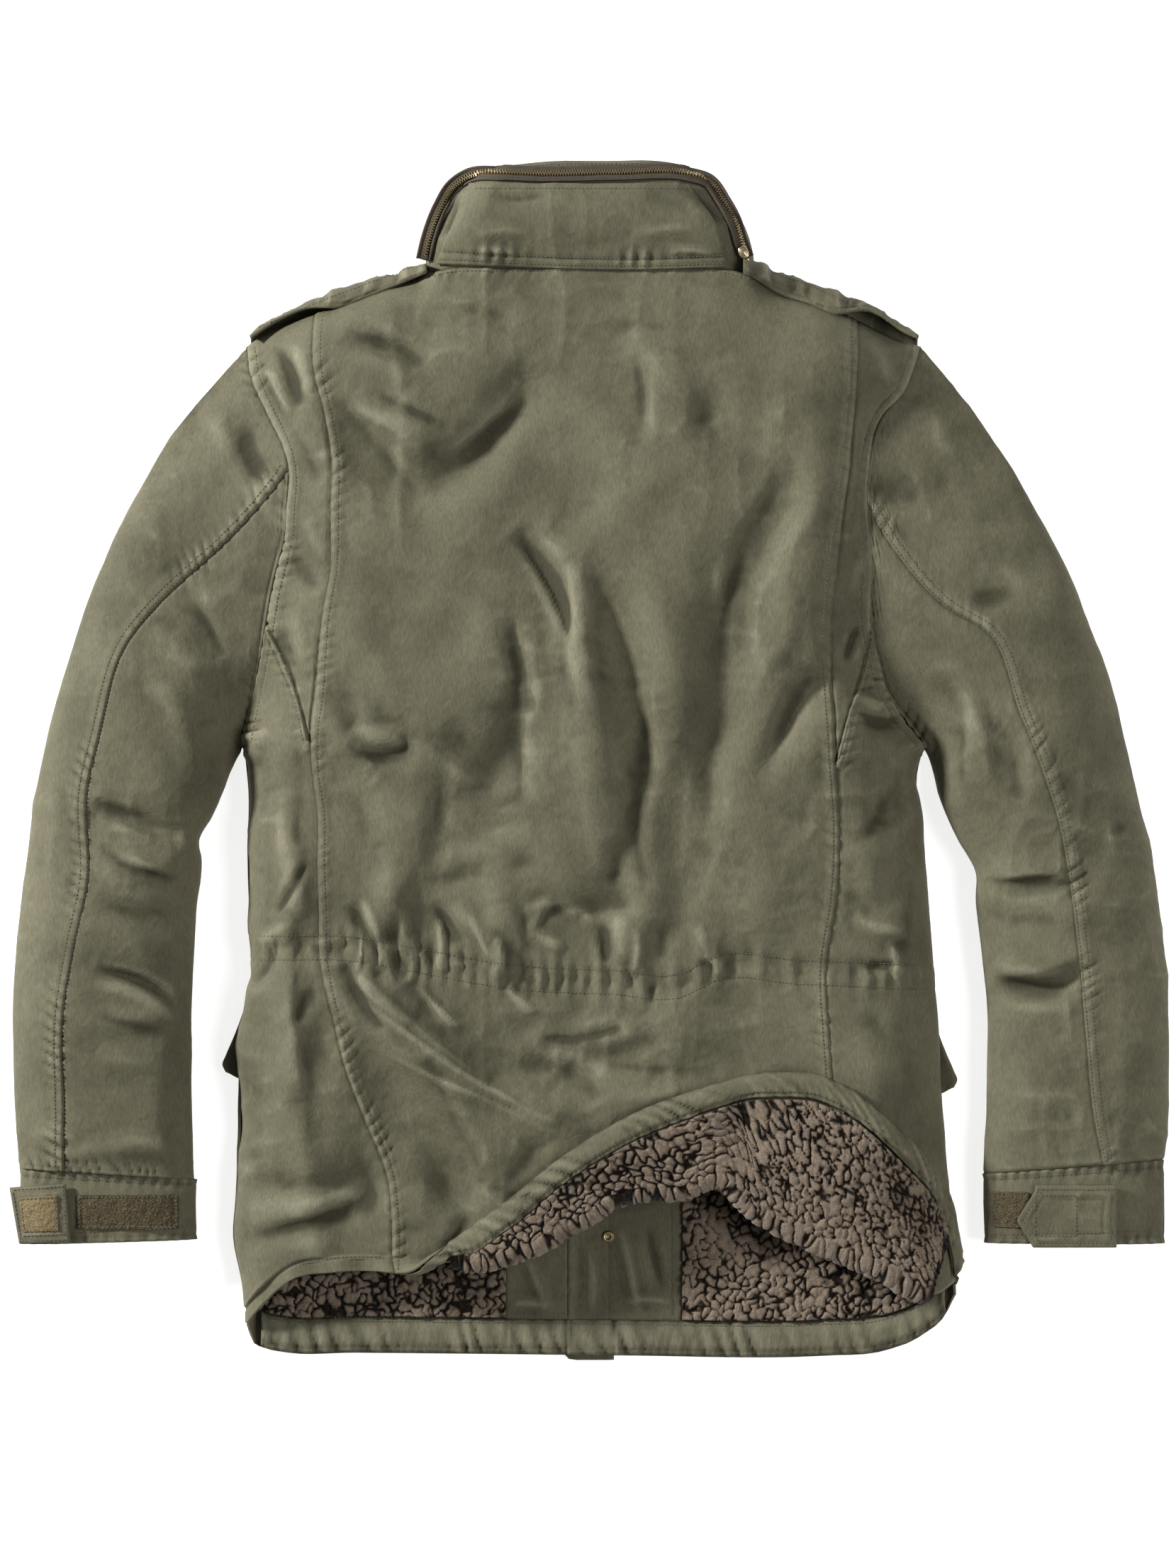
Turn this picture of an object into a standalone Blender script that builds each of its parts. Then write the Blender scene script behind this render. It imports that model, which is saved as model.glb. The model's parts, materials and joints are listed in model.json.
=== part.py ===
"""A hip-length lined field parka lying face down on a table, back panel up, sleeves beside it.

The back hem is turned up on the right, so the fleece lining and the inside of the fronts show.
Lengths are in millimetres until a mesh is made. +X is the picture's right, +Y runs to the
collar, +Z is up, and the origin is under the middle of the garment, on the table.
"""
import math

import bmesh
import bpy
import numpy as np

MM = 0.001

# ---- cloth and layers ----------------------------------------------------------------------------
SHELL = 2.4              # outer cotton with its padding, as one wall
LINING = 5.0             # curly fleece
PLY = 1.7                # hem binding, facings and patches
TRIM = 2.2               # two plies of shell: flaps, tabs, straps, pocket bags
GAP = 0.35               # between layers that lie on each other
SEAM = 0.6               # between neighbouring pieces of one layer
LIFT = 2.6               # the fronts lie this far up, on the fly and the pockets below them
BAND = 18.0              # hem binding, as wide as it shows on the turned-up back
FRONT_BAND = 25.0        # the same along the fronts
SIDE_Z = 12.0            # height of the side folds, where back meets front
SHOULDER_Z = 24.0        # height of the shoulder folds
SLEEVE_SIDE_Z = 20.0     # height of a sleeve's two folds
FRONT_ROLL = 15.0        # how far in from a side fold the front still curves up
BACK_ROLL = 56.0         # the same for the back
ARM_ROLL = 78.0          # softer fall of the back towards an armhole
SHOULDER_ROLL = 34.0
TURN_RADIUS = 3.2        # tightness of the shell inside the turned-up hem
TAIL = 12.0              # the back's flat part ends this far short of the hem

# ---- outline of the garment, seen from above (x, y) ----------------------------------------------
ARMHOLE_L = [(-244, 296), (-240, 273), (-229, 247), (-218, 224), (-214, 205), (-215, 180), (-216, 161),
             (-222, 138), (-227, 116), (-230, 98), (-235, 71), (-242, 38), (-247, 12)]
ARMHOLE_R = [(235, 296), (230, 281), (223, 264), (209, 247), (200, 224), (197, 206), (196, 184),
             (198, 161), (199, 138), (198, 116), (200, 89), (205, 70), (211, 50), (223, 32), (239, 12)]
SIDE_L = [(-247, 12), (-244, -22), (-245, -68), (-244, -98), (-241, -134), (-241, -151), (-245, -166),
          (-247, -178), (-250, -204), (-251, -235), (-252, -275), (-253, -310), (-255, -340),
          (-250, -366), (-246, -388), (-245, -402)]
SIDE_R = [(239, 12), (234, -7), (234, -38), (237, -68), (240, -98), (243, -129), (246, -159),
          (248, -179), (249, -204), (251, -235), (254, -265), (255, -310), (257, -335), (261, -360),
          (262, -380)]
PRINCESS_L = [(-194, 330), (-195, 278), (-188, 246), (-183, 215), (-183, 184), (-184, 138), (-190, 102),
              (-192, 75), (-194, 48), (-198, 13), (-197, -10), (-193, -38), (-193, -73), (-192, -106),
              (-191, -142), (-183, -181), (-173, -219), (-158, -258), (-145, -292), (-141, -325),
              (-141, -366)]
PRINCESS_R = [(189, 330), (188, 246), (182, 200), (175, 150), (171, 116), (170, 70), (172, 33), (174, -1),
              (176, -28), (177, -52), (175, -98), (168, -142), (170, -194), (172, -222), (174, -360)]
UNDERARM_L = [(-230, 98), (-217, 70), (-206, 44), (-199.5, 15)]
UNDERARM_R = [(199, 92), (191, 57), (184, 39), (179, 18), (175, 1)]
TOP_EDGE = [(-244, 296), (-232, 302), (-203, 314.5), (-168, 328), (-137, 339.5), (-117, 346),
            (-102, 350), (-67, 351), (65, 351), (90, 351), (112, 346), (135, 335), (158, 327), (181, 316),
            (206, 304.5), (226, 297.5), (235, 296)]
NECKLINE = [(-244, 296), (-232, 302), (-203, 314.5), (-168, 328), (-137, 339.5), (-124, 338), (-100, 318),
            (-70, 300), (-14, 288), (14, 288), (70, 300), (100, 318), (122, 338), (135, 335), (158, 327),
            (181, 316), (206, 304.5), (226, 297.5), (235, 296)]
FRONT_HEM = [(-245, -402), (-242, -412), (-234, -418), (-219, -421.5), (-168, -422), (-67, -423),
             (24, -424), (171, -424), (209, -421), (239, -408.5), (255, -394), (262, -380)]
HEM_LINE = [(-245, -400), (-240, -393), (-228, -380), (-214, -369), (-185, -363)]
TURN = [  # the turned-up hem: fold x, fold y, edge x, edge y, angle turned through in degrees
    (-150, -362, -150, -362, 0), (-134, -363, -136, -359, 40), (-118, -365, -121, -353, 110),
    (-100, -365, -103, -344, 168), (-57, -359, -67, -318, 180), (-15, -339, -21, -281, 180),
    (21, -317, 19, -256, 180), (66, -312, 65, -236, 180), (92, -304, 110, -222, 180),
    (118, -327, 140, -220, 180), (161, -350, 171, -225, 180), (190, -362, 198, -242, 180),
    (208, -370, 227, -269, 180), (230, -383, 249, -298, 180), (247, -388, 259, -333, 180),
    (262, -380, 264, -362, 180)]
LOBES = [  # the turned-up lining's soft lobes and troughs: x, y, half width, half length, height
    (20, -275, 48, 40, 7), (175, -300, 48, 50, 10), (108, -262, 16, 34, -6)]

# ---- heights along the garment (y, z) ------------------------------------------------------------
CROWN = [(352, 52), (300, 60), (200, 66), (80, 66), (-40, 60), (-140, 54), (-240, 50), (-330, 38),
         (-425, 34)]
EDGE_Z = [(330, 24), (296, 24), (255, 36), (205, 46), (130, 46), (80, 38), (40, 22), (12, SIDE_Z),
          (-440, SIDE_Z)]

# ---- sleeves: outer edge x, y, inner edge x, y, crown z, seam's share of the way across ----------
SLEEVE_L = [
    (-244, 296, -247, 12, 46, 0.31), (-297, 235, -257, -7, 50, 0.35), (-331, 174, -263, -22, 53, 0.315),
    (-357, 114, -270, -38, 54, 0.267), (-377, 53, -279, -55, 54, 0.30), (-392, -7, -277, -72, 52, 0.30),
    (-402, -68, -280, -101, 52, 0.38), (-409, -136, -282, -139, 50, 0.33),
    (-411, -189, -284, -189, 48, 0.287),
    (-410, -245, -283, -245, 46, 0.284), (-407, -289, -282, -297, 42, 0.262)]
SLEEVE_R = [
    (235, 296, 239, 12, 46, 0.39), (285, 235, 246, -7, 50, 0.50), (321, 174, 250, -22, 53, 0.45),
    (349, 114, 256, -38, 54, 0.49), (372, 53, 264, -55, 54, 0.49), (388, -7, 276, -78, 52, 0.495),
    (400, -68, 276, -101, 52, 0.48), (410, -136, 280, -139, 50, 0.483), (413, -189, 284, -189, 48, 0.473),
    (413, -245, 283, -245, 46, 0.428), (410, -283, 281, -293, 42, 0.344)]
UNDER_SHARE = 0.72       # place of the hidden seam on a sleeve's underside
ARMHOLE_REACH = 3.0      # sections over which the armhole's curve fades along the sleeve
CUFF_L = [(-406, -289.5, -281, -297.5, 38), (-407, -318, -281, -318, 36), (-406, -343.5, -280, -340, 34)]
CUFF_R = [(409, -283.5, 281, -293.5, 38), (410, -314, 281, -316, 36), (410, -343, 282, -342.5, 34)]

# ---- collar and its zip --------------------------------------------------------------------------
COLLAR_SIDE = [  # share of the way up, left x, right x
    (0.0, -114, 117), (0.28, -117, 116), (0.52, -111, 110), (0.75, -100, 100), (0.92, -89, 91),
    (1.0, -80, 83)]
COLLAR_TOP = [(-92, 416), (-80, 420), (-50, 425), (11, 427.5), (63, 425), (77, 421), (92, 414)]
COLLAR_BACK_Z = [(0.0, 50), (0.4, 57), (0.8, 54), (1.0, 46)]
COLLAR_FRONT_Z = 6.2
ZIP_PATH = [(-118, 358), (-114, 374), (-106, 395), (-97, 410), (-86, 417), (-62, 418), (-33, 417),
            (19, 418), (71, 417), (84, 413), (95, 398), (102, 385), (107, 369), (111, 359)]
ZIP_WIDTH = 11.0
COVER_SIDE = [(410, -84, 70), (392, -93, 84), (372, -101, 92), (353, -108, 97)]  # y, left x, right x
COVER_LOW = [(-108, 355), (-68, 353), (-16, 350.5), (36, 350), (97, 352)]

# ---- gathers where the drawcord pulls the waist in: x, reach up, reach down, height --------------
CHANNEL = [(-240, -132), (-163, -133), (-120, -141), (-56, -152), (15, -156), (68, -157), (85, -148),
           (150, -149), (240, -153)]
GATHERS = [
    (-226, 10, 26, 3.5), (-214, 22, 30, 3.2), (-190, 8, 10, 2.6), (-179, 12, 18, 3.2), (-168, 24, 10, 3.6),
    (-156, 14, 24, 3.0), (-143, 10, 16, 3.2), (-130, 26, 12, 3.6), (-117, 14, 16, 3.0), (-106, 10, 14, 2.6),
    (-95, 22, 10, 3.6), (-85, 14, 12, 3.2), (-75, 12, 14, 2.8), (-65, 20, 12, 3.6), (-55, 12, 10, 3.2),
    (-45, 16, 12, 3.4), (-35, 14, 10, 3.6), (-25, 24, 10, 3.2), (-15, 14, 12, 3.6), (-5, 12, 10, 3.2),
    (7, 20, 12, 3.6), (21, 14, 16, 3.0), (37, 22, 12, 3.6), (60, 16, 12, 3.0), (78, 20, 8, 3.4),
    (91, 24, 10, 2.6), (121, 16, 10, 2.2), (143, 14, 12, 2.4), (184, 10, 12, 3.0), (197, 8, 12, 3.2),
    (210, 10, 10, 3.0), (221, 12, 12, 3.2)]
GATHER_HALF = 4.0

# ---- the largest folds, as soft ridges and troughs: three points of a curve, half width, height --
FOLDS = [
    (-190, 258, -160, 205, -118, 190, 20, -9), (-118, 190, -85, 210, -46, 268, 19, -10),
    (-178, 300, -150, 292, -120, 290, 13, -5), (-130, 262, -112, 245, -104, 225, 20, 6),
    (-20, 305, 30, 300, 82, 245, 17, -7), (-60, 280, -40, 260, -30, 215, 26, -5),
    (40, 290, 60, 250, 85, 215, 17, 6), (-55, 165, -25, 140, -18, 85, 17, -9),
    (-22, 140, 8, 60, 8, -60, 17, 10), (0, 120, 35, 60, 30, -10, 16, -8),
    (40, 120, 66, 60, 58, 10, 18, 6), (86, 130, 96, 60, 70, 0, 16, -6),
    (150, 190, 125, 80, 80, -20, 20, -9), (165, 230, 150, 130, 112, 40, 18, 8),
    (168, 62, 145, 30, 122, -8, 11, -8), (-190, 40, -165, 5, -150, -5, 12, 7),
    (-165, 20, -150, 2, -128, 12, 8, -6), (-95, -20, -60, -25, -46, 30, 16, -7),
    (-118, -66, -80, -55, -42, -42, 13, -7), (-130, -70, -142, -100, -148, -125, 12, 7),
    (-64, -100, -60, -130, -66, -150, 9, 5), (-30, -98, -10, -112, 25, -104, 10, -7),
    (30, -20, 38, -80, 34, -130, 15, 6), (62, -20, 68, -80, 66, -135, 15, -6),
    (-90, -210, -30, -232, 40, -205, 16, -7), (-30, -195, 5, -205, 28, -190, 9, 5),
    (-163, -160, -140, -205, -95, -240, 14, 7), (-150, -220, -120, -275, -85, -320, 18, -9),
    (-110, -230, -70, -270, -55, -310, 17, 7), (-215, -190, -208, -260, -190, -330, 13, 6),
    (-245, -300, -200, -310, -150, -298, 12, -6), (212, 5, 228, -60, 205, -110, 12, -7),
    (225, -70, 235, -110, 222, -140, 9, 5), (-235, 10, -215, -60, -225, -110, 10, -6),
    (-212, -30, -205, -90, -214, -130, 9, 6),
    (-345, -40, -310, -45, -285, -62, 13, -7), (-350, -75, -318, -80, -285, -70, 12, 7),
    (-350, -140, -330, -150, -290, -165, 11, -6), (-352, -185, -320, -185, -285, -180, 10, 5),
    (-325, 90, -290, 70, -262, 20, 16, -7), (-300, 60, -285, 30, -275, -10, 13, 6),
    (-375, -280, -330, -272, -290, -280, 8, 4), (246, 70, 262, 40, 268, -10, 13, 8),
    (228, 60, 240, 20, 255, -20, 10, -7), (280, -78, 310, -84, 338, -76, 9, 6),
    (282, -100, 312, -100, 340, -92, 9, -6), (286, -158, 318, -166, 350, -150, 8, -6),
    (286, -148, 310, -152, 350, -138, 8, 5), (330, 150, 300, 135, 262, 128, 18, -6)]

COLOURS = {  # base colour, roughness, metallic
    "shell": ((0.130, 0.125, 0.088), 0.85, 0.0),
    "fleece": ((0.185, 0.145, 0.115), 0.95, 0.0),
    "tape": ((0.075, 0.060, 0.042), 0.8, 0.0),
    "hook_loop": ((0.150, 0.115, 0.055), 0.95, 0.0),
    "brass": ((0.42, 0.31, 0.16), 0.4, 1.0),
}


# ---- curves --------------------------------------------------------------------------------------
def smooth(keys, values, at):
    """A smooth curve through (key, value) pairs, level beyond its ends."""
    order = np.argsort(keys)
    k = np.asarray(keys, float)[order]
    v = np.asarray(values, float)[order]
    step = np.diff(k)
    slope = np.diff(v) / step
    inner = (slope[:-1] * step[1:] + slope[1:] * step[:-1]) / (step[1:] + step[:-1])
    tangent = np.concatenate([[slope[0]], inner, [slope[-1]]])
    at = np.clip(at, k[0], k[-1])
    i = np.clip(np.searchsorted(k, at) - 1, 0, len(k) - 2)
    h = step[i]
    q = (at - k[i]) / h
    return (v[i] * (1 + 2 * q) * (1 - q) ** 2 + v[i + 1] * q * q * (3 - 2 * q)
            + h * (tangent[i] * q * (1 - q) ** 2 - tangent[i + 1] * q * q * (1 - q)))


def column(rows, key, value, at):
    """One column of a table, read as a smooth function of another."""
    return smooth([row[key] for row in rows], [row[value] for row in rows], at)


def across(line, y):
    """The x of a line that runs down the garment, at y."""
    return column(line, 1, 0, y)


def along(line, x):
    """The y of a line that runs across the garment, at x."""
    return column(line, 0, 1, x)


def ease(q):
    q = np.clip(q, 0, 1)
    return q * q * (3 - 2 * q)


def rounded(q):
    """0 to 1 as a quarter circle, upright where it starts."""
    q = np.clip(q, 0, 1)
    return np.sqrt(1 - (1 - q) ** 2)


def fallen(q):
    """0 to 1 as a parabola, for cloth that slopes into a seam."""
    return 1 - (1 - np.clip(q, 0, 1)) ** 2


def mix(a, b, q):
    return a + (b - a) * q


def spread(n, low=False, high=False):
    """n shares from 0 to 1, closer together at an end that curves."""
    q = np.linspace(0, 1, n)
    if low and high:
        return (1 - np.cos(np.pi * q)) / 2
    if low:
        return 1 - np.cos(np.pi / 2 * q)
    if high:
        return np.sin(np.pi / 2 * q)
    return q


# ---- the form that the body's cloth takes --------------------------------------------------------
def left_edge(y):
    return np.where(y > 12, across(ARMHOLE_L, y), across(SIDE_L, y))


def right_edge(y):
    return np.where(y > 12, across(ARMHOLE_R, y), across(SIDE_R, y))


def fold_height(x, y):
    total = np.zeros(np.broadcast(x, y).shape)
    q = np.linspace(0, 1, 9)
    for x0, y0, x1, y1, x2, y2, half, height in FOLDS:
        cx = (1 - q) ** 2 * x0 + 2 * q * (1 - q) * x1 + q * q * x2
        cy = (1 - q) ** 2 * y0 + 2 * q * (1 - q) * y1 + q * q * y2
        best = np.full(total.shape, 1e9)
        place = np.zeros(total.shape)
        for i in range(len(q) - 1):
            dx, dy = cx[i + 1] - cx[i], cy[i + 1] - cy[i]
            s = np.clip(((x - cx[i]) * dx + (y - cy[i]) * dy) / (dx * dx + dy * dy), 0, 1)
            d = (x - cx[i] - s * dx) ** 2 + (y - cy[i] - s * dy) ** 2
            nearer = d < best
            best = np.where(nearer, d, best)
            place = np.where(nearer, q[i] + s * (q[i + 1] - q[i]), place)
        taper = np.sqrt(np.sin(np.pi * (0.06 + 0.88 * place)))
        total += height * taper * np.exp(-best / half ** 2)
    return total


def gather_height(x, y):
    away = y - along(CHANNEL, x)
    total = np.zeros(np.broadcast(x, y).shape)
    for place, up, down, height in GATHERS:
        reach = np.where(away > 0, up, down)
        total += height * np.exp(-((x - place) / GATHER_HALF) ** 2 - (away / reach) ** 2)
    pinch = -3.0 * np.exp(-(away / 9) ** 2)
    return total + pinch


def at_neck(x):
    """1 along the collar seam, 0 along the shoulders."""
    return ease((140 - np.abs(x - 3)) / 34)


def back_height(x, y):
    """Height of the back's outer face."""
    crown = column(CROWN, 0, 1, y)
    edge = np.maximum(column(EDGE_Z, 0, 1, y), SIDE_Z)
    arm = ease(y / 50)
    z = crown
    rise = 1.0
    for inward in (x - left_edge(y), right_edge(y) - x):
        f = arm * fallen(inward / ARM_ROLL) + (1 - arm) * rounded(inward / BACK_ROLL)
        z = z - (crown - edge) * (1 - f)
        rise = rise * ease(inward / 22)
    below = along(TOP_EDGE, x) - y
    neck = at_neck(x)
    top = mix(SHOULDER_Z, 50.0, neck)
    f = mix(rounded(below / SHOULDER_ROLL), fallen(below / SHOULDER_ROLL), neck)
    z = top + (z - top) * f
    return z + (fold_height(x, y) + gather_height(x, y)) * rise * ease(below / 24)


def front_height(x, y):
    """Height of the fronts' outer face, which lies down."""
    arm = ease((y - 12) / 30)
    z = LIFT
    for inward in (x - left_edge(y), right_edge(y) - x):
        z = z + (SIDE_Z - SEAM - LIFT) * (1 - arm) * (1 - rounded(inward / FRONT_ROLL))
    below = along(TOP_EDGE, x) - y
    return z + (SHOULDER_Z - SEAM - LIFT) * (1 - at_neck(x)) * (1 - rounded(below / 20))


def fold_line(x):
    """y of the hem: the cloth's own edge on the left, the turned-up fold on the right."""
    return along(HEM_LINE + [row[:2] for row in TURN], x)


def band_share(x):
    """The share of the way along the hem's path at which the lining ends and the binding starts."""
    length = np.hypot(x - column(TURN, 0, 2, x), fold_line(x) + TAIL - column(TURN, 0, 3, x))
    turned = ease(column(TURN, 0, 4, x) / 150)
    return 1 - 0.6 * np.minimum(mix(0.9, BAND / np.maximum(length, 1), turned), 0.9)


def turned_path(x, t):
    """The back's outer face past its flat part, at fold place x: t is 0 there, 0.4 where the bend ends, 0.8
    where the binding starts and 1 at the cloth's edge."""
    binding = band_share(x)
    laid = np.where(t < 0.8, mix(0.4, binding, (t - 0.4) / 0.4), mix(binding, 1, (t - 0.8) / 0.2))
    q = np.where(t < 0.4, t, laid)
    edge_x = np.where(x < TURN[0][0], x, column(TURN, 0, 2, x))
    start_y = fold_line(x) + TAIL
    edge_y = np.where(x < TURN[0][0], fold_line(x), column(TURN, 0, 3, x))
    angle = np.radians(np.clip(column(TURN, 0, 4, x), 0, 180))
    turned = angle / np.pi
    ahead = np.stack([x - edge_x, start_y - np.maximum(edge_y, start_y + 8)], axis=-1)
    ahead /= np.linalg.norm(ahead, axis=-1, keepdims=True)
    first = mix(4.0, np.pi * TURN_RADIUS, turned)
    radius = first / np.maximum(angle, 0.02)
    bend = np.clip(q / 0.4, 0, 1) * np.maximum(angle, 0.02)
    rest = np.clip((q - 0.4) / 0.6, 0, 1)
    px = x + ahead[..., 0] * radius * np.sin(bend)
    py = start_y + ahead[..., 1] * radius * np.sin(bend)
    rise = radius * (1 - np.cos(bend))
    free = TAIL - 4.0 + 2.0 * turned
    loose_x = px + ahead[..., 0] * np.cos(angle) * free * rest
    loose_y = py + ahead[..., 1] * np.cos(angle) * free * rest
    loose_z = back_height(x, start_y) + rise + np.sin(angle) * free * rest
    laid_x = mix(px, edge_x, rest)
    laid_y = mix(py, edge_y, rest)
    lobes = sum(height * np.exp(-((laid_x - cx) / half) ** 2 - ((laid_y - cy) / long) ** 2)
                for cx, cy, half, long, height in LOBES)
    over = back_height(laid_x, laid_y) + mix(2 * TURN_RADIUS, 2.8, rest) + lobes * ease(rest * 2)
    laid_z = np.where(rest > 0, over, back_height(x, start_y) + rise)
    full = ease((angle - 2.6) / 0.5)
    loose = np.stack([loose_x, loose_y, loose_z], axis=-1)
    return mix(loose, np.stack([laid_x, laid_y, laid_z], axis=-1), full[..., None])


def panel_place(left, right, top, bottom):
    """Plan of a panel between two lines: (u, v) from 0 to 1 across and down, as x and y."""
    def place(u, v):
        y = np.full(np.broadcast(u, v).shape, 100.0)
        for _ in range(6):
            inset = np.minimum(SEAM / 2, (right(y) - left(y)) * 0.2)
            x = mix(left(y) + inset, right(y) - inset, u)
            y = mix(top(x), bottom(x), v)
        return x, y
    return place


def back_place(left, right, top, to_hem=True, bottom=None):
    """(u, v) to points on the back's outer face. v from 1 to 2 runs on over the hem."""
    plan = panel_place(left, right, top, bottom or (lambda x: fold_line(x) + TAIL))

    def place(u, v):
        x, y = plan(u, np.clip(v, 0, 1))
        flat = np.stack([x, y, back_height(x, y)], axis=-1)
        if not to_hem:
            return flat
        return np.where((v > 1)[..., None], turned_path(x, np.clip(v - 1, 0, 1)), flat)
    return place


def front_place(left, right, top, bottom):
    plan = panel_place(left, right, top, bottom)

    def place(u, v):
        x, y = plan(u, v)
        return np.stack([x, y, front_height(x, y)], axis=-1)
    return place


# ---- meshes --------------------------------------------------------------------------------------
def material(kind):
    found = bpy.data.materials.get(kind)
    if found:
        return found
    colour, rough, metal = COLOURS[kind]
    made = bpy.data.materials.new(kind)
    made.use_nodes = True
    shader = made.node_tree.nodes["Principled BSDF"]
    shader.inputs["Base Color"].default_value = (*colour, 1)
    shader.inputs["Roughness"].default_value = rough
    shader.inputs["Metallic"].default_value = metal
    return made


def make_object(name, points, faces, kind):
    """An object from points in millimetres and the faces that close round them, turned outwards."""
    mesh = bpy.data.meshes.new(name)
    mesh.from_pydata([tuple(float(c) * MM for c in p) for p in points], [], faces)
    bm = bmesh.new()
    bm.from_mesh(mesh)
    if bm.calc_volume(signed=True) < 0:
        bmesh.ops.reverse_faces(bm, faces=bm.faces)
    bm.to_mesh(mesh)
    bm.free()
    mesh.materials.append(material(kind))
    obj = bpy.data.objects.new(name, mesh)
    bpy.context.scene.collection.objects.link(obj)
    mesh.shade_smooth()
    mesh.set_sharp_from_angle(angle=math.radians(40))
    return obj


def between(low, high, start_low, start_high):
    """Faces between two rows of points, of which one may have a whole number of steps to the other's one."""
    few, many = min(low, high) - 1, max(low, high) - 1
    step = many // few
    faces = []
    for c in range(few):
        if low <= high:
            ring = [start_low + c, start_low + c + 1]
            ring += [start_high + step * c + i for i in range(step, -1, -1)]
        else:
            ring = [start_low + step * c + i for i in range(step + 1)] + [start_high + c + 1, start_high + c]
        if step == 1:
            faces.append(ring)
            continue
        apex = ring[0] if low <= high else ring[-1]
        order = ring if low <= high else ring[-1:] + ring[:-1]
        faces += [[apex, order[i], order[i + 1]] for i in range(1, len(order) - 1)]
    return faces


def wall(name, outer, inner, kind):
    """A piece of cloth between two sheets, each a list of rows of points."""
    counts = [len(row) for row in outer]
    start = np.concatenate([[0], np.cumsum(counts)])
    half = int(start[-1])
    points = np.concatenate(outer + inner)
    faces = []
    for r in range(len(counts) - 1):
        for face in between(counts[r], counts[r + 1], int(start[r]), int(start[r + 1])):
            faces.append(face)
            faces.append([half + face[0]] + [half + i for i in reversed(face[1:])])
    rim = list(range(counts[0]))
    rim += [int(start[r + 1]) - 1 for r in range(1, len(counts))]
    rim += [int(start[-2]) + c for c in range(counts[-1] - 2, -1, -1)]
    rim += [int(start[r]) for r in range(len(counts) - 2, 0, -1)]
    for a, b in zip(rim, rim[1:] + rim[:1]):
        faces.append([b, a, half + a, half + b])
    return make_object(name, points, faces, kind)


def framed(place, u, v, limits):
    """Points of a surface and its unit normals."""
    step = 0.004
    p = place(u, v)
    du = place(np.minimum(u + step, limits[1]), v) - place(np.maximum(u - step, limits[0]), v)
    dv = place(u, np.minimum(v + step, limits[3])) - place(u, np.maximum(v - step, limits[2]))
    n = np.cross(du, dv)
    return p, n / np.maximum(np.linalg.norm(n, axis=-1, keepdims=True), 1e-12)


def level_normals(n):
    """Normals laid level, for the rim of a side fold."""
    kept = n * (1, 1, 0)
    return kept / np.maximum(np.linalg.norm(kept, axis=-1, keepdims=True), 1e-9)


def upright_normals(n, rim):
    """Normals that no longer lean across a rim, seen from above, so that its end face stands upright."""
    along_rim = np.gradient(rim[:, :2], axis=0)
    across_rim = np.stack([-along_rim[:, 1], along_rim[:, 0], np.zeros(len(rim))], axis=-1)
    across_rim /= np.maximum(np.linalg.norm(across_rim, axis=-1, keepdims=True), 1e-9)
    kept = n - across_rim * np.sum(n * across_rim, axis=-1, keepdims=True)
    return kept / np.maximum(np.linalg.norm(kept, axis=-1, keepdims=True), 1e-9)


def cloth(name, place, rows, kind, thick, lift=0.0, look=1, ref=None, cling=None):
    """A wall on a surface. rows is a list of (v, array of u). look is 1 where the outer face looks up at the
    place ref, -1 where it looks down. lift moves the whole wall out. cling gives the first or last row or
    column an end face that meets its neighbour's: "upright", or "side" along an armhole and a side fold."""
    limits = (rows[0][1][0], rows[0][1][-1], rows[0][0], rows[-1][0])
    counts = np.array([len(u) for _, u in rows])
    first = np.concatenate([[0], np.cumsum(counts)[:-1]])
    u_all = np.concatenate([u for _, u in rows])
    v_all = np.repeat([float(v) for v, _ in rows], counts)
    p, n = framed(place, u_all, v_all, limits)
    ref_u, ref_v = ref or (limits[0] * 0.5 + limits[1] * 0.5, limits[2] * 0.6 + limits[3] * 0.4)
    sample = np.argmin((u_all - ref_u) ** 2 + (v_all - ref_v) ** 2)
    n = n * (look * (1.0 if n[sample, 2] > 0 else -1.0))
    edges = {"left": first, "right": first + counts - 1, "top": np.arange(counts[0]),
             "bottom": first[-1] + np.arange(counts[-1])}
    for edge, way in (cling or {}).items():
        pick = edges[edge]
        upright = upright_normals(n[pick], p[pick])
        if way == "side":
            upright = mix(level_normals(n[pick]), upright, ease((p[pick, 1:2] - 12) / 20))
        n[pick] = upright / np.linalg.norm(upright, axis=-1, keepdims=True)
    cuts = first[1:]
    return wall(name, np.split(p + n * lift, cuts), np.split(p + n * (lift - thick), cuts), kind)


def even_rows(v, u):
    return [(float(a), u) for a in v]


def refine(u, step):
    """Each interval of u cut into a number of equal steps."""
    return np.interp(np.arange((len(u) - 1) * step + 1) / step, np.arange(len(u)), u)


# ---- back ----------------------------------------------------------------------------------------
TURN_ROWS = [0.0, 0.1, 0.2, 0.3, 0.4, 0.53, 0.66, 0.8, 0.9, 1.0]  # where the path over the hem has a row
LINED = 0.785            # share of that path that the lining ends at
BOUND = 0.815            # and that the binding starts at


def waist_rows(u, share_top, share_low, step, top_rows, low_rows, fine_rows):
    """Rows of a back panel, with more columns where the waist is gathered."""
    rows = [(v, u) for v in np.linspace(0, share_top, top_rows)]
    fine = np.linspace(share_top, share_low, fine_rows + 2)[1:-1]
    rows += [(v, refine(u, step)) for v in fine]
    rows += [(v, u) for v in np.linspace(share_low, 1, low_rows)]
    return rows + [(1 + t, u) for t in TURN_ROWS[1:]]


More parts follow.
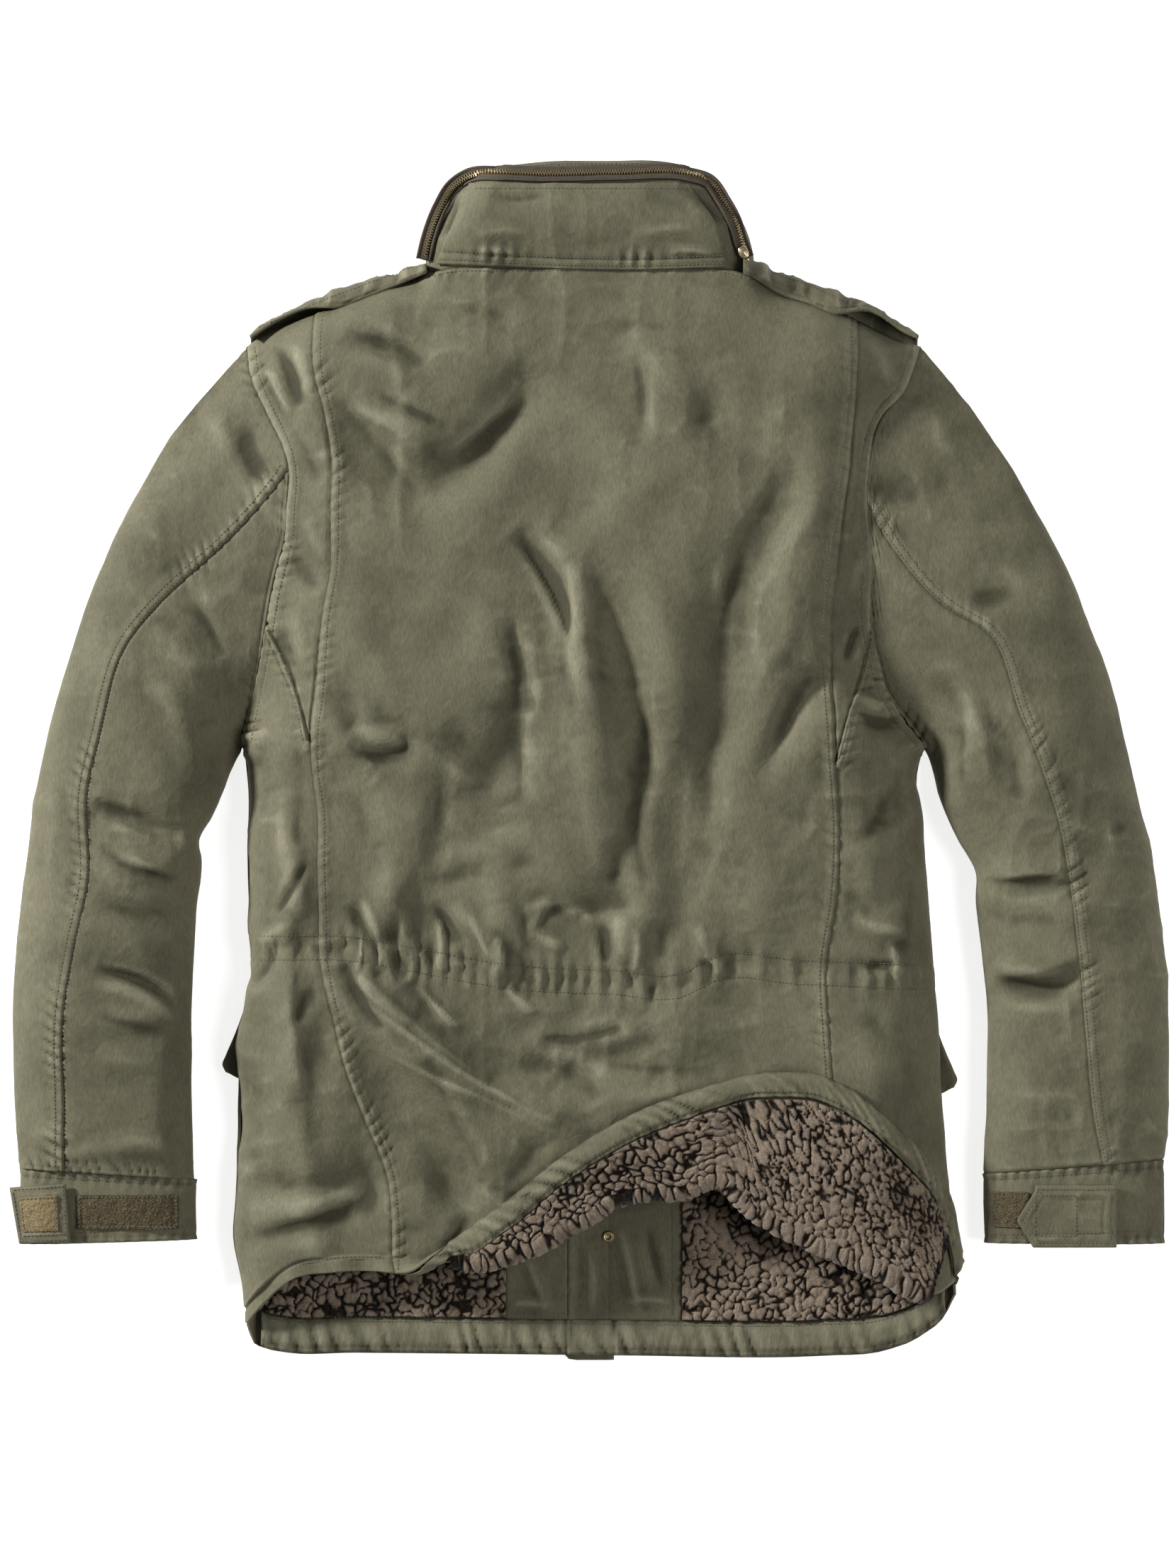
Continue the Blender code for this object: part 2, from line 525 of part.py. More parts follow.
def make_back():
    princess_l = lambda y: across(PRINCESS_L, y)
    princess_r = lambda y: across(PRINCESS_R, y)
    under_l = lambda y: np.where(y > 15, across(UNDERARM_L, y), across(PRINCESS_L, y))
    under_r = lambda y: np.where(y > 1, across(UNDERARM_R, y), across(PRINCESS_R, y))
    arm_l = lambda y: np.where(y > 98, across(ARMHOLE_L, y), across(UNDERARM_L, y))
    arm_r = lambda y: np.where(y > 92, across(ARMHOLE_R, y), across(UNDERARM_R, y))
    top = lambda x: along(TOP_EDGE, x)
    level = lambda height: (lambda x: np.full(np.shape(x), float(height)))
    both = {"left": "upright", "right": "upright"}
    centre = back_place(princess_l, princess_r, top)
    side_l = back_place(left_edge, under_l, level(94))
    side_r = back_place(under_r, right_edge, level(88))
    u_centre, u_left, u_right = np.linspace(0, 1, 19), spread(7, low=True), spread(7, high=True)
    cloth("back_centre", centre, waist_rows(u_centre, 0.66, 0.80, 4, 23, 8, 4), "shell", SHELL, cling=both)
    cloth("back_shoulder_left", back_place(arm_l, princess_l, top, False, level(16)),
          even_rows(np.linspace(0, 1, 19), np.linspace(0, 1, 4)), "shell", SHELL, cling=both)
    cloth("back_shoulder_right", back_place(princess_r, arm_r, top, False, level(3)),
          even_rows(np.linspace(0, 1, 19), np.linspace(0, 1, 4)), "shell", SHELL, cling=both)
    cloth("back_side_left", side_l, waist_rows(u_left, 0.42, 0.62, 2, 14, 8, 4), "shell", SHELL,
          cling={"left": "side", "right": "upright"})
    cloth("back_side_right", side_r, waist_rows(u_right, 0.42, 0.62, 2, 14, 8, 4), "shell", SHELL,
          cling={"left": "upright", "right": "side"})
    return [(side_l, u_left), (centre, u_centre), (side_r, u_right)]


def hem_strip(stations, low, high, inside=0.0):
    """A strip on the back's hem: u counts the stations along it, v from 0 to 1 runs from low to high on the
    turned part, and v below 0 runs in under the flat part."""
    def place(u, v):
        x = np.interp(u, np.arange(len(stations)), stations)
        start = fold_line(x) + TAIL
        y = start + np.minimum(v, 0) * -inside
        back = np.stack([x, y, back_height(x, y) - 1.6 * ease(-v * 2)], axis=-1)
        return np.where((v < 0)[..., None], back, turned_path(x, mix(low, high, np.clip(v, 0, 1))))
    return place


def make_hem(panels):
    """Lining and binding of the back's hem, on the same stations as the panels that they lie on."""
    stations = np.concatenate([place(u, np.ones(len(u)))[:, 0] for place, u in panels])
    stations = stations[np.concatenate([[True], np.diff(stations) > 1.5])]
    bound = stations[(stations > -239) & (stations < 261)]
    lined = stations[(stations > -98) & (stations < 243)]
    cloth("hem_binding_back", hem_strip(bound, BOUND, 1.0),
          even_rows([0.0, 0.5, 1.0], np.arange(len(bound))), "shell", PLY, -(SHELL + GAP + 0.25), 1, (1, 0.5))
    rows = [-1.0, -0.5] + [t / LINED for t in TURN_ROWS if t < LINED] + [1.0]
    cloth("lining_back", hem_strip(lined, 0.0, LINED, inside=40.0),
          even_rows(rows, np.arange(len(lined))), "fleece", LINING, -(SHELL + GAP), 1, (9, -0.5))


# ---- fronts --------------------------------------------------------------------------------------
FRONT_MEET = -16.3       # x where the right front laps over the left one
FACING_LEFT = -60.0      # facings run from here
FACING_RIGHT = 66.0      # to here
FLY = [(-52, -421), (FRONT_MEET, -424), (FRONT_MEET + 3, -427.3), (11, -427.6), (17, -424), (17, 282),
       (-52, 282)]
POCKET_LEFT = [(-232, -372), (-98, -374), (-98, -229), (-226, -229), (-237, -240)]
POCKET_RIGHT = [(232, -378), (98, -378), (98, -242), (226, -242), (238, -252)]


def make_fronts():
    top = lambda x: along(NECKLINE, x) - 0.3
    low = lambda x: along(FRONT_HEM, x)
    meet = lambda y: np.full(np.shape(y), FRONT_MEET)
    rows = np.concatenate([np.linspace(0, 0.42, 14)[:-1], np.linspace(0.42, 1, 9)])
    u_left = np.concatenate([0.12 * spread(5, low=True), np.linspace(0.3, 1, 4)])
    left = front_place(left_edge, meet, top, low)
    right = front_place(meet, right_edge, top, low)
    u_right = 1 - u_left[::-1]
    cloth("front_left", left, even_rows(rows, u_left), "shell", SHELL, 0, -1, (0.7, 0.6),
          {"right": "upright", "left": "side"})
    cloth("front_right", right, even_rows(rows, u_right), "shell", SHELL, 0, -1, (0.3, 0.6),
          {"left": "upright", "right": "side"})
    inner = len(u_left) - 1
    stations = np.concatenate([left(u_left[1:], np.ones(inner))[:, 0],
                               right(u_right[:-2], np.ones(inner - 1))[:, 0]])

    def inner_strip(x_from, x_to, y_from, y_to):
        def place(u, v):
            x = np.interp(u, np.arange(len(stations)), stations) if x_to is None else mix(x_from, x_to, u)
            y = mix(y_from(x), y_to(x), v)
            return np.stack([x, y, front_height(x, y)], axis=-1)
        return place

    band_low = lambda x: along(FRONT_HEM, x) + 1.5
    band_top = lambda x: along(FRONT_HEM, x) + FRONT_BAND
    above = lambda x: along(FRONT_HEM, x) + FRONT_BAND + 1.2
    fleece_end = lambda x: along(FRONT_HEM, x) + FRONT_BAND + 5.0
    deep = lambda x: np.full(np.shape(x), -215.0)
    neck = lambda x: along(NECKLINE, x) - 6
    lift = -(SHELL + GAP)
    cloth("hem_binding_front", inner_strip(None, None, band_low, band_top),
          even_rows(np.linspace(0, 1, 4), np.arange(len(stations))), "shell", PLY, lift - 0.2, -1, (7, 0.5))
    cloth("lining_front_left", inner_strip(-228, FACING_LEFT - 0.6, fleece_end, deep),
          even_rows(np.linspace(0, 1, 5), np.linspace(0, 1, 9)), "fleece", LINING, lift, -1, (0.5, 0.5))
    cloth("lining_front_right", inner_strip(FACING_RIGHT + 0.6, 233, fleece_end, deep),
          even_rows(np.linspace(0, 1, 5), np.linspace(0, 1, 9)), "fleece", LINING, lift, -1, (0.5, 0.5))
    cloth("facing_left", inner_strip(FACING_LEFT, FRONT_MEET - 0.4, above, neck),
          even_rows(np.linspace(0, 1, 9), np.linspace(0, 1, 3)), "shell", TRIM, lift, -1, (0.5, 0.5))
    cloth("facing_right", inner_strip(FRONT_MEET + 0.2, FACING_RIGHT, above, neck),
          even_rows(np.linspace(0, 1, 9), np.linspace(0, 1, 4)), "shell", TRIM, lift, -1, (0.5, 0.5))
    slab("storm_fly", FLY, 0, TRIM, "shell")
    slab("pocket_left", POCKET_LEFT, 0, TRIM, "shell")
    slab("pocket_right", POCKET_RIGHT, 0, TRIM, "shell")
    make_flap("pocket_flap_left", -1, -176)
    make_flap("pocket_flap_right", 1, -187)
    disc("snap", (13, -339), 4.5, front_height(13.0, -339.0) + SHELL + GAP + TRIM + GAP, 2.0, "brass")


def slab(name, outline, low, thick, kind):
    """A flat piece with the given plan."""
    n = len(outline)
    points = [(x, y, low) for x, y in outline] + [(x, y, low + thick) for x, y in outline]
    faces = [list(range(n))[::-1], [n + i for i in range(n)]]
    faces += [[i, (i + 1) % n, n + (i + 1) % n, n + i] for i in range(n)]
    return make_object(name, np.array(points, float), faces, kind)


FLAP_EDGE = [(0.0, 247.5), (0.2, 251), (0.45, 255.5), (0.75, 260.5), (0.9, 262.5), (1.0, 260.5)]  # share
FLAP_INNER = 96.0        # of the way down, how far out the flap reaches; and where it starts
FLAP_LENGTH = 50.0
FLAP_SLOPE = 5.0         # how much shorter the flap is at its outer corner


def make_flap(name, side, top):
    """A pocket flap, flat under the garment and curling up where it sticks out past the side."""
    def place(u, v):
        out = mix(FLAP_INNER, column(FLAP_EDGE, 0, 1, v), u)
        y = top - v * (FLAP_LENGTH - FLAP_SLOPE * ease((out - 250) / 12))
        return np.stack([side * out, y, 6.5 * ease((out - 243) / 20)], axis=-1)
    u = np.array([0, 0.5, 0.84, 0.9, 0.95, 0.98, 1.0])
    cloth(name, place, even_rows([0, 0.2, 0.45, 0.75, 0.9, 0.96, 1.0], u), "shell", TRIM, TRIM)


def disc(name, centre, radius, low, high, kind, sides=24):
    """A snap: a low turned disc with a raised rim."""
    profile = [(0.0, 0.0), (1.0, 0.0), (1.0, 0.45), (0.86, 0.75), (0.6, 0.75), (0.45, 1.0), (0.0, 1.0)]
    turn = np.linspace(0, 2 * np.pi, sides, endpoint=False)
    points = [(centre[0], centre[1], low)]
    for r, h in profile[1:-1]:
        points += [(centre[0] + radius * r * np.cos(t), centre[1] + radius * r * np.sin(t), low + high * h)
                   for t in turn]
    points.append((centre[0], centre[1], low + high))
    faces = [[0, 1 + (i + 1) % sides, 1 + i] for i in range(sides)]
    rings = len(profile) - 2
    for r in range(rings - 1):
        a, b = 1 + r * sides, 1 + (r + 1) * sides
        faces += [[a + i, a + (i + 1) % sides, b + (i + 1) % sides, b + i] for i in range(sides)]
    last = 1 + (rings - 1) * sides
    faces += [[last + i, last + (i + 1) % sides, len(points) - 1] for i in range(sides)]
    return make_object(name, np.array(points, float), faces, kind)


# ---- sleeves and cuffs ---------------------------------------------------------------------------
def sleeve_point(table, side, share, k, under):
    """A point of a sleeve's outer face: share is 0 on its outer fold and 1 on its inner one."""
    ox, oy, ix, iy, crown = (smooth(range(len(table)), [row[c] for row in table], k) for c in range(5))
    armhole = ARMHOLE_L if side < 0 else ARMHOLE_R
    fade = 1 - ease(k / ARMHOLE_REACH)
    y0 = mix(table[0][1], table[0][3], share)
    hole_x = across(armhole, y0)
    bulge = (hole_x - mix(table[0][0], table[0][2], share)) * fade ** (1 + 6 * share ** 2)
    apart = np.where(under, 5.5 * SEAM, 2 * SEAM) * fade
    x = mix(ox, ix, share) + bulge + side * apart
    y = mix(oy, iy, share) + apart * share ** 2
    width = np.hypot(ox - ix, oy - iy)
    near = np.minimum(share, 1 - share) * width
    side_z = mix(SLEEVE_SIDE_Z, mix(SHOULDER_Z, SIDE_Z, share), fade)
    free_top = side_z + (crown - side_z) * rounded(near / (0.46 * width))
    hole_top = np.maximum(column(EDGE_Z, 0, 1, y0), SIDE_Z)
    top = mix(free_top, hole_top, fade)
    top = top + fold_height(x, y) * ease(near / 24) * (1 - fade)
    free_low = side_z * (1 - rounded(near / 22))
    hole_low = front_height(hole_x, y0)
    low = mix(free_low, hole_low, fade)
    return np.stack([x, y, np.where(under, low, top)], axis=-1)


def make_sleeve(name, table, side):
    last = len(table) - 1
    rows = np.concatenate([np.linspace(0, 3, 8)[:-1], np.linspace(3, last, 12)]) / last

    def over(u, v):
        """The sleeve's outer piece: from the back seam over the outer fold to the hidden seam."""
        k = v * last
        seam = smooth(range(len(table)), [row[5] for row in table], k) - SEAM / 2 / 130
        share = np.where(u < 1, seam * (1 - u), (UNDER_SHARE - SEAM / 2 / 130) * (u - 1))
        return sleeve_point(table, side, share, k, u > 1)

    def under(u, v):
        """The inner piece: from the back seam over the inner fold to the hidden seam."""
        k = v * last
        seam = smooth(range(len(table)), [row[5] for row in table], k) + SEAM / 2 / 130
        share = np.where(u < 1, mix(seam, 1, u), 1 - (1 - UNDER_SHARE - SEAM / 2 / 130) * (u - 1))
        return sleeve_point(table, side, share, k, u > 1)

    u_over = np.concatenate([spread(7, high=True), 1 + spread(5, low=True)[1:]])
    u_under = np.concatenate([spread(9, high=True), 1 + spread(4, low=True)[1:]])
    ends = {"top": "upright", "bottom": "upright"}
    cloth("sleeve_outer_" + name, over, even_rows(rows, u_over), "shell", SHELL, 0, 1, (0.0, 0.6), ends)
    cloth("sleeve_under_" + name, under, even_rows(rows, u_under), "shell", SHELL, 0, 1, (0.0, 0.6), ends)


def cuff_height(table, x, y):
    """Height of a cuff's upper face."""
    k = np.clip((table[0][1] - y) / (table[0][1] - table[-1][1]), 0, 1) * (len(table) - 1)
    ox, ix, crown = (smooth(range(len(table)), [row[c] for row in table], k) for c in (0, 2, 4))
    width = np.abs(ix - ox)
    near = np.minimum(np.abs(x - ox), np.abs(ix - x))
    return SLEEVE_SIDE_Z + (crown - SLEEVE_SIDE_Z) * rounded(near / (0.42 * width))


def make_cuff(name, table):
    last = len(table) - 1

    def place(u, v):
        """u runs round the cuff from its outer fold, over the top to 1, and back underneath to 2."""
        k = v * last
        ox, oy, ix, iy, crown = (smooth(range(len(table)), [row[c] for row in table], k) for c in range(5))
        share = np.where(u < 1, u, 2 - u)
        width = np.abs(ix - ox)
        near = np.minimum(share, 1 - share) * width
        top = SLEEVE_SIDE_Z + (crown - SLEEVE_SIDE_Z) * rounded(near / (0.42 * width))
        low = SLEEVE_SIDE_Z * (1 - rounded(near / 22))
        return np.stack([mix(ox, ix, share), mix(oy, iy, share), np.where(u > 1, low, top)], axis=-1)

    over = spread(11, low=True, high=True)
    below = 1 + spread(8, low=True, high=True)[1:]
    u = np.concatenate([over, below])
    u[0], u[-1] = 0.002, 1.998
    cloth("cuff_" + name, place, even_rows(np.linspace(0, 1, 4), u), "shell", SHELL, 0, 1, (0.5, 0.5),
          {"top": "upright", "bottom": "upright"})


def patch(name, corners, height, thick, kind, cells=(5, 3)):
    """A piece that lies on cloth below it, between four corners given round its outline."""
    c = np.array(corners, float)

    def place(u, v):
        x = mix(mix(c[0, 0], c[1, 0], u), mix(c[3, 0], c[2, 0], u), v)
        y = mix(mix(c[0, 1], c[1, 1], u), mix(c[3, 1], c[2, 1], u), v)
        return np.stack([x, y, height(x, y)], axis=-1)
    rows = even_rows(np.linspace(0, 1, cells[1] + 1), np.linspace(0, 1, cells[0] + 1))
    cloth(name, place, rows, kind, thick, thick)


def make_cuffs():
    make_cuff("left", CUFF_L)
    make_cuff("right", CUFF_R)
    # the left tab is folded back and stands off past the outer fold, its hook side up
    tab_z = lambda x, y: CUFF_L[0][4] + 1.2 - 8 * ease((-384 - x) / 32)
    patch("cuff_tab_left", [(-413, -303), (-373, -300), (-370, -341), (-406, -342)], tab_z, TRIM, "shell")
    hook_z = lambda x, y: tab_z(x, y) + TRIM + GAP
    hook = [(-406, -310), (-379, -308), (-378, -333), (-403, -334)]
    patch("cuff_hook_left", hook, hook_z, 1.2, "hook_loop")
    loop_l = lambda x, y: cuff_height(CUFF_L, x, y) + 2 * GAP
    pile_left = [(-364.5, -308), (-293, -308), (-293, -332), (-364.5, -332)]
    patch("cuff_loop_left", pile_left, loop_l, 1.0, "hook_loop", (8, 2))
    loop_r = lambda x, y: cuff_height(CUFF_R, x, y) + 2 * GAP
    pile_right = [(288, -306), (312, -306), (312, -331), (288, -331)]
    patch("cuff_loop_right", pile_right, loop_r, 1.0, "hook_loop", (4, 2))
    over_r = lambda x, y: cuff_height(CUFF_R, x, y) + 4 * GAP + 1.0
    tip = lambda y: 1 - np.abs(y + 326) / 21

    def tab(u, v):
        y = mix(-301.0, -345.0, v)
        x = mix(304 + 13 * np.clip(1 - tip(y), 0, 1), 374.5, u)
        return np.stack([x, y, over_r(x, y)], axis=-1)
    rows = even_rows([0, 0.25, 0.57, 0.8, 1], np.linspace(0, 1, 8))
    cloth("cuff_tab_right", tab, rows, "shell", TRIM, TRIM)


# ---- collar --------------------------------------------------------------------------------------
def collar_height(x, y):
    """Height of the collar's upper layer."""
    low = along(TOP_EDGE, x) + SEAM
    r = np.clip((y - low) / (along(COLLAR_TOP, x) - low), 0, 1)
    left, right = column(COLLAR_SIDE, 0, 1, r), column(COLLAR_SIDE, 0, 2, r)
    near = np.clip(np.minimum(x - left, right - x), 0, None)
    peak = column(COLLAR_BACK_Z, 0, 1, r)
    return SHOULDER_Z + (peak - SHOULDER_Z) * rounded(near / 34)


def make_collar():
    def place(u, v):
        """u runs from the front opening round the left fold to 1, over the back to 2, and round to 3."""
        left, right = column(COLLAR_SIDE, 0, 1, v), column(COLLAR_SIDE, 0, 2, v)
        back = (u >= 1) & (u <= 2)
        x = np.where(u < 1, mix(FRONT_MEET, left, u),
                     np.where(u > 2, mix(right, FRONT_MEET + 1.0, u - 2), mix(left, right, u - 1)))
        base = np.where(back, along(TOP_EDGE, x), along(NECKLINE, x)) + SEAM
        y = mix(base, along(COLLAR_TOP, x), v)
        near = np.clip(np.minimum(x - left, right - x), 0, None)
        peak = column(COLLAR_BACK_Z, 0, 1, v)
        top = SHOULDER_Z + (peak - SHOULDER_Z) * rounded(near / 34)
        low = COLLAR_FRONT_Z + (SHOULDER_Z - COLLAR_FRONT_Z) * (1 - rounded(near / 26))
        return np.stack([x, y, np.where(back, top, low)], axis=-1)

    u = np.concatenate([spread(7, high=True), 1 + spread(15, True, True)[1:], 2 + spread(7, low=True)[1:]])
    cloth("collar_stand", place, even_rows(np.linspace(0, 1, 7), u), "shell", 3.2, 0, 1, (1.5, 0.5),
          {"top": "upright"})

    zip_tape = ribbon(ZIP_PATH, ZIP_WIDTH, lambda x, y: collar_height(x, y) + 4 * GAP)
    rows = even_rows(np.linspace(0, 1, 27), np.linspace(0, 1, 3))
    cloth("collar_zip_tape", zip_tape, rows, "tape", 1.4, 1.4)

    def cover(u, v):
        side_y = mix(410, 353, v)
        left, right = column(COVER_SIDE, 0, 1, side_y), column(COVER_SIDE, 0, 2, side_y)
        x = mix(left, right, u)
        y = mix(410.0, along(COVER_LOW, x), v)
        return np.stack([x, y, collar_height(x, y) + 3 * GAP], axis=-1)
    rows = even_rows(np.linspace(0, 1, 6), spread(13, True, True))
    cloth("collar_cover", cover, rows, "shell", TRIM, TRIM)
    make_zip_end()


def ribbon(route, width, height):
    """A flat strip along a route: u across it, v along it."""
    p = np.array(route, float)
    length = np.concatenate([[0], np.cumsum(np.linalg.norm(np.diff(p, axis=0), axis=1))])

    def place(u, v):
        def centre(t):
            t = np.clip(t, 0, 1) * length[-1]
            return np.stack([smooth(length, p[:, 0], t), smooth(length, p[:, 1], t)], axis=-1)
        ahead = centre(v + 0.01) - centre(v - 0.01)
        ahead /= np.linalg.norm(ahead, axis=-1, keepdims=True)
        mid = centre(v)
        x = mid[..., 0] - ahead[..., 1] * (u - 0.5) * width
        y = mid[..., 1] + ahead[..., 0] * (u - 0.5) * width
        inner_x, inner_y = mix(mid[..., 0], 0, 0.1), mix(mid[..., 1], 380, 0.1)
        return np.stack([x, y, np.maximum(height(x, y), height(inner_x, inner_y) - 10)], axis=-1)
    return place


ZIP_TURN = -64.0         # which way the zip runs at its slider, from +X, in degrees
SLIDER = (109.0, 362.0, 50.9)
SLIDER_SIZE = (9.0, 7.0, 3.4)
PULL_SIZE = (8.0, 4.2, 1.4)
PULL_AWAY = 0.9          # from the slider's end to the pull, which its loop joins
PULL_SAG = -28.0         # how far the pull hangs down towards the collar, in degrees


def make_zip_end():
    """The slider, and the pull that hinges at its end. The pull's origin is on its hinge."""
    ahead = np.array([math.cos(math.radians(ZIP_TURN)), math.sin(math.radians(ZIP_TURN)), 0.0])
    side = np.array([-ahead[1], ahead[0], 0.0])
    up = np.array([0.0, 0.0, 1.0])
    middle = np.array(SLIDER) + up * SLIDER_SIZE[2] / 2
    slider = [ahead * SLIDER_SIZE[0], side * SLIDER_SIZE[1], up * SLIDER_SIZE[2]]
    block("zip_slider", middle, slider, (0, 0, 0))
    sag = math.radians(PULL_SAG)
    out = ahead * math.cos(sag) + up * math.sin(sag)
    over = up * math.cos(sag) - ahead * math.sin(sag)
    hinge = middle + ahead * (SLIDER_SIZE[0] / 2 + PULL_AWAY)
    pull = [out * PULL_SIZE[0], side * PULL_SIZE[1], over * PULL_SIZE[2]]
    block("zip_pull", hinge + out * PULL_SIZE[0] / 2, pull, hinge)


def block(name, middle, edges, origin):
    """A small hard block with the given middle and edges, and its object's origin at origin."""
    ends = [(a, b, c) for c in (-1, 1) for a, b in ((-1, -1), (1, -1), (1, 1), (-1, 1))]
    points = [middle - origin + sum(edge * way / 2 for edge, way in zip(edges, end)) for end in ends]
    faces = [[3, 2, 1, 0], [4, 5, 6, 7], [0, 1, 5, 4], [1, 2, 6, 5], [2, 3, 7, 6], [3, 0, 4, 7]]
    made = make_object(name, np.array(points), faces, "brass")
    made.location = [float(c) * MM for c in origin]


# ---- shoulder straps -----------------------------------------------------------------------------
STRAP_RISE = 17.0        # how far above and below the shoulder fold a strap's bow reaches
STRAP_LEFT = [(-242, 5.0), (-230, 8.4), (-201, 11.0), (-172, 10.5), (-145, 8.7), (-116, 4.5)]  # x, bow's
STRAP_RIGHT = [(118, 9.0), (130, 12.0), (160, 12.0), (184, 15.4), (210, 16.5), (224, 10), (234, 6.0)]  # reach


def make_strap(name, table, x_outer, x_inner):
    """A strap bowed round the shoulder fold. Its upper edge stands off the back at the outer end."""
    def place(u, v):
        x = mix(x_outer, x_inner, u)
        upper = mix(64.0, 114.0, ease((u - 0.2) / 0.3))
        angle = np.radians(mix(upper, mix(-60.0, -100.0, ease(u * 4)), v))
        y = along(TOP_EDGE, x) + 2.6 + along(table, x) * np.cos(angle)
        middle = mix(SHOULDER_Z, 39.0, at_neck(x))
        return np.stack([x, y, middle + STRAP_RISE * np.sin(angle)], axis=-1)
    rows = even_rows(np.linspace(0, 1, 8), np.linspace(0, 1, 13))
    cloth(name, place, rows, "shell", TRIM, 0, 1, (0.5, 0.3))


# ---- build ---------------------------------------------------------------------------------------
def build():
    for old in list(bpy.data.objects):
        bpy.data.objects.remove(old)
    make_hem(make_back())
    make_fronts()
    make_sleeve("left", SLEEVE_L, -1)
    make_sleeve("right", SLEEVE_R, 1)
    make_cuffs()
    make_collar()
    make_strap("shoulder_strap_left", STRAP_LEFT, -242, -116)
    make_strap("shoulder_strap_right", STRAP_RIGHT, 234, 118)


build()
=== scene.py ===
"""Looks of the lined field parka: fine cloth, seams, stitches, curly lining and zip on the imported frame.

Lengths are in millimetres until a mesh is made. The tables and forms are those of the solids.
"""
import json
import math

import bpy
import numpy as np
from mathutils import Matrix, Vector
from mathutils.bvhtree import BVHTree


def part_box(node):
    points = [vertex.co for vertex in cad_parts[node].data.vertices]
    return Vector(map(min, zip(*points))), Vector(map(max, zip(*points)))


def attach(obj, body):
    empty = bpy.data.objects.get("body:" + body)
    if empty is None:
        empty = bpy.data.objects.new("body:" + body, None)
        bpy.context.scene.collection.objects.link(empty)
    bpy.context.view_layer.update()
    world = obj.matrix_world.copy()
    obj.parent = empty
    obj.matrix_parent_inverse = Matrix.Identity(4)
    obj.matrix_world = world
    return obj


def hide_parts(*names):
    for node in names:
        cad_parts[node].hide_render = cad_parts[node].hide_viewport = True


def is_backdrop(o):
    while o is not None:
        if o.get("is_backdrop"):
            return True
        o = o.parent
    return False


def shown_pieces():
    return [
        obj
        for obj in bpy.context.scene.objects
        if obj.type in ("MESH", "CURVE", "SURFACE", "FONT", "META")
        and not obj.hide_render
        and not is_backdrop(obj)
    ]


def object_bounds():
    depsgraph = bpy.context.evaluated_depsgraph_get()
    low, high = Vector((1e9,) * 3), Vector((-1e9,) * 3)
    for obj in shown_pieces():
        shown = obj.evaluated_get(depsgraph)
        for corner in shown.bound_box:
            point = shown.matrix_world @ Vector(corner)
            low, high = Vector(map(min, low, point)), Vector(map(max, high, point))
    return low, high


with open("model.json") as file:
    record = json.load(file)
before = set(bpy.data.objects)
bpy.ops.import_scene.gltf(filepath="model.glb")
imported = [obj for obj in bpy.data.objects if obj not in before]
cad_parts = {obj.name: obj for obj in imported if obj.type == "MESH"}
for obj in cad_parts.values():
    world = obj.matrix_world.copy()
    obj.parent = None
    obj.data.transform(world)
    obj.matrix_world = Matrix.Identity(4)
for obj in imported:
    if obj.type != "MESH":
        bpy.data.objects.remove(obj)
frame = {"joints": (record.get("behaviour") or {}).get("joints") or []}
CAD_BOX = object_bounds()
MM = 0.001
GRAIN = 2.05       # between a visible surface's points
PILE_GRAIN = 1.02  # the same on the curly lining

# ---- cloth and layers ----------------------------------------------------------------------------
TRIM = 2.2               # two plies of shell: flaps, tabs, straps, pocket bags
GAP = 0.35               # between layers that lie on each other
SEAM = 0.1               # between sewn neighbours, which the solids set further apart
LIFT = 2.6               # the fronts lie this far up, on the fly and the pockets below them
BAND = 18.0              # hem binding, as wide as it shows on the turned-up back
FRONT_BAND = 25.0        # the same along the fronts
SIDE_Z = 12.0            # height of the side folds, where back meets front
SHOULDER_Z = 24.0        # height of the shoulder folds
SLEEVE_SIDE_Z = 20.0     # height of a sleeve's two folds
FRONT_ROLL = 15.0        # how far in from a side fold the front still curves up
BACK_ROLL = 56.0         # the same for the back
ARM_ROLL = 78.0          # softer fall of the back towards an armhole
SHOULDER_ROLL = 34.0
TURN_RADIUS = 3.2        # tightness of the shell inside the turned-up hem
TAIL = 12.0              # the back's flat part ends this far short of the hem

# ---- outline of the garment, seen from above (x, y) ----------------------------------------------
ARMHOLE_L = [(-244, 296), (-240, 273), (-229, 247), (-218, 224), (-214, 205), (-215, 180), (-216, 161),
             (-222, 138), (-227, 116), (-230, 98), (-235, 71), (-242, 38), (-247, 12)]
ARMHOLE_R = [(235, 296), (230, 281), (223, 264), (209, 247), (200, 224), (197, 206), (196, 184),
             (198, 161), (199, 138), (198, 116), (200, 89), (205, 70), (211, 50), (223, 32), (239, 12)]
SIDE_L = [(-247, 12), (-244, -22), (-245, -68), (-244, -98), (-241, -134), (-241, -151), (-245, -166),
          (-247, -178), (-250, -204), (-251, -235), (-252, -275), (-253, -310), (-255, -340),
          (-250, -366), (-246, -388), (-245, -402)]
SIDE_R = [(239, 12), (234, -7), (234, -38), (237, -68), (240, -98), (243, -129), (246, -159),
          (248, -179), (249, -204), (251, -235), (254, -265), (255, -310), (257, -335), (261, -360),
          (262, -380)]
PRINCESS_L = [(-194, 330), (-195, 278), (-188, 246), (-183, 215), (-183, 184), (-184, 138), (-190, 102),
              (-192, 75), (-194, 48), (-198, 13), (-197, -10), (-193, -38), (-193, -73), (-192, -106),
              (-191, -142), (-183, -181), (-173, -219), (-158, -258), (-145, -292), (-141, -325),
              (-141, -366)]
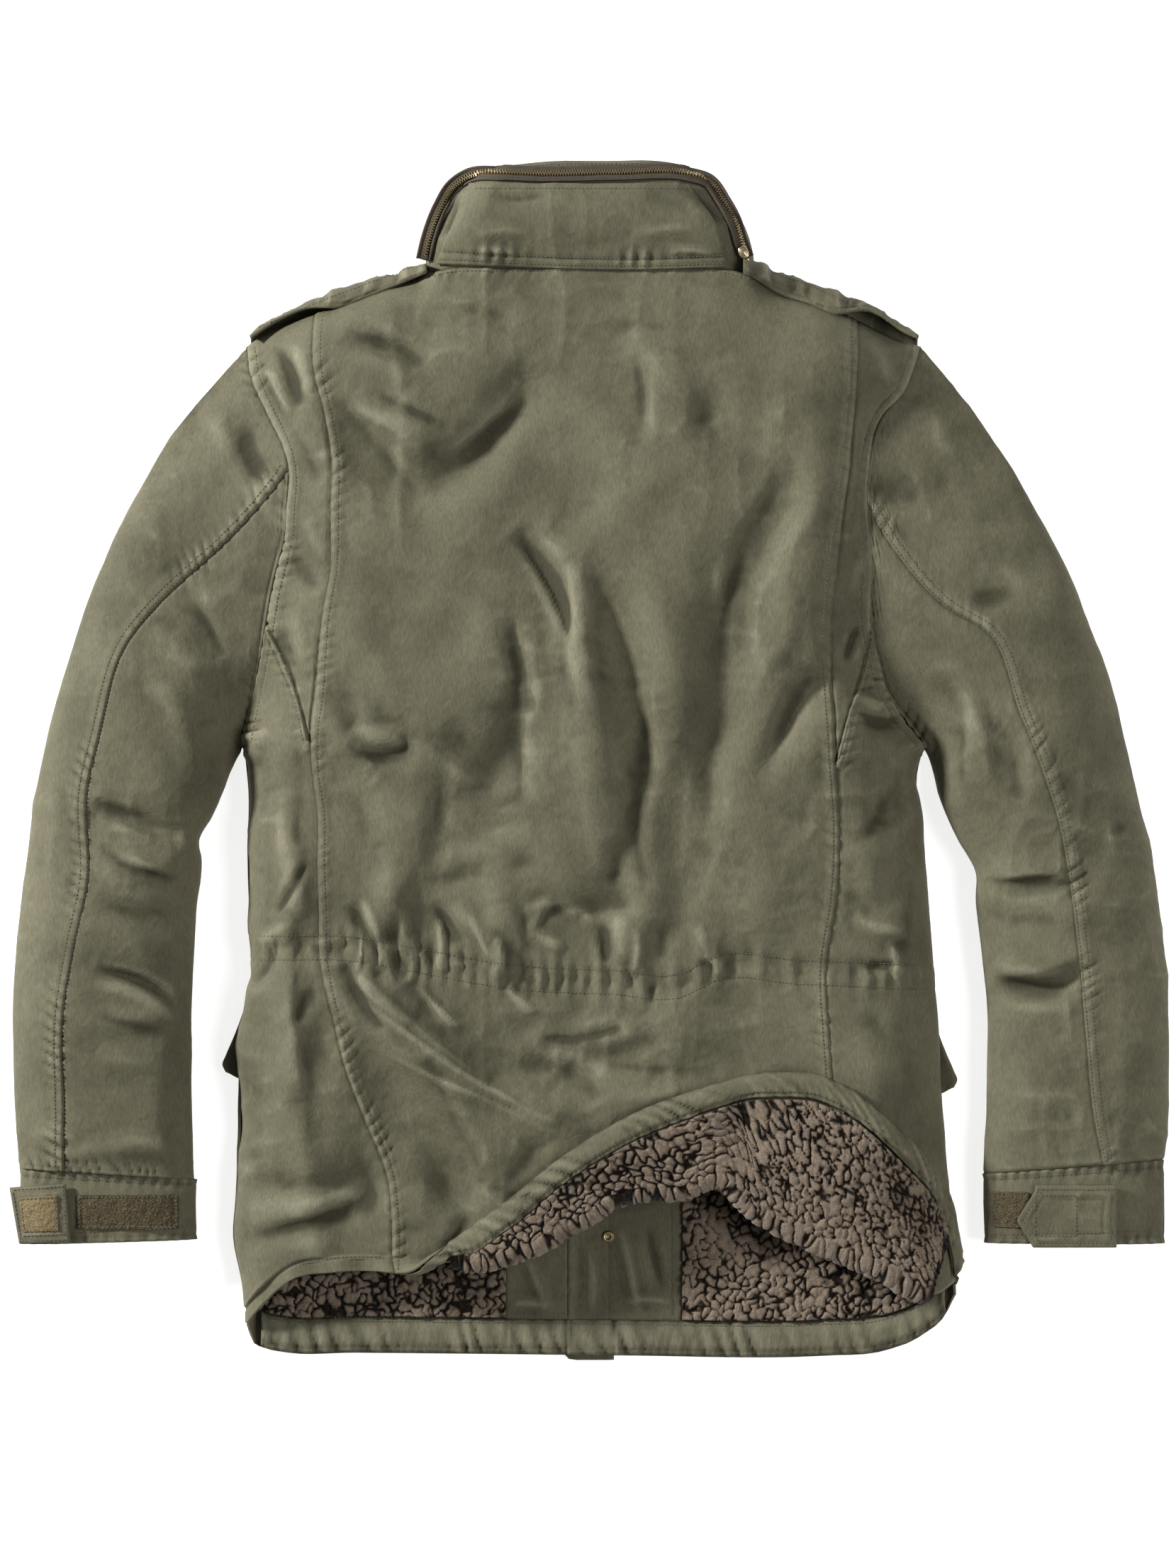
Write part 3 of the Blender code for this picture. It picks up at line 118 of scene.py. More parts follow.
PRINCESS_R = [(189, 330), (188, 246), (182, 200), (175, 150), (171, 116), (170, 70), (172, 33), (174, -1),
              (176, -28), (177, -52), (175, -98), (168, -142), (170, -194), (172, -222), (174, -360)]
UNDERARM_L = [(-230, 98), (-217, 70), (-206, 44), (-199.5, 15)]
UNDERARM_R = [(199, 92), (191, 57), (184, 39), (179, 18), (175, 1)]
TOP_EDGE = [(-244, 296), (-232, 302), (-203, 314.5), (-168, 328), (-137, 339.5), (-117, 346),
            (-102, 350), (-67, 351), (65, 351), (90, 351), (112, 346), (135, 335), (158, 327), (181, 316),
            (206, 304.5), (226, 297.5), (235, 296)]
NECKLINE = [(-244, 296), (-232, 302), (-203, 314.5), (-168, 328), (-137, 339.5), (-124, 338), (-100, 318),
            (-70, 300), (-14, 288), (14, 288), (70, 300), (100, 318), (122, 338), (135, 335), (158, 327),
            (181, 316), (206, 304.5), (226, 297.5), (235, 296)]
FRONT_HEM = [(-245, -402), (-242, -412), (-234, -418), (-219, -421.5), (-168, -422), (-67, -423),
             (24, -424), (171, -424), (209, -421), (239, -408.5), (255, -394), (262, -380)]
HEM_LINE = [(-245, -400), (-240, -393), (-228, -380), (-214, -369), (-185, -363)]
TURN = [  # the turned-up hem: fold x, fold y, edge x, edge y, angle turned through in degrees
    (-150, -362, -150, -362, 0), (-134, -363, -136, -359, 40), (-118, -365, -121, -353, 110),
    (-100, -365, -103, -344, 168), (-57, -359, -67, -318, 180), (-15, -339, -21, -281, 180),
    (21, -317, 19, -256, 180), (66, -312, 65, -236, 180), (92, -304, 110, -222, 180),
    (118, -327, 140, -220, 180), (161, -350, 171, -225, 180), (190, -362, 198, -242, 180),
    (208, -370, 227, -269, 180), (230, -383, 249, -298, 180), (247, -388, 259, -333, 180),
    (262, -380, 264, -362, 180)]
LOBES = [  # the turned-up lining's soft lobes and troughs: x, y, half width, half length, height
    (20, -275, 48, 40, 7), (175, -300, 48, 50, 10), (108, -262, 16, 34, -6)]

# ---- heights along the garment (y, z) ------------------------------------------------------------
CROWN = [(352, 52), (300, 60), (200, 66), (80, 66), (-40, 60), (-140, 54), (-240, 50), (-330, 38),
         (-425, 34)]
EDGE_Z = [(330, 24), (296, 24), (255, 36), (205, 46), (130, 46), (80, 38), (40, 22), (12, SIDE_Z),
          (-440, SIDE_Z)]

# ---- sleeves: outer edge x, y, inner edge x, y, crown z, seam's share of the way across ----------
SLEEVE_L = [
    (-244, 296, -247, 12, 46, 0.31), (-297, 235, -257, -7, 50, 0.35), (-331, 174, -263, -22, 53, 0.315),
    (-357, 114, -270, -38, 54, 0.267), (-377, 53, -279, -55, 54, 0.30), (-392, -7, -277, -72, 52, 0.30),
    (-402, -68, -280, -101, 52, 0.38), (-409, -136, -282, -139, 50, 0.33),
    (-411, -189, -284, -189, 48, 0.287),
    (-410, -245, -283, -245, 46, 0.284), (-407, -289, -282, -297, 42, 0.262)]
SLEEVE_R = [
    (235, 296, 239, 12, 46, 0.39), (285, 235, 246, -7, 50, 0.50), (321, 174, 250, -22, 53, 0.45),
    (349, 114, 256, -38, 54, 0.49), (372, 53, 264, -55, 54, 0.49), (388, -7, 276, -78, 52, 0.495),
    (400, -68, 276, -101, 52, 0.48), (410, -136, 280, -139, 50, 0.483), (413, -189, 284, -189, 48, 0.473),
    (413, -245, 283, -245, 46, 0.428), (410, -283, 281, -293, 42, 0.344)]
UNDER_SHARE = 0.72       # place of the hidden seam on a sleeve's underside
ARMHOLE_REACH = 3.0      # sections over which the armhole's curve fades along the sleeve
CUFF_L = [(-406, -289.5, -281, -297.5, 38), (-407, -318, -281, -318, 36), (-406, -343.5, -280, -340, 34)]
CUFF_R = [(409, -283.5, 281, -293.5, 38), (410, -314, 281, -316, 36), (410, -343, 282, -342.5, 34)]

# ---- collar and its zip --------------------------------------------------------------------------
COLLAR_SIDE = [  # share of the way up, left x, right x
    (0.0, -114, 117), (0.28, -117, 116), (0.52, -111, 110), (0.75, -100, 100), (0.92, -89, 91),
    (1.0, -80, 83)]
COLLAR_TOP = [(-92, 416), (-80, 420), (-50, 425), (11, 427.5), (63, 425), (77, 421), (92, 414)]
COLLAR_BACK_Z = [(0.0, 50), (0.4, 57), (0.8, 54), (1.0, 46)]
COLLAR_FRONT_Z = 6.2
ZIP_PATH = [(-118, 358), (-114, 374), (-106, 395), (-97, 410), (-86, 417), (-62, 418), (-33, 417),
            (19, 418), (71, 417), (84, 413), (95, 398), (102, 385), (107, 369), (111, 359)]
ZIP_WIDTH = 11.0
COVER_SIDE = [(410, -84, 70), (392, -93, 84), (372, -101, 92), (353, -108, 97)]  # y, left x, right x
COVER_LOW = [(-108, 355), (-68, 353), (-16, 350.5), (36, 350), (97, 352)]

# ---- gathers where the drawcord pulls the waist in: x, reach up, reach down, height --------------
CHANNEL = [(-240, -132), (-163, -133), (-120, -141), (-56, -152), (15, -156), (68, -157), (85, -148),
           (150, -149), (240, -153)]
GATHERS = [
    (-226, 10, 26, 3.5), (-214, 22, 30, 3.2), (-190, 8, 10, 2.6), (-179, 12, 18, 3.2), (-168, 24, 10, 3.6),
    (-156, 14, 24, 3.0), (-143, 10, 16, 3.2), (-130, 26, 12, 3.6), (-117, 14, 16, 3.0), (-106, 10, 14, 2.6),
    (-95, 22, 10, 3.6), (-85, 14, 12, 3.2), (-75, 12, 14, 2.8), (-65, 20, 12, 3.6), (-55, 12, 10, 3.2),
    (-45, 16, 12, 3.4), (-35, 14, 10, 3.6), (-25, 24, 10, 3.2), (-15, 14, 12, 3.6), (-5, 12, 10, 3.2),
    (7, 20, 12, 3.6), (21, 14, 16, 3.0), (37, 22, 12, 3.6), (60, 16, 12, 3.0), (78, 20, 8, 3.4),
    (91, 24, 10, 2.6), (121, 16, 10, 2.2), (143, 14, 12, 2.4), (184, 10, 12, 3.0), (197, 8, 12, 3.2),
    (210, 10, 10, 3.0), (221, 12, 12, 3.2)]
GATHER_HALF = 4.0

# ---- the largest folds, as soft ridges and troughs: three points of a curve, half width, height --
FOLDS = [
    (-190, 258, -160, 205, -118, 190, 20, -9), (-118, 190, -85, 210, -46, 268, 19, -10),
    (-178, 300, -150, 292, -120, 290, 13, -5), (-130, 262, -112, 245, -104, 225, 20, 6),
    (-20, 305, 30, 300, 82, 245, 17, -7), (-60, 280, -40, 260, -30, 215, 26, -5),
    (40, 290, 60, 250, 85, 215, 17, 6), (-55, 165, -25, 140, -18, 85, 17, -9),
    (-22, 140, 8, 60, 8, -60, 17, 10), (0, 120, 35, 60, 30, -10, 16, -8),
    (40, 120, 66, 60, 58, 10, 18, 6), (86, 130, 96, 60, 70, 0, 16, -6),
    (150, 190, 125, 80, 80, -20, 20, -9), (165, 230, 150, 130, 112, 40, 18, 8),
    (168, 62, 145, 30, 122, -8, 11, -8), (-190, 40, -165, 5, -150, -5, 12, 7),
    (-165, 20, -150, 2, -128, 12, 8, -6), (-95, -20, -60, -25, -46, 30, 16, -7),
    (-118, -66, -80, -55, -42, -42, 13, -7), (-130, -70, -142, -100, -148, -125, 12, 7),
    (-64, -100, -60, -130, -66, -150, 9, 5), (-30, -98, -10, -112, 25, -104, 10, -7),
    (30, -20, 38, -80, 34, -130, 15, 6), (62, -20, 68, -80, 66, -135, 15, -6),
    (-90, -210, -30, -232, 40, -205, 16, -7), (-30, -195, 5, -205, 28, -190, 9, 5),
    (-163, -160, -140, -205, -95, -240, 14, 7), (-150, -220, -120, -275, -85, -320, 18, -9),
    (-110, -230, -70, -270, -55, -310, 17, 7), (-215, -190, -208, -260, -190, -330, 13, 6),
    (-245, -300, -200, -310, -150, -298, 12, -6), (212, 5, 228, -60, 205, -110, 12, -7),
    (225, -70, 235, -110, 222, -140, 9, 5), (-235, 10, -215, -60, -225, -110, 10, -6),
    (-212, -30, -205, -90, -214, -130, 9, 6),
    (-345, -40, -310, -45, -285, -62, 13, -7), (-350, -75, -318, -80, -285, -70, 12, 7),
    (-350, -140, -330, -150, -290, -165, 11, -6), (-352, -185, -320, -185, -285, -180, 10, 5),
    (-325, 90, -290, 70, -262, 20, 16, -7), (-300, 60, -285, 30, -275, -10, 13, 6),
    (-375, -280, -330, -272, -290, -280, 8, 4), (246, 70, 262, 40, 268, -10, 13, 8),
    (228, 60, 240, 20, 255, -20, 10, -7), (280, -78, 310, -84, 338, -76, 9, 6),
    (282, -100, 312, -100, 340, -92, 9, -6), (286, -158, 318, -166, 350, -150, 8, -6),
    (286, -148, 310, -152, 350, -138, 8, 5), (330, 150, 300, 135, 262, 128, 18, -6)]


# ---- curves --------------------------------------------------------------------------------------
def smooth(keys, values, at):
    """A smooth curve through (key, value) pairs, level beyond its ends."""
    order = np.argsort(keys)
    k = np.asarray(keys, float)[order]
    v = np.asarray(values, float)[order]
    step = np.diff(k)
    slope = np.diff(v) / step
    inner = (slope[:-1] * step[1:] + slope[1:] * step[:-1]) / (step[1:] + step[:-1])
    tangent = np.concatenate([[slope[0]], inner, [slope[-1]]])
    at = np.clip(at, k[0], k[-1])
    i = np.clip(np.searchsorted(k, at) - 1, 0, len(k) - 2)
    h = step[i]
    q = (at - k[i]) / h
    return (v[i] * (1 + 2 * q) * (1 - q) ** 2 + v[i + 1] * q * q * (3 - 2 * q)
            + h * (tangent[i] * q * (1 - q) ** 2 - tangent[i + 1] * q * q * (1 - q)))


def column(rows, key, value, at):
    """One column of a table, read as a smooth function of another."""
    return smooth([row[key] for row in rows], [row[value] for row in rows], at)


def across(line, y):
    """The x of a line that runs down the garment, at y."""
    return column(line, 1, 0, y)


def along(line, x):
    """The y of a line that runs across the garment, at x."""
    return column(line, 0, 1, x)


def ease(q):
    q = np.clip(q, 0, 1)
    return q * q * (3 - 2 * q)


def rounded(q):
    """0 to 1 as a quarter circle, upright where it starts."""
    q = np.clip(q, 0, 1)
    return np.sqrt(1 - (1 - q) ** 2)


def fallen(q):
    """0 to 1 as a parabola, for cloth that slopes into a seam."""
    return 1 - (1 - np.clip(q, 0, 1)) ** 2


def mix(a, b, q):
    return a + (b - a) * q


def curve_of(x0, y0, x1, y1, x2, y2):
    """Shares of the way along a curve through the ends, pulled to the middle point, and its x and y there."""
    q = np.linspace(0, 1, 9)
    cx = (1 - q) ** 2 * x0 + 2 * q * (1 - q) * x1 + q * q * x2
    cy = (1 - q) ** 2 * y0 + 2 * q * (1 - q) * y1 + q * q * y2
    return q, cx, cy


def lengths(p, axis=0):
    """How far along its rows or columns each point of a line or grid lies."""
    gaps = np.linalg.norm(np.diff(p, axis=axis), axis=-1)
    start = np.zeros_like(np.take(gaps, [0], axis=axis))
    return np.concatenate([start, np.cumsum(gaps, axis=axis)], axis=axis)


def spread(n, low=False, high=False):
    """n shares from 0 to 1, closer together at an end that curves."""
    q = np.linspace(0, 1, n)
    if low and high:
        return (1 - np.cos(np.pi * q)) / 2
    if low:
        return 1 - np.cos(np.pi / 2 * q)
    if high:
        return np.sin(np.pi / 2 * q)
    return q


# ---- the form that the body's cloth takes --------------------------------------------------------
def left_edge(y):
    return np.where(y > 12, across(ARMHOLE_L, y), across(SIDE_L, y))


def right_edge(y):
    return np.where(y > 12, across(ARMHOLE_R, y), across(SIDE_R, y))


def fold_height(x, y):
    total = np.zeros(np.broadcast(x, y).shape)
    for *points, half, height in FOLDS:
        q, cx, cy = curve_of(*points)
        best = np.full(total.shape, 1e9)
        place = np.zeros(total.shape)
        for i in range(len(q) - 1):
            dx, dy = cx[i + 1] - cx[i], cy[i + 1] - cy[i]
            s = np.clip(((x - cx[i]) * dx + (y - cy[i]) * dy) / (dx * dx + dy * dy), 0, 1)
            d = (x - cx[i] - s * dx) ** 2 + (y - cy[i] - s * dy) ** 2
            nearer = d < best
            best = np.where(nearer, d, best)
            place = np.where(nearer, q[i] + s * (q[i + 1] - q[i]), place)
        taper = np.sqrt(np.sin(np.pi * (0.06 + 0.88 * place)))
        total += height * taper * np.exp(-best / half ** 2)
    return total


def gather_height(x, y):
    away = y - along(CHANNEL, x)
    total = np.zeros(np.broadcast(x, y).shape)
    for place, up, down, height in GATHERS:
        reach = np.where(away > 0, up, down)
        total += height * np.exp(-((x - place) / GATHER_HALF) ** 2 - (away / reach) ** 2)
    pinch = -3.0 * np.exp(-(away / 9) ** 2)
    return total + pinch


def at_neck(x):
    """1 along the collar seam, 0 along the shoulders."""
    return ease((140 - np.abs(x - 3)) / 34)


def back_height(x, y):
    """Height of the back's outer face."""
    crown = column(CROWN, 0, 1, y)
    edge = np.maximum(column(EDGE_Z, 0, 1, y), SIDE_Z)
    arm = ease(y / 50)
    z = crown
    rise = 1.0
    for inward in (x - left_edge(y), right_edge(y) - x):
        f = arm * fallen(inward / ARM_ROLL) + (1 - arm) * rounded(inward / BACK_ROLL)
        z = z - (crown - edge) * (1 - f)
        rise = rise * ease(inward / 22)
    below = along(TOP_EDGE, x) - y
    neck = at_neck(x)
    top = mix(SHOULDER_Z, 50.0, neck)
    f = mix(rounded(below / SHOULDER_ROLL), fallen(below / SHOULDER_ROLL), neck)
    z = top + (z - top) * f
    return z + (fold_height(x, y) + gather_height(x, y)) * rise * ease(below / 24)


def front_height(x, y):
    """Height of the fronts' outer face, which lies down."""
    arm = ease((y - 12) / 30)
    z = LIFT
    for inward in (x - left_edge(y), right_edge(y) - x):
        z = z + (SIDE_Z - SEAM - LIFT) * (1 - arm) * (1 - rounded(inward / FRONT_ROLL))
    below = along(TOP_EDGE, x) - y
    return z + (SHOULDER_Z - SEAM - LIFT) * (1 - at_neck(x)) * (1 - rounded(below / 20))


def fold_line(x):
    """y of the hem: the cloth's own edge on the left, the turned-up fold on the right."""
    return along(HEM_LINE + [row[:2] for row in TURN], x)


def band_share(x):
    """The share of the way along the hem's path at which the lining ends and the binding starts."""
    length = np.hypot(x - column(TURN, 0, 2, x), fold_line(x) + TAIL - column(TURN, 0, 3, x))
    turned = ease(column(TURN, 0, 4, x) / 150)
    return 1 - 0.6 * np.minimum(mix(0.9, BAND / np.maximum(length, 1), turned), 0.9)


def turned_path(x, t):
    """The back's outer face past its flat part, at fold place x: t is 0 there, 0.4 where the bend ends, 0.8
    where the binding starts and 1 at the cloth's edge."""
    binding = band_share(x)
    laid = np.where(t < 0.8, mix(0.4, binding, (t - 0.4) / 0.4), mix(binding, 1, (t - 0.8) / 0.2))
    q = np.where(t < 0.4, t, laid)
    edge_x = np.where(x < TURN[0][0], x, column(TURN, 0, 2, x))
    start_y = fold_line(x) + TAIL
    edge_y = np.where(x < TURN[0][0], fold_line(x), column(TURN, 0, 3, x))
    angle = np.radians(np.clip(column(TURN, 0, 4, x), 0, 180))
    turned = angle / np.pi
    ahead = np.stack([x - edge_x, start_y - np.maximum(edge_y, start_y + 8)], axis=-1)
    ahead /= np.linalg.norm(ahead, axis=-1, keepdims=True)
    first = mix(4.0, np.pi * TURN_RADIUS, turned)
    radius = first / np.maximum(angle, 0.02)
    bend = np.clip(q / 0.4, 0, 1) * np.maximum(angle, 0.02)
    rest = np.clip((q - 0.4) / 0.6, 0, 1)
    px = x + ahead[..., 0] * radius * np.sin(bend)
    py = start_y + ahead[..., 1] * radius * np.sin(bend)
    rise = radius * (1 - np.cos(bend))
    free = TAIL - 4.0 + 2.0 * turned
    loose_x = px + ahead[..., 0] * np.cos(angle) * free * rest
    loose_y = py + ahead[..., 1] * np.cos(angle) * free * rest
    loose_z = back_height(x, start_y) + rise + np.sin(angle) * free * rest
    laid_x = mix(px, edge_x, rest)
    laid_y = mix(py, edge_y, rest)
    lobes = sum(height * np.exp(-((laid_x - cx) / half) ** 2 - ((laid_y - cy) / long) ** 2)
                for cx, cy, half, long, height in LOBES)
    over = back_height(laid_x, laid_y) + mix(2 * TURN_RADIUS, 2.8, rest) + lobes * ease(rest * 2)
    laid_z = np.where(rest > 0, over, back_height(x, start_y) + rise)
    full = ease((angle - 2.6) / 0.5)
    loose = np.stack([loose_x, loose_y, loose_z], axis=-1)
    return mix(loose, np.stack([laid_x, laid_y, laid_z], axis=-1), full[..., None])


def panel_place(left, right, top, bottom):
    """Plan of a panel between two lines: (u, v) from 0 to 1 across and down, as x and y."""
    def place(u, v):
        y = np.full(np.broadcast(u, v).shape, 100.0)
        for _ in range(6):
            inset = np.minimum(SEAM / 2, (right(y) - left(y)) * 0.2)
            x = mix(left(y) + inset, right(y) - inset, u)
            y = mix(top(x), bottom(x), v)
        return x, y
    return place


def back_place(left, right, top, to_hem=True, bottom=None):
    """(u, v) to points on the back's outer face. v from 1 to 2 runs on over the hem."""
    plan = panel_place(left, right, top, bottom or (lambda x: fold_line(x) + TAIL))

    def place(u, v):
        x, y = plan(u, np.clip(v, 0, 1))
        flat = np.stack([x, y, back_height(x, y)], axis=-1)
        if not to_hem:
            return flat
        return np.where((v > 1)[..., None], turned_path(x, np.clip(v - 1, 0, 1)), flat)
    return place


def front_place(left, right, top, bottom):
    plan = panel_place(left, right, top, bottom)

    def place(u, v):
        x, y = plan(u, v)
        return np.stack([x, y, front_height(x, y)], axis=-1)
    return place


def sleeve_point(table, side, share, k, under):
    """A point of a sleeve's outer face: share is 0 on its outer fold and 1 on its inner one."""
    ox, oy, ix, iy, crown = columns_at(table, k, range(5))
    armhole = ARMHOLE_L if side < 0 else ARMHOLE_R
    fade = 1 - ease(k / ARMHOLE_REACH)
    y0 = mix(table[0][1], table[0][3], share)
    hole_x = across(armhole, y0)
    bulge = (hole_x - mix(table[0][0], table[0][2], share)) * fade ** (1 + 6 * share ** 2)
    apart = np.where(under, 5.5 * SEAM, 2 * SEAM) * fade
    x = mix(ox, ix, share) + bulge + side * apart
    y = mix(oy, iy, share) + apart * share ** 2
    width = np.hypot(ox - ix, oy - iy)
    near = np.minimum(share, 1 - share) * width
    side_z = mix(SLEEVE_SIDE_Z, mix(SHOULDER_Z, SIDE_Z, share), fade)
    free_top = side_z + (crown - side_z) * rounded(near / (0.46 * width))
    hole_top = np.maximum(column(EDGE_Z, 0, 1, y0), SIDE_Z)
    top = mix(free_top, hole_top, fade)
    top = top + fold_height(x, y) * ease(near / 24) * (1 - fade)
    free_low = side_z * (1 - rounded(near / 22))
    hole_low = front_height(hole_x, y0)
    low = mix(free_low, hole_low, fade)
    return np.stack([x, y, np.where(under, low, top)], axis=-1)


def cuff_top(crown, near, width):
    return SLEEVE_SIDE_Z + (crown - SLEEVE_SIDE_Z) * rounded(near / (0.42 * width))


def columns_at(table, k, which):
    """Some columns of a table at place k, counted in its rows."""
    return (smooth(range(len(table)), [row[c] for row in table], k) for c in which)


def cuff_height(table, x, y):
    """Height of a cuff's upper face."""
    k = np.clip((table[0][1] - y) / (table[0][1] - table[-1][1]), 0, 1) * (len(table) - 1)
    ox, ix, crown = columns_at(table, k, (0, 2, 4))
    near = np.minimum(np.abs(x - ox), np.abs(ix - x))
    return cuff_top(crown, near, np.abs(ix - ox))


# ---- noise and seams ------------------------------------------------------------------------------
LATTICE = np.random.default_rng(11).random((256, 256))


def noise(x, y, size, shift=0):
    """Smooth noise from -1 to 1 whose lumps are about size across."""
    gx, gy = x / size + shift * 17.3, y / size + shift * 9.1
    ix, iy = np.floor(gx).astype(int), np.floor(gy).astype(int)
    fx, fy = gx - ix, gy - iy
    fx = fx ** 3 * (fx * (6 * fx - 15) + 10)
    fy = fy ** 3 * (fy * (6 * fy - 15) + 10)
    ix, iy, jx, jy = ix % 256, iy % 256, (ix + 1) % 256, (iy + 1) % 256
    low = mix(LATTICE[ix, iy], LATTICE[jx, iy], fx)
    high = mix(LATTICE[ix, jy], LATTICE[jx, jy], fx)
    return mix(low, high, fy) * 2 - 1


def crumple(x, y, size, shift=0):
    """Noise with narrow crests, as creased cotton has."""
    return 1 - 2 * np.abs(noise(x, y, size, shift)) ** 0.7


def smoothed(grid, reach):
    """Mean of a grid's values over a square, reach points to each side."""
    wide = 2 * reach + 1
    for axis in (0, 1):
        pads = [(0, 0), (0, 0)]
        pads[axis] = (reach + 1, reach)
        total = np.cumsum(np.pad(grid, pads, mode="edge"), axis=axis)
        end = total.shape[axis]
        sums = np.take(total, range(wide, end), axis=axis) - np.take(total, range(end - wide), axis=axis)
        grid = sums / wide
    return grid


def near_line(x, y, line, reach):
    """Signed distance from a line of points, and how far along it, where that is within reach."""
    p = np.asarray(line, float)
    far = np.full(x.shape, 1e3)
    along_it = np.zeros(x.shape)
    start = 0.0
    for (ax, ay), (bx, by) in zip(p[:-1], p[1:]):
        dx, dy = bx - ax, by - ay
        length = math.hypot(dx, dy)
        near = (x > min(ax, bx) - reach) & (x < max(ax, bx) + reach)
        near &= (y > min(ay, by) - reach) & (y < max(ay, by) + reach)
        if near.any():
            s = np.clip(((x[near] - ax) * dx + (y[near] - ay) * dy) / length ** 2, 0, 1)
            ox, oy = x[near] - ax - s * dx, y[near] - ay - s * dy
            d = np.hypot(ox, oy) * np.where(dx * oy - dy * ox >= 0, 1, -1)
            closer = np.abs(d) < np.abs(far[near])
            far[near] = np.where(closer, d, far[near])
            along_it[near] = np.where(closer, start + s * length, along_it[near])
        start += length
    return far, along_it


def seam(x, y, line, side=1, band=6.5, step=0.55, pucker=0.8, wave=8.0, seed=1):
    """Relief of a lapped and topstitched seam: its raised band is on the side given, and it puckers."""
    d, s = near_line(x, y, line, 26)
    e = d * side
    raised = step * ease((e + 0.5) / 1.0) * (1 - ease((e - band) / 3.0))
    edge = 0.75 * np.exp(-((e - 1.2) / 0.9) ** 2) - 1.7 * np.exp(-((e + 0.9) / 0.9) ** 2)
    stitched = -0.55 * np.exp(-((e - band + 1.2) / 0.8) ** 2)
    uneven = np.clip(0.6 + 1.1 * noise(s, s * 0 + seed * 3, 34, seed), 0.0, 1.5)
    phase = np.pi * (s + 0.5 * e) / wave + 2.0 * noise(s, s * 0 + seed * 7, 23, seed)
    rung = 1 - 2.3 * np.exp(-(np.sin(phase) / 0.42) ** 2)
    fade = ease((e + 1.5) / 2.5) * np.exp(-(np.clip(e - band, 0, None) / (2.5 + 2.5 * uneven)) ** 2)
    other = 0.45 * np.sin(phase * 1.3 + 1) * np.exp(-((e + 5) / 5) ** 2) * (e < 0)
    return raised + edge + stitched + 0.7 * pucker * uneven * (rung * fade + other)


def sampled(line, key, low, high, step=4.0):
    """Points of a line of a table between two values of its key, x (0) or y (1)."""
    at = np.linspace(low, high, max(2, int(abs(high - low) / step)))
    if key == 1:
        return np.stack([across(line, at), at], axis=-1)
    return np.stack([at, along(line, at)], axis=-1)


def sleeve_seam(table, side, top=0.0):
    """The sleeve's back seam, seen from above."""
    k = np.linspace(top, len(table) - 1, 90)
    share, = columns_at(table, k, (5,))
    return sleeve_point(table, side, share, k, False)[:, :2]


def shifted(line, away):
    """A line moved sideways, to its left where away is positive."""
    p = np.asarray(line, float)
    ahead = np.gradient(p, axis=0)
    ahead /= np.linalg.norm(ahead, axis=1, keepdims=True)
    return p + np.stack([-ahead[:, 1], ahead[:, 0]], axis=-1) * away


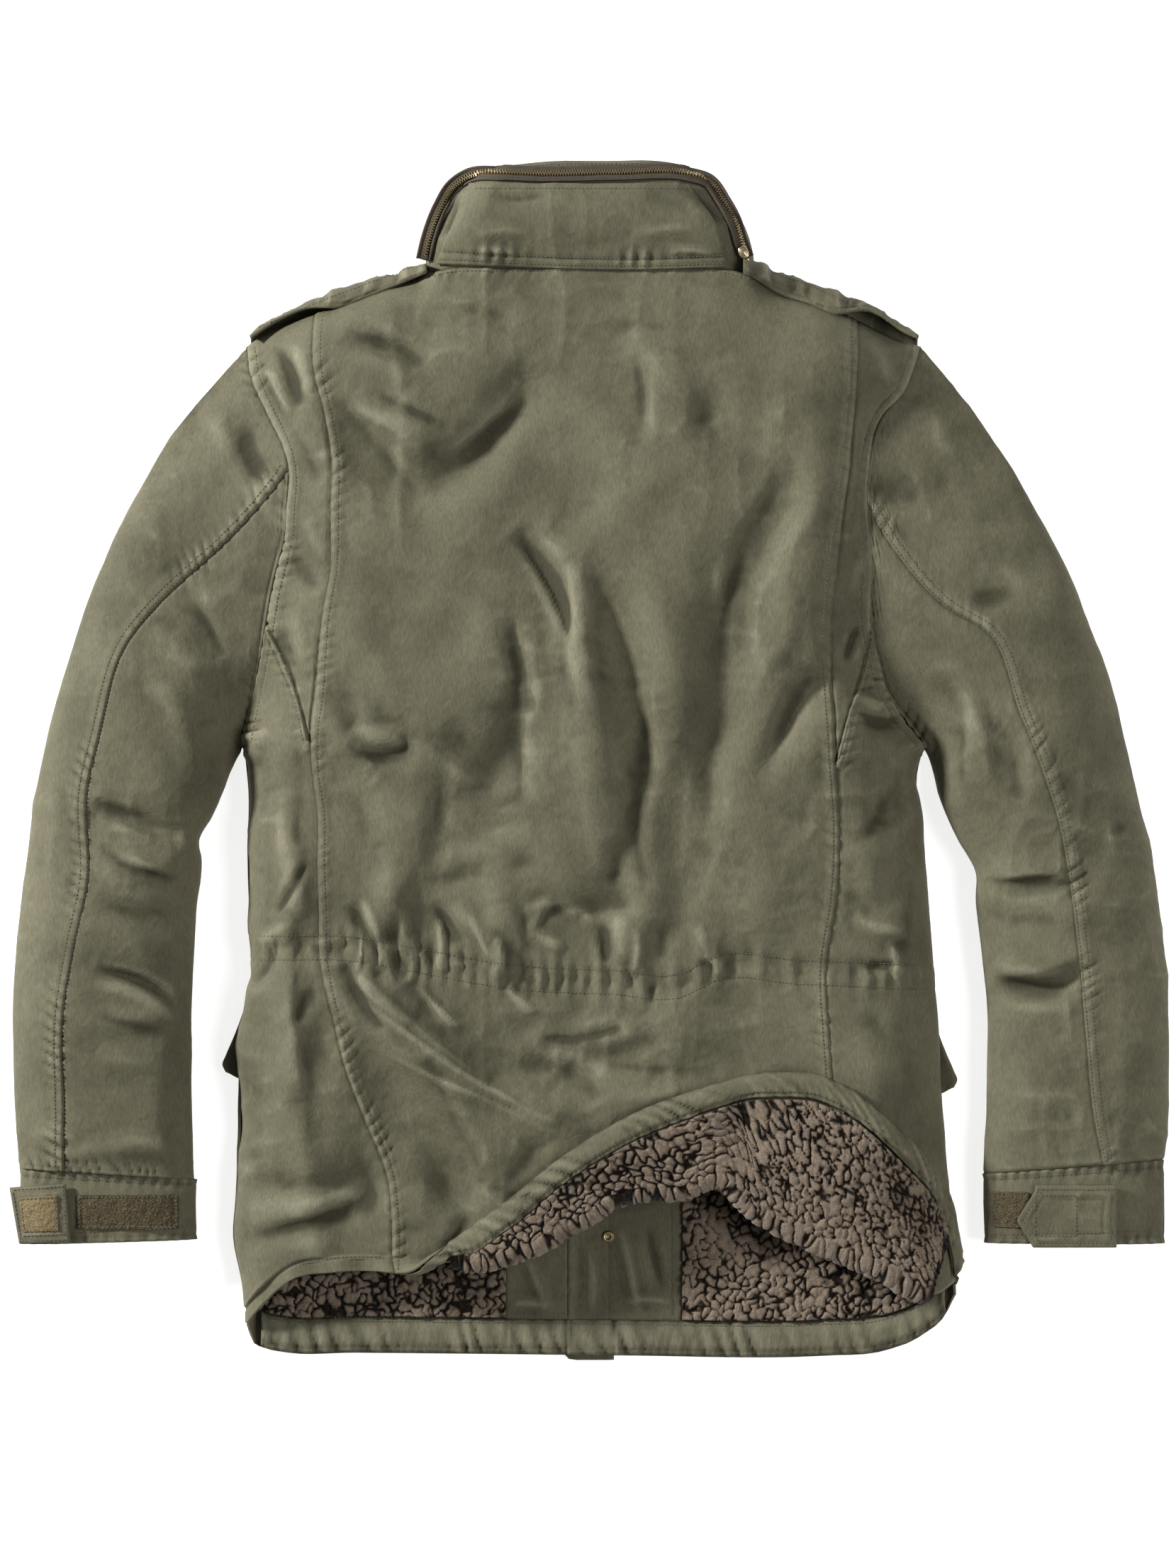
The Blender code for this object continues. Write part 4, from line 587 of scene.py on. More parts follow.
# Folds that are finer than the solids': three points of a curve, half width, height, and which side is the
# steeper: above 0 the one to the left of the way the curve runs, below 0 the one to its right.
BODY_CREASES = [
    (-56, 62, -50, 20, -54, -34, 10, -4.6, 0.2), (-40, 60, -30, 10, -42, -30, 11, 3.6, 0),
    (-168, -144, -120, -202, -52, -243, 10, 4.6, 0.2), (-182, -168, -146, -222, -100, -262, 11, -4.4, 0),
    (-34, -200, -4, -206, 26, -189, 9, -4.4, 0.2), (-62, -206, -8, -206, 44, -224, 8, 3.4, 0),
    (58, -222, 84, -220, 114, -214, 12, -3.6, 0), (110, -104, 98, -150, 108, -186, 11, -4.4, 0),
    (122, -60, 116, -120, 92, -160, 12, 3.6, 0), (-222, -132, -212, -182, -208, -240, 9, 5.0, 0.2),
    (-200, -160, -196, -200, -186, -232, 8, -4.0, 0), (-116, -208, -100, -262, -86, -318, 12, -5.0, 0.2),
    (-70, -226, -40, -240, -30, -270, 12, 4.6, 0), (-20, -216, -4, -230, 4, -244, 10, -3.4, 0),
    (-128, -262, -122, -300, -116, -330, 10, 3.6, 0), (-140, -70, -136, -20, -150, 30, 13, 3.4, 0),
    (-104, -90, -106, -40, -96, 20, 11, -3.2, 0), (210, -44, 204, -90, 214, -130, 10, 3.6, 0),
    (196, -176, 214, -204, 240, -240, 10, -3.6, 0), (178, -70, 184, -120, 180, -170, 8, -3.0, 0),
    (-66, -60, -72, -90, -64, -120, 8, 3.4, 0), (-20, -40, -26, -80, -14, -112, 9, 3.6, 0),
    (14, -50, 12, -84, 20, -116, 8, -3.6, 0),
    (-166, -112, -157, -128, -166, -150, 3.4, 3.2, 1), (-150, -118, -146, -134, -150, -148, 3.0, 2.6, -1),
    (-129, -122, -124, -140, -129, -158, 3.2, 2.8, -1), (-108, -110, -103, -130, -107, -148, 3.0, 2.8, 1),
    (-85, -108, -77, -126, -69, -141, 3.6, 3.4, -1), (-66, -124, -60, -138, -66, -154, 2.8, 2.6, 1),
    (-44, -128, -36, -100, -24, -93, 5.0, 2.4, -1), (-24, -93, -8, -98, 4, -116, 5.0, 2.8, 1),
    (33, -116, 38, -134, 29, -152, 3.4, 2.6, 1), (80, -136, 93, -141, 90, -151, 3.6, 2.2, -1),
    (-166, -152, -152, -170, -128, -187, 4.4, 3.2, -1), (-121, -158, -108, -177, -90, -189, 4.4, 2.8, 1),
    (-60, -160, -50, -171, -38, -178, 3.8, 2.2, 1), (-150, -60, -142, -92, -150, -122, 8, 3.4, 1),
    (-20, 300, -34, 240, -26, 170, 22, -3.4, 0), (40, 310, 30, 230, 44, 150, 24, 3.2, 0),
    (100, 300, 96, 250, 110, 200, 20, -2.8, 0), (-90, 320, -96, 280, -84, 240, 18, 2.8, 0),
    (10, 60, 0, 0, 12, -60, 18, 3.6, 0), (60, 40, 66, -20, 50, -90, 17, -3.4, 0),
    (-60, 60, -80, 10, -70, -50, 18, -3.2, 0), (100, 60, 110, 0, 96, -70, 16, 3.0, 0),
    # the two folds that meet below the left shoulder blade
    (-52, 275, -80, 243, -110, 218, 9, 5.0, 0.7), (-43, 263, -72, 228, -112, 187, 9, -4.0, 0),
    (-179, 258, -160, 219, -115, 187, 10, -5.0, 0.4), (-171, 256, -142, 240, -111, 220, 9, 3.5, -0.5),
    (-172, 306, -138, 290, -112, 283, 8, -3.4, 0.4), (-155, 263, -118, 245, -97, 236, 6, -2.6, 0.5),
    (-176, 296, -150, 276, -122, 270, 9, 2.2, 0),
    # the long folds down the middle
    (-23, 240, 2, 199, -31, 158, 10, -4.4, -0.4), (-56, 160, -32, 141, -10, 78, 8, -6.0, -0.5),
    (-14, 142, -4, 90, -6, 20, 9, 5.5, -0.3), (10, 137, 30, 96, 52, 40, 12, -3.6, 0),
    (-56, 104, -50, 71, -43, 34, 9, -4.6, 0.4), (-76, 137, -72, 88, -68, 38, 12, 3.4, 0),
    (-6, 20, -3, -40, 8, -82, 14, 4.6, -0.4), (40, 48, 30, -29, 34, -108, 12, -5.6, 0.5),
    (66, 40, 58, -48, 66, -114, 14, 3.8, 0.3), (90, 40, 78, -10, 73, -68, 10, -2.4, 0),
    (-10, 300, -30, 280, -28, 250, 9, -2.0, 0), (-90, 330, -70, 312, -60, 290, 10, -1.8, 0),
    # right of the middle
    (30, 288, 44, 254, 30, 222, 8, -3.2, 0.5), (30, 308, 56, 273, 78, 243, 10, 3.6, -0.4),
    (148, 218, 105, 137, 80, 60, 13, -6.4, -0.4), (160, 216, 138, 120, 116, 36, 14, 4.6, 0.4),
    (96, 262, 84, 258, 72, 240, 11, -2.0, 0), (118, 280, 108, 240, 116, 190, 10, -2.2, 0),
    (150, 240, 128, 262, 96, 290, 12, 2.0, 0), (60, 190, 74, 150, 72, 110, 14, 2.6, 0),
    (168, 130, 156, 100, 150, 60, 9, 2.0, 0), (160, 68, 142, 36, 124, 0, 10, -3.4, 0.3),
    # the crossing creases left of the middle, above the waist
    (-178, 14, -150, -6, -126, 14, 8, -4.0, 0.3), (-169, 26, -149, 14, -131, 13, 7, 4.0, 0),
    (-107, 25, -80, -4, -60, -33, 11, -4.0, 0.3), (-110, -26, -74, -34, -43, -16, 10, -3.4, 0.3),
    (-120, 10, -96, -16, -60, -26, 8, 3.0, 0), (-119, -86, -80, -79, -37, -63, 8, -3.0, 0),
    (-126, -68, -80, -58, -38, -44, 10, 3.0, 0), (-130, 137, -134, 96, -155, 63, 13, -2.6, 0),
    (-168, 90, -150, 60, -140, 30, 10, 2.4, 0), (-186, 60, -170, 30, -172, 10, 8, -2.2, 0),
    (-150, -20, -128, -42, -130, -74, 10, 2.4, 0), (-176, -20, -160, -48, -150, -84, 9, -2.4, 0),
    # just above the drawcord
    (-46, -107, -26, -91, -7, -110, 4, 4.2, 0), (-30, -104, -18, -97, -10, -106, 4, -3.2, 0),
    (-96, -100, -84, -118, -70, -128, 5, 3.0, 0), (-110, -98, -100, -118, -92, -130, 5, -3.0, 0),
    (-160, -96, -150, -112, -152, -128, 5, 3.4, 0.3), (-172, -100, -164, -116, -162, -130, 5, -3.2, 0),
    (-140, -100, -132, -116, -134, -130, 5, 2.8, 0), (-62, -100, -58, -116, -50, -136, 5, 3.0, 0),
    (20, -104, 26, -120, 24, -142, 6, 3.2, 0), (8, -112, 12, -128, 10, -144, 5, -3.0, 0),
    (46, -110, 50, -126, 48, -142, 6, -2.6, 0), (76, -116, 84, -130, 82, -142, 5, 2.6, 0),
    (108, -120, 112, -134, 108, -146, 6, -2.0, 0), (-40, -118, -30, -128, -16, -130, 5, 2.6, 0.4),
    # just below it
    (-176, -142, -166, -170, -146, -190, 7, -4.4, 0.5), (-186, -150, -178, -176, -160, -200, 7, 3.4, 0),
    (-150, -150, -140, -166, -120, -176, 6, 3.0, 0), (-132, -156, -122, -170, -104, -178, 6, -2.6, 0),
    (-38, -198, -7, -195, 24, -189, 6, -4.2, 0.5), (-34, -206, 9, -204, 40, -183, 7, 3.2, 0),
    (9, -214, 62, -223, 94, -218, 10, -5.0, 0.4), (-161, -168, -126, -198, -68, -237, 4, 2.4, 0.4),
    (-90, -222, -60, -240, -20, -256, 4, 2.0, 0.4), (-70, -180, -40, -176, -10, -180, 8, 2.4, 0),
    (40, -176, 60, -190, 50, -204, 7, 2.6, 0), (96, -166, 120, -190, 140, -220, 12, 2.2, 0),
    # the big soft folds above the turned-up hem
    (-103, -249, -94, -278, -72, -300, 10, -4.6, 0.3), (-50, -246, -54, -274, -66, -303, 15, 4.6, 0),
    (-36, -252, -46, -286, -64, -312, 11, -4.4, 0), (-145, -209, -87, -234, -14, -267, 3.5, 1.8, 0.4),
    (-128, -300, -112, -326, -96, -346, 9, 3.0, 0), (-84, -318, -92, -336, -104, -352, 7, -3.0, 0),
    (-20, -244, 0, -262, 10, -276, 10, -3.0, 0), (90, -206, 60, -232, 20, -250, 9, 2.4, 0),
    # left side panel and shoulder
    (-226, -20, -224, -66, -206, -112, 9, 6.0, 0.2), (-203, -70, -211, -94, -223, -106, 5, -4.0, 0.4),
    (-240, 6, -232, -10, -236, -40, 6, -3.4, 0), (-248, 20, -236, 12, -226, 24, 5, 3.2, 0.4),
    (-210, 10, -206, -20, -212, -60, 6, -2.8, 0), (-212, -110, -222, -122, -236, -126, 5, 3.2, 0),
    (-222, -132, -232, -150, -240, -160, 5, -3.4, 0), (-206, -136, -214, -160, -230, -172, 6, 3.4, 0.3),
    (-196, -150, -206, -176, -222, -196, 6, -2.6, 0), (-240, -186, -222, -240, -228, -290, 9, 2.6, 0),
    (-212, -190, -204, -240, -200, -290, 8, -2.6, 0), (-250, -338, -206, -334, -150, -306, 8, -4.2, 0.3),
    (-244, -322, -200, -316, -158, -300, 9, 4.4, 0), (-236, -212, -246, -250, -238, -286, 10, -4.2, 0),
    (-244, -350, -216, -342, -180, -348, 8, 2.0, 0), (-166, -250, -170, -290, -160, -330, 9, -2.0, 0),
    (-222, 297, -212, 272, -204, 252, 5, -3.4, 0), (-208, 297, -200, 276, -196, 256, 5, 3.0, 0),
    (-232, 280, -222, 268, -214, 246, 4, 2.2, 0), (-216, 145, -204, 132, -196, 118, 6, -2.6, 0),
    (-214, 110, -206, 86, -202, 60, 6, 2.8, 0), (-222, 96, -214, 76, -208, 52, 5, -2.8, 0),
    (-208, 236, -200, 214, -192, 196, 5, -2.4, 0), (-204, 180, -198, 160, -190, 140, 6, 2.2, 0),
    # right side panel and shoulder
    (190, 98, 186, 84, 180, 70, 4, -2.8, 0), (196, 150, 188, 140, 182, 120, 5, 2.4, 0),
    (212, 262, 204, 240, 196, 222, 5, -2.2, 0), (196, 300, 204, 280, 214, 262, 6, 2.2, 0),
    (184, 46, 196, 44, 208, 38, 5, 3.8, 0.4), (188, 30, 204, 26, 222, 28, 6, -3.8, 0.4),
    (236, 8, 216, -30, 190, -62, 9, -3.6, -0.4), (240, -12, 226, -44, 200, -84, 10, 3.2, 0),
    (184, -30, 192, -60, 188, -96, 7, 2.4, 0), (222, -70, 228, -104, 220, -140, 7, -2.8, 0),
    (186, -110, 204, -124, 226, -120, 5, 2.6, 0), (190, -142, 206, -150, 222, -140, 4, -2.4, 0),
    (212, -126, 220, -140, 216, -156, 4, 2.6, 0), (186, -190, 204, -230, 196, -290, 9, 2.2, 0),
    (222, -180, 238, -226, 234, -280, 7, -2.2, 0), (206, -170, 214, -200, 222, -240, 6, 1.8, 0)]
ARM_CREASES = [
    # left sleeve
    (-300, 130, -280, 110, -262, 70, 8, -3.4, 0.4), (-310, 96, -288, 74, -270, 30, 8, 3.6, 0),
    (-330, 60, -300, 30, -280, -10, 7, -2.8, 0), (-352, -26, -322, -46, -290, -50, 6, -4.0, 0.4),
    (-352, -40, -318, -58, -288, -66, 6, 4.0, 0), (-350, -60, -322, -84, -290, -86, 6, -4.0, 0.4),
    (-346, -78, -320, -100, -288, -98, 6, 3.4, 0), (-352, -96, -330, -110, -296, -120, 6, -2.8, 0),
    (-350, -146, -326, -152, -292, -170, 6, -3.8, 0.4), (-350, -156, -324, -166, -290, -184, 6, 3.4, 0),
    (-350, -178, -330, -186, -300, -196, 6, -2.8, 0), (-352, -210, -330, -218, -300, -214, 7, 2.4, 0),
    (-400, -270, -380, -262, -364, -272, 6, 2.2, 0), (-340, -272, -320, -266, -296, -276, 6, 2.8, 0),
    (-404, -30, -390, -34, -372, -30, 6, 1.8, 0), (-330, 190, -316, 160, -300, 140, 9, 2.2, 0),
    (-258, 246, -244, 226, -236, 196, 7, -2.6, 0), (-280, 250, -266, 232, -250, 222, 9, 2.2, 0),
    # right sleeve
    (262, 50, 276, 20, 280, -30, 8, 4.2, 0.3), (250, 66, 262, 30, 268, -20, 6, -4.0, 0),
    (286, 30, 300, 0, 300, -40, 8, -3.0, 0), (282, -84, 306, -90, 334, -80, 6, -4.0, 0.4),
    (284, -94, 310, -102, 340, -92, 6, 3.6, 0), (282, -108, 304, -116, 336, -108, 6, -2.6, 0),
    (286, -142, 310, -154, 340, -146, 6, 3.6, 0), (288, -154, 312, -166, 344, -158, 6, -4.0, 0.4),
    (292, -172, 316, -180, 344, -172, 6, 2.4, 0), (300, 130, 290, 120, 270, 118, 8, -2.8, 0),
    (340, 160, 330, 130, 330, 96, 10, 2.0, 0), (380, -20, 392, -60, 396, -100, 9, 2.0, 0),
    (300, -240, 330, -246, 350, -240, 8, 2.0, 0), (370, -250, 386, -262, 400, -262, 7, -1.8, 0)]


def crease_height(x, y, table):
    total = np.zeros(x.shape)
    for *points, half, height, lean in table:
        x0, y0 = points[:2]
        half = half * (1 + 0.45 * ease((half - 4.5) / 2))
        _, cx, cy = curve_of(*points)
        reach = 3 * half
        near = (x > cx.min() - reach) & (x < cx.max() + reach)
        near &= (y > cy.min() - reach) & (y < cy.max() + reach)
        if not near.any():
            continue
        d, s = near_line(x[near], y[near], np.stack([cx, cy], axis=-1), reach)
        long = np.hypot(np.diff(cx), np.diff(cy)).sum()
        taper = np.sin(np.pi * np.clip(s / long, 0.0, 1.0)) ** 0.8
        bend = 0.4 * half * noise(s, s * 0, 45, abs(y0) % 5)
        wide = half * (1 + 0.3 * noise(s, s * 0, 38, abs(x0) % 7)) * (1 - 0.45 * np.clip(d * lean, 0, 1))
        off = np.abs((d + bend) / wide)
        keen = 0.4 if half < 5 else 0.1
        total[near] += height * taper * (1.05 * np.exp(-off ** 2) + keen * np.exp(-1.5 * off))
    return total


def cloth_noise(x, y, coarse=1.0):
    """Slack and small creases that washed cotton has everywhere."""
    wander = 11 * noise(x, y, 70, 5)
    sway = noise(x + wander, y - wander, 66, 1) * 2.3 + noise(x - wander, y, 34, 2) * 0.8
    sharp = crumple(x + wander, y * 0.85 - wander, 46, 3) * 0.85
    sharp += crumple(x - wander, y + wander, 24, 6) * 0.5
    fine = crumple(x + 0.4 * wander, y - wander, 11, 4) * 0.22
    patches = np.clip(0.75 + 0.9 * noise(x, y, 75, 8), 0.15, 1.5)
    drape = 1 - 2 * np.abs(noise(x + 1.6 * wander, y * 0.5 + wander, 62, 12)) ** 1.25
    return (sway + 1.9 * drape) * coarse + (sharp + fine) * patches


def waist_relief(x, y):
    """Pleats of uneven depth and lean where the drawcord pulls the waist in, between its rows of stitches."""
    away = y - along(CHANNEL, x)
    lean = away * (0.35 * noise(x, y * 0, 30, 6) + 0.25 * noise(x, away * 0.5, 13, 7))
    wander = 11 * noise(x, y * 0, 33, 3) + 4 * noise(x, y * 0, 12, 8) + lean
    tight = np.interp(x, [-240, -170, -110, 40, 110, 180, 240], [0.8, 1.0, 1.0, 1.0, 0.4, 0.3, 0.7])
    uneven = np.clip(0.5 + 0.9 * noise(x, away * 0.4, 19, 9) + 0.5 * noise(x, away * 0.8, 8, 11), 0, 1.6)
    reach = 10 + 8 * noise(x, y * 0, 17, 4) + 3 * noise(x, y * 0, 7, 5)
    fade = np.exp(-np.abs(away / np.clip(reach, 3, None)) ** 1.6)
    sharp = crumple(x + wander, away * 0.22, 12, 14)
    small = crumple(x - wander, away * 0.35, 6.5, 3) * np.exp(-(away / 9) ** 2)
    lines = -0.3 * np.exp(-((away - 8.5) / 0.9) ** 2) - 0.3 * np.exp(-((away + 8.5) / 0.9) ** 2)
    return tight * (sharp * fade * uneven * 2.4 + small * 0.9) + lines


MOST = 6.0               # how far the fine relief can reach, in millimetres


def limited(height):
    return MOST * np.tanh(height / MOST)


def sewn_relief(x, y, creases, coarse, seams):
    total = crease_height(x, y, creases) + cloth_noise(x, y, coarse)
    for row in seams:
        total += seam(x, y, *row)
    return total


def body_relief(x, y):
    """Fine relief of the back, seen from above."""
    return limited(sewn_relief(x, y, BODY_CREASES, 1.0, SEAMS_BODY) + waist_relief(x, y))


def arm_relief(x, y):
    return limited(sewn_relief(x, y, ARM_CREASES, 0.85, SEAMS_ARM))


def cobbles(size, count, wide, seed):
    """A square of heights from -1 to 1: rounded lumps about wide apart, some grown together, deep cracks
    between the others, for the curly pile, whose material paints shade into the cracks."""
    random = np.random.default_rng(seed)
    n = int(size / wide)
    spots, kinds = random.random((n, n, 2)), random.random((n, n))
    at = (np.arange(count) + 0.5) / count * n
    x, y = np.meshgrid(at, at, indexing="ij")
    x, y = x + 0.32 * noise(x, y, 0.8, 1), y + 0.32 * noise(x, y, 0.8, 2)
    nearest, second = np.full(x.shape, 9.0), np.full(x.shape, 9.0)
    mine, other = np.zeros(x.shape), np.zeros(x.shape)
    for di in (-1, 0, 1):
        for dj in (-1, 0, 1):
            i, j = np.floor(x).astype(int) + di, np.floor(y).astype(int) + dj
            spot, kind = spots[i % n, j % n], kinds[i % n, j % n]
            far = np.hypot(x - i - spot[..., 0], y - j - spot[..., 1])
            closer, close = far < nearest, far < second
            second = np.where(closer, nearest, np.where(close, far, second))
            other = np.where(closer, mine, np.where(close, kind, other))
            nearest, mine = np.where(closer, far, nearest), np.where(closer, kind, mine)
    joined = ease((0.2 - np.abs(mine - other)) / 0.06)
    crack = np.exp(-((second - nearest) * wide / 1.15) ** 2) * (1 - 0.8 * joined)
    return 1 - 1.6 * crack - 0.5 * np.minimum(nearest / 0.85, 1) ** 2


PILE_SIZE, PILE_CELLS = 360.0, 720
PILE = cobbles(PILE_SIZE, PILE_CELLS, 6.0, 5)


def pile_height(s, t):
    """The pile's ridges at s, t millimetres along the cloth, from -1 to 1."""
    gx, gy = s / PILE_SIZE * PILE_CELLS, t / PILE_SIZE * PILE_CELLS
    ix, iy = np.floor(gx).astype(int), np.floor(gy).astype(int)
    fx, fy = gx - ix, gy - iy
    n = PILE_CELLS
    low = mix(PILE[ix % n, iy % n], PILE[(ix + 1) % n, iy % n], fx)
    high = mix(PILE[ix % n, (iy + 1) % n], PILE[(ix + 1) % n, (iy + 1) % n], fx)
    return mix(low, high, fy)


# ---- meshes of cloth ------------------------------------------------------------------------------
SLOPE_STEP = 0.004       # of u and v, to each side, over which a surface's slope is taken


def framed(place, u, v, look, ref):
    """The grid of u and v, a surface's points there and its unit normals. They look up at the place ref where
    look is 1, down where it is -1."""
    uu, vv = np.meshgrid(u, v)
    p = place(uu, vv)
    du = place(np.minimum(uu + SLOPE_STEP, u[-1]), vv) - place(np.maximum(uu - SLOPE_STEP, u[0]), vv)
    dv = place(uu, np.minimum(vv + SLOPE_STEP, v[-1])) - place(uu, np.maximum(vv - SLOPE_STEP, v[0]))
    n = np.cross(du, dv)
    n = n / np.maximum(np.linalg.norm(n, axis=-1, keepdims=True), 1e-12)
    ref_u, ref_v = ref or (u[0] * 0.5 + u[-1] * 0.5, v[0] * 0.6 + v[-1] * 0.4)
    sample = np.unravel_index(np.argmin((uu - ref_u) ** 2 + (vv - ref_v) ** 2), uu.shape)
    return uu, vv, p, n * (look * (1.0 if n[sample][2] > 0 else -1.0))


def grid_faces(rows, columns, start=0):
    """Quads between the points of a grid."""
    i = start + np.arange(rows * columns).reshape(rows, columns)
    return np.stack([i[:-1, :-1], i[:-1, 1:], i[1:, 1:], i[1:, :-1]], axis=-1).reshape(-1, 4)


def rim_of(rows, columns):
    """Numbers of a grid's border points, in order round it."""
    i = np.arange(rows * columns).reshape(rows, columns)
    return np.concatenate([i[0], i[1:, -1], i[-1, -2::-1], i[-2:0:-1, 0]])


def new_mesh(name, points, faces, material, shade=None):
    """A smooth mesh object from millimetre points. shade is a number for each point, for its material."""
    mesh = bpy.data.meshes.new(name)
    points = np.asarray(points, float) * MM
    if isinstance(faces, list):
        sizes = np.array([len(f) for f in faces])
        corners = np.concatenate([np.asarray(f) for f in faces])
    else:
        sizes = np.full(len(faces), faces.shape[1])
        corners = faces.ravel()
    mesh.vertices.add(len(points))
    mesh.vertices.foreach_set("co", points.ravel())
    mesh.loops.add(len(corners))
    mesh.loops.foreach_set("vertex_index", corners.astype(np.int32))
    mesh.polygons.add(len(sizes))
    mesh.polygons.foreach_set("loop_start", (np.cumsum(sizes) - sizes).astype(np.int32))
    mesh.polygons.foreach_set("use_smooth", np.ones(len(sizes), bool))
    mesh.update(calc_edges=True)
    mesh.validate()
    if shade is not None:
        layer = mesh.attributes.new("shade", "FLOAT", "POINT")
        layer.data.foreach_set("value", np.asarray(shade, np.float32))
    mesh.materials.append(material)
    made = bpy.data.objects.new(name, mesh)
    bpy.context.scene.collection.objects.link(made)
    return made


def grid_lengths(p):
    """The longest row, the longest column and the area of a grid of points."""
    across_it = np.linalg.norm(np.diff(p, axis=1), axis=-1).sum(axis=1).max()
    down_it = np.linalg.norm(np.diff(p, axis=0), axis=-1).sum(axis=0).max()
    cell = np.cross(p[1:, 1:] - p[:-1, :-1], p[1:, :-1] - p[:-1, 1:])
    return across_it, down_it, np.linalg.norm(cell, axis=-1).sum() / 2


def steps(low, high, length, grain=None, most=600):
    """Shares from low to high whose points are a grain apart on a piece that long."""
    return np.linspace(low, high, int(np.clip(length / (grain or GRAIN), 2, most)) + 1)


def outward(faces, grid, normals):
    """Faces whose order is turned round where the grid's own cells look against the normals."""
    cell = np.cross(grid[:-1, 1:] - grid[:-1, :-1], grid[1:, :-1] - grid[:-1, :-1])
    return faces if np.sum(cell * normals[:-1, :-1]) > 0 else faces[:, ::-1]


def cloth(node, place, u, v, material, face=0.0, back=-2.2, look=1, ref=None, relief=None, closed=False,
          name=None):
    """A thin shell of cloth on its solid's form, which then isn't shown. face and back are how far out of
    the form its seen and its hidden side lie. relief(p, u, v) gives the fine relief of the seen side. An open
    shell has only its seen side and its rolled edges; a closed one has both."""
    uu, vv, p, n = framed(place, u, v, look, ref)
    way = 1.0 if face > back else -1.0
    fine = relief(p, uu, vv) if relief else np.zeros(uu.shape)
    seen = p + n * (face + way * fine)[..., None]
    rows, columns = uu.shape
    rim = rim_of(rows, columns)
    flat_seen, flat_p, flat_n = seen.reshape(-1, 3), p.reshape(-1, 3), n.reshape(-1, 3)
    depth = abs(face - back)
    # high-pass relief, kept as shade: the materials paint shade into its hollows and highlight onto its
    # ridges
    crests = (fine - smoothed(fine, 4)).ravel()
    faces = [grid_faces(rows, columns)]
    points = [flat_seen]
    shades = [crests]
    count = rows * columns
    rolls = ((0.35, 0.25), (0.8, 0.2), (1.0, 0.0)) if not closed else ((0.5, 0.25),)
    level_out = rim_outwards(flat_seen, rim)
    last = rim
    for share, out in rolls:
        ring = flat_seen[rim] - flat_n[rim] * way * depth * share + level_out * out * min(depth, 1.5)
        new = count + np.arange(len(rim))
        faces.append(np.stack([last, new, np.roll(new, -1), np.roll(last, -1)], axis=-1))
        points.append(ring)
        shades.append(crests[rim])
        last = new
        count += len(rim)
    if closed:
        hidden = flat_p + flat_n * back + flat_n * way * fine.ravel()[:, None]
        other = grid_faces(rows, columns, count)[:, ::-1]
        faces.append(other)
        points.append(hidden)
        shades.append(crests)
        faces.append(np.stack([last, count + rim, np.roll(count + rim, -1), np.roll(last, -1)], axis=-1))
    faces = outward(np.concatenate(faces), seen, n * way)
    name = name or node + "_cloth"
    made = new_mesh(name, np.concatenate(points), faces, material, np.concatenate(shades))
    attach(made, "parka")
    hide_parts(node)
    wide, long, area = grid_lengths(p)
    return made


def pile(name, base, place, u, v, face, look, ref, relief, material):
    """Curly pile that stands on a lining's sheet, as a piece of its own that goes with it."""
    uu, vv, p, n = framed(place, u, v, look, ref)
    fine = relief(p, uu, vv)
    seen = (p + n * (face - fine)[..., None]).reshape(-1, 3)
    rows, columns = uu.shape
    rim = rim_of(rows, columns)
    out = rim_outwards(seen, rim)
    new = rows * columns + np.arange(len(rim))
    low = seen[rim] + n.reshape(-1, 3)[rim] * PILE_DEEP + out * 0.8
    skirt = np.stack([rim, new, np.roll(new, -1), np.roll(rim, -1)], axis=-1)
    # the skirt takes the lowest shade, so its material paints it with the cracks' painted shade
    shade = np.concatenate([fine.ravel(), np.full(len(rim), -1.0)])
    faces = np.concatenate([grid_faces(rows, columns), skirt])
    faces = outward(faces, seen.reshape(rows, columns, 3), -n)
    made = new_mesh(name, np.concatenate([seen, low]), faces, material, shade)
    made.parent = base
    return made


PILE_DEEP = 3.6          # from the pile's tips to the lining's sheet


def rim_outwards(points, rim):
    """Unit directions out of a sheet's border, in its own surface."""
    border = points[rim]
    ahead = np.roll(border, -1, axis=0) - np.roll(border, 1, axis=0)
    ahead /= np.maximum(np.linalg.norm(ahead, axis=1, keepdims=True), 1e-9)
    centre = border - points.mean(axis=0)
    out = centre - ahead * np.sum(centre * ahead, axis=1, keepdims=True)
    return out / np.maximum(np.linalg.norm(out, axis=1, keepdims=True), 1e-9)


# ---- things that lie on the cloth -----------------------------------------------------------------
class Surface:
    """Finds the cloth below a place in the plan."""

    def __init__(self, pieces):
        points, faces = [], []
        for piece in pieces:
            start = len(points)
            points += [v.co.copy() for v in piece.data.vertices]
            faces += [[start + i for i in f.vertices] for f in piece.data.polygons]
        self.tree = BVHTree.FromPolygons(points, faces)

    def at(self, x, y):
        """Point and normal of the highest cloth at x, y in millimetres, or None."""
        hit, normal, _, _ = self.tree.ray_cast(Vector((x * MM, y * MM, 0.3)), Vector((0, 0, -1)))
        if hit is None:
            return None
        if normal.z < 0:
            normal = -normal
        return np.array(hit) / MM, np.array(normal)


def even_points(line, pitch):
    """Points a pitch apart along a line, and the direction there."""
    p = np.asarray(line, float)
    length = lengths(p)
    at = np.arange(pitch / 2, length[-1], pitch)
    q = np.stack([np.interp(at, length, p[:, i]) for i in range(2)], axis=-1)
    ahead = np.stack([np.interp(at + 0.5, length, p[:, i]) for i in range(2)], axis=-1) - q
    return q, ahead / np.maximum(np.linalg.norm(ahead, axis=1, keepdims=True), 1e-9)


STITCH_PITCH = 2.9
STITCH_LONG, STITCH_WIDE, STITCH_HIGH = 2.3, 0.9, 0.75
STITCH_ABOVE = 0.12      # of a stitch's middle over the cloth


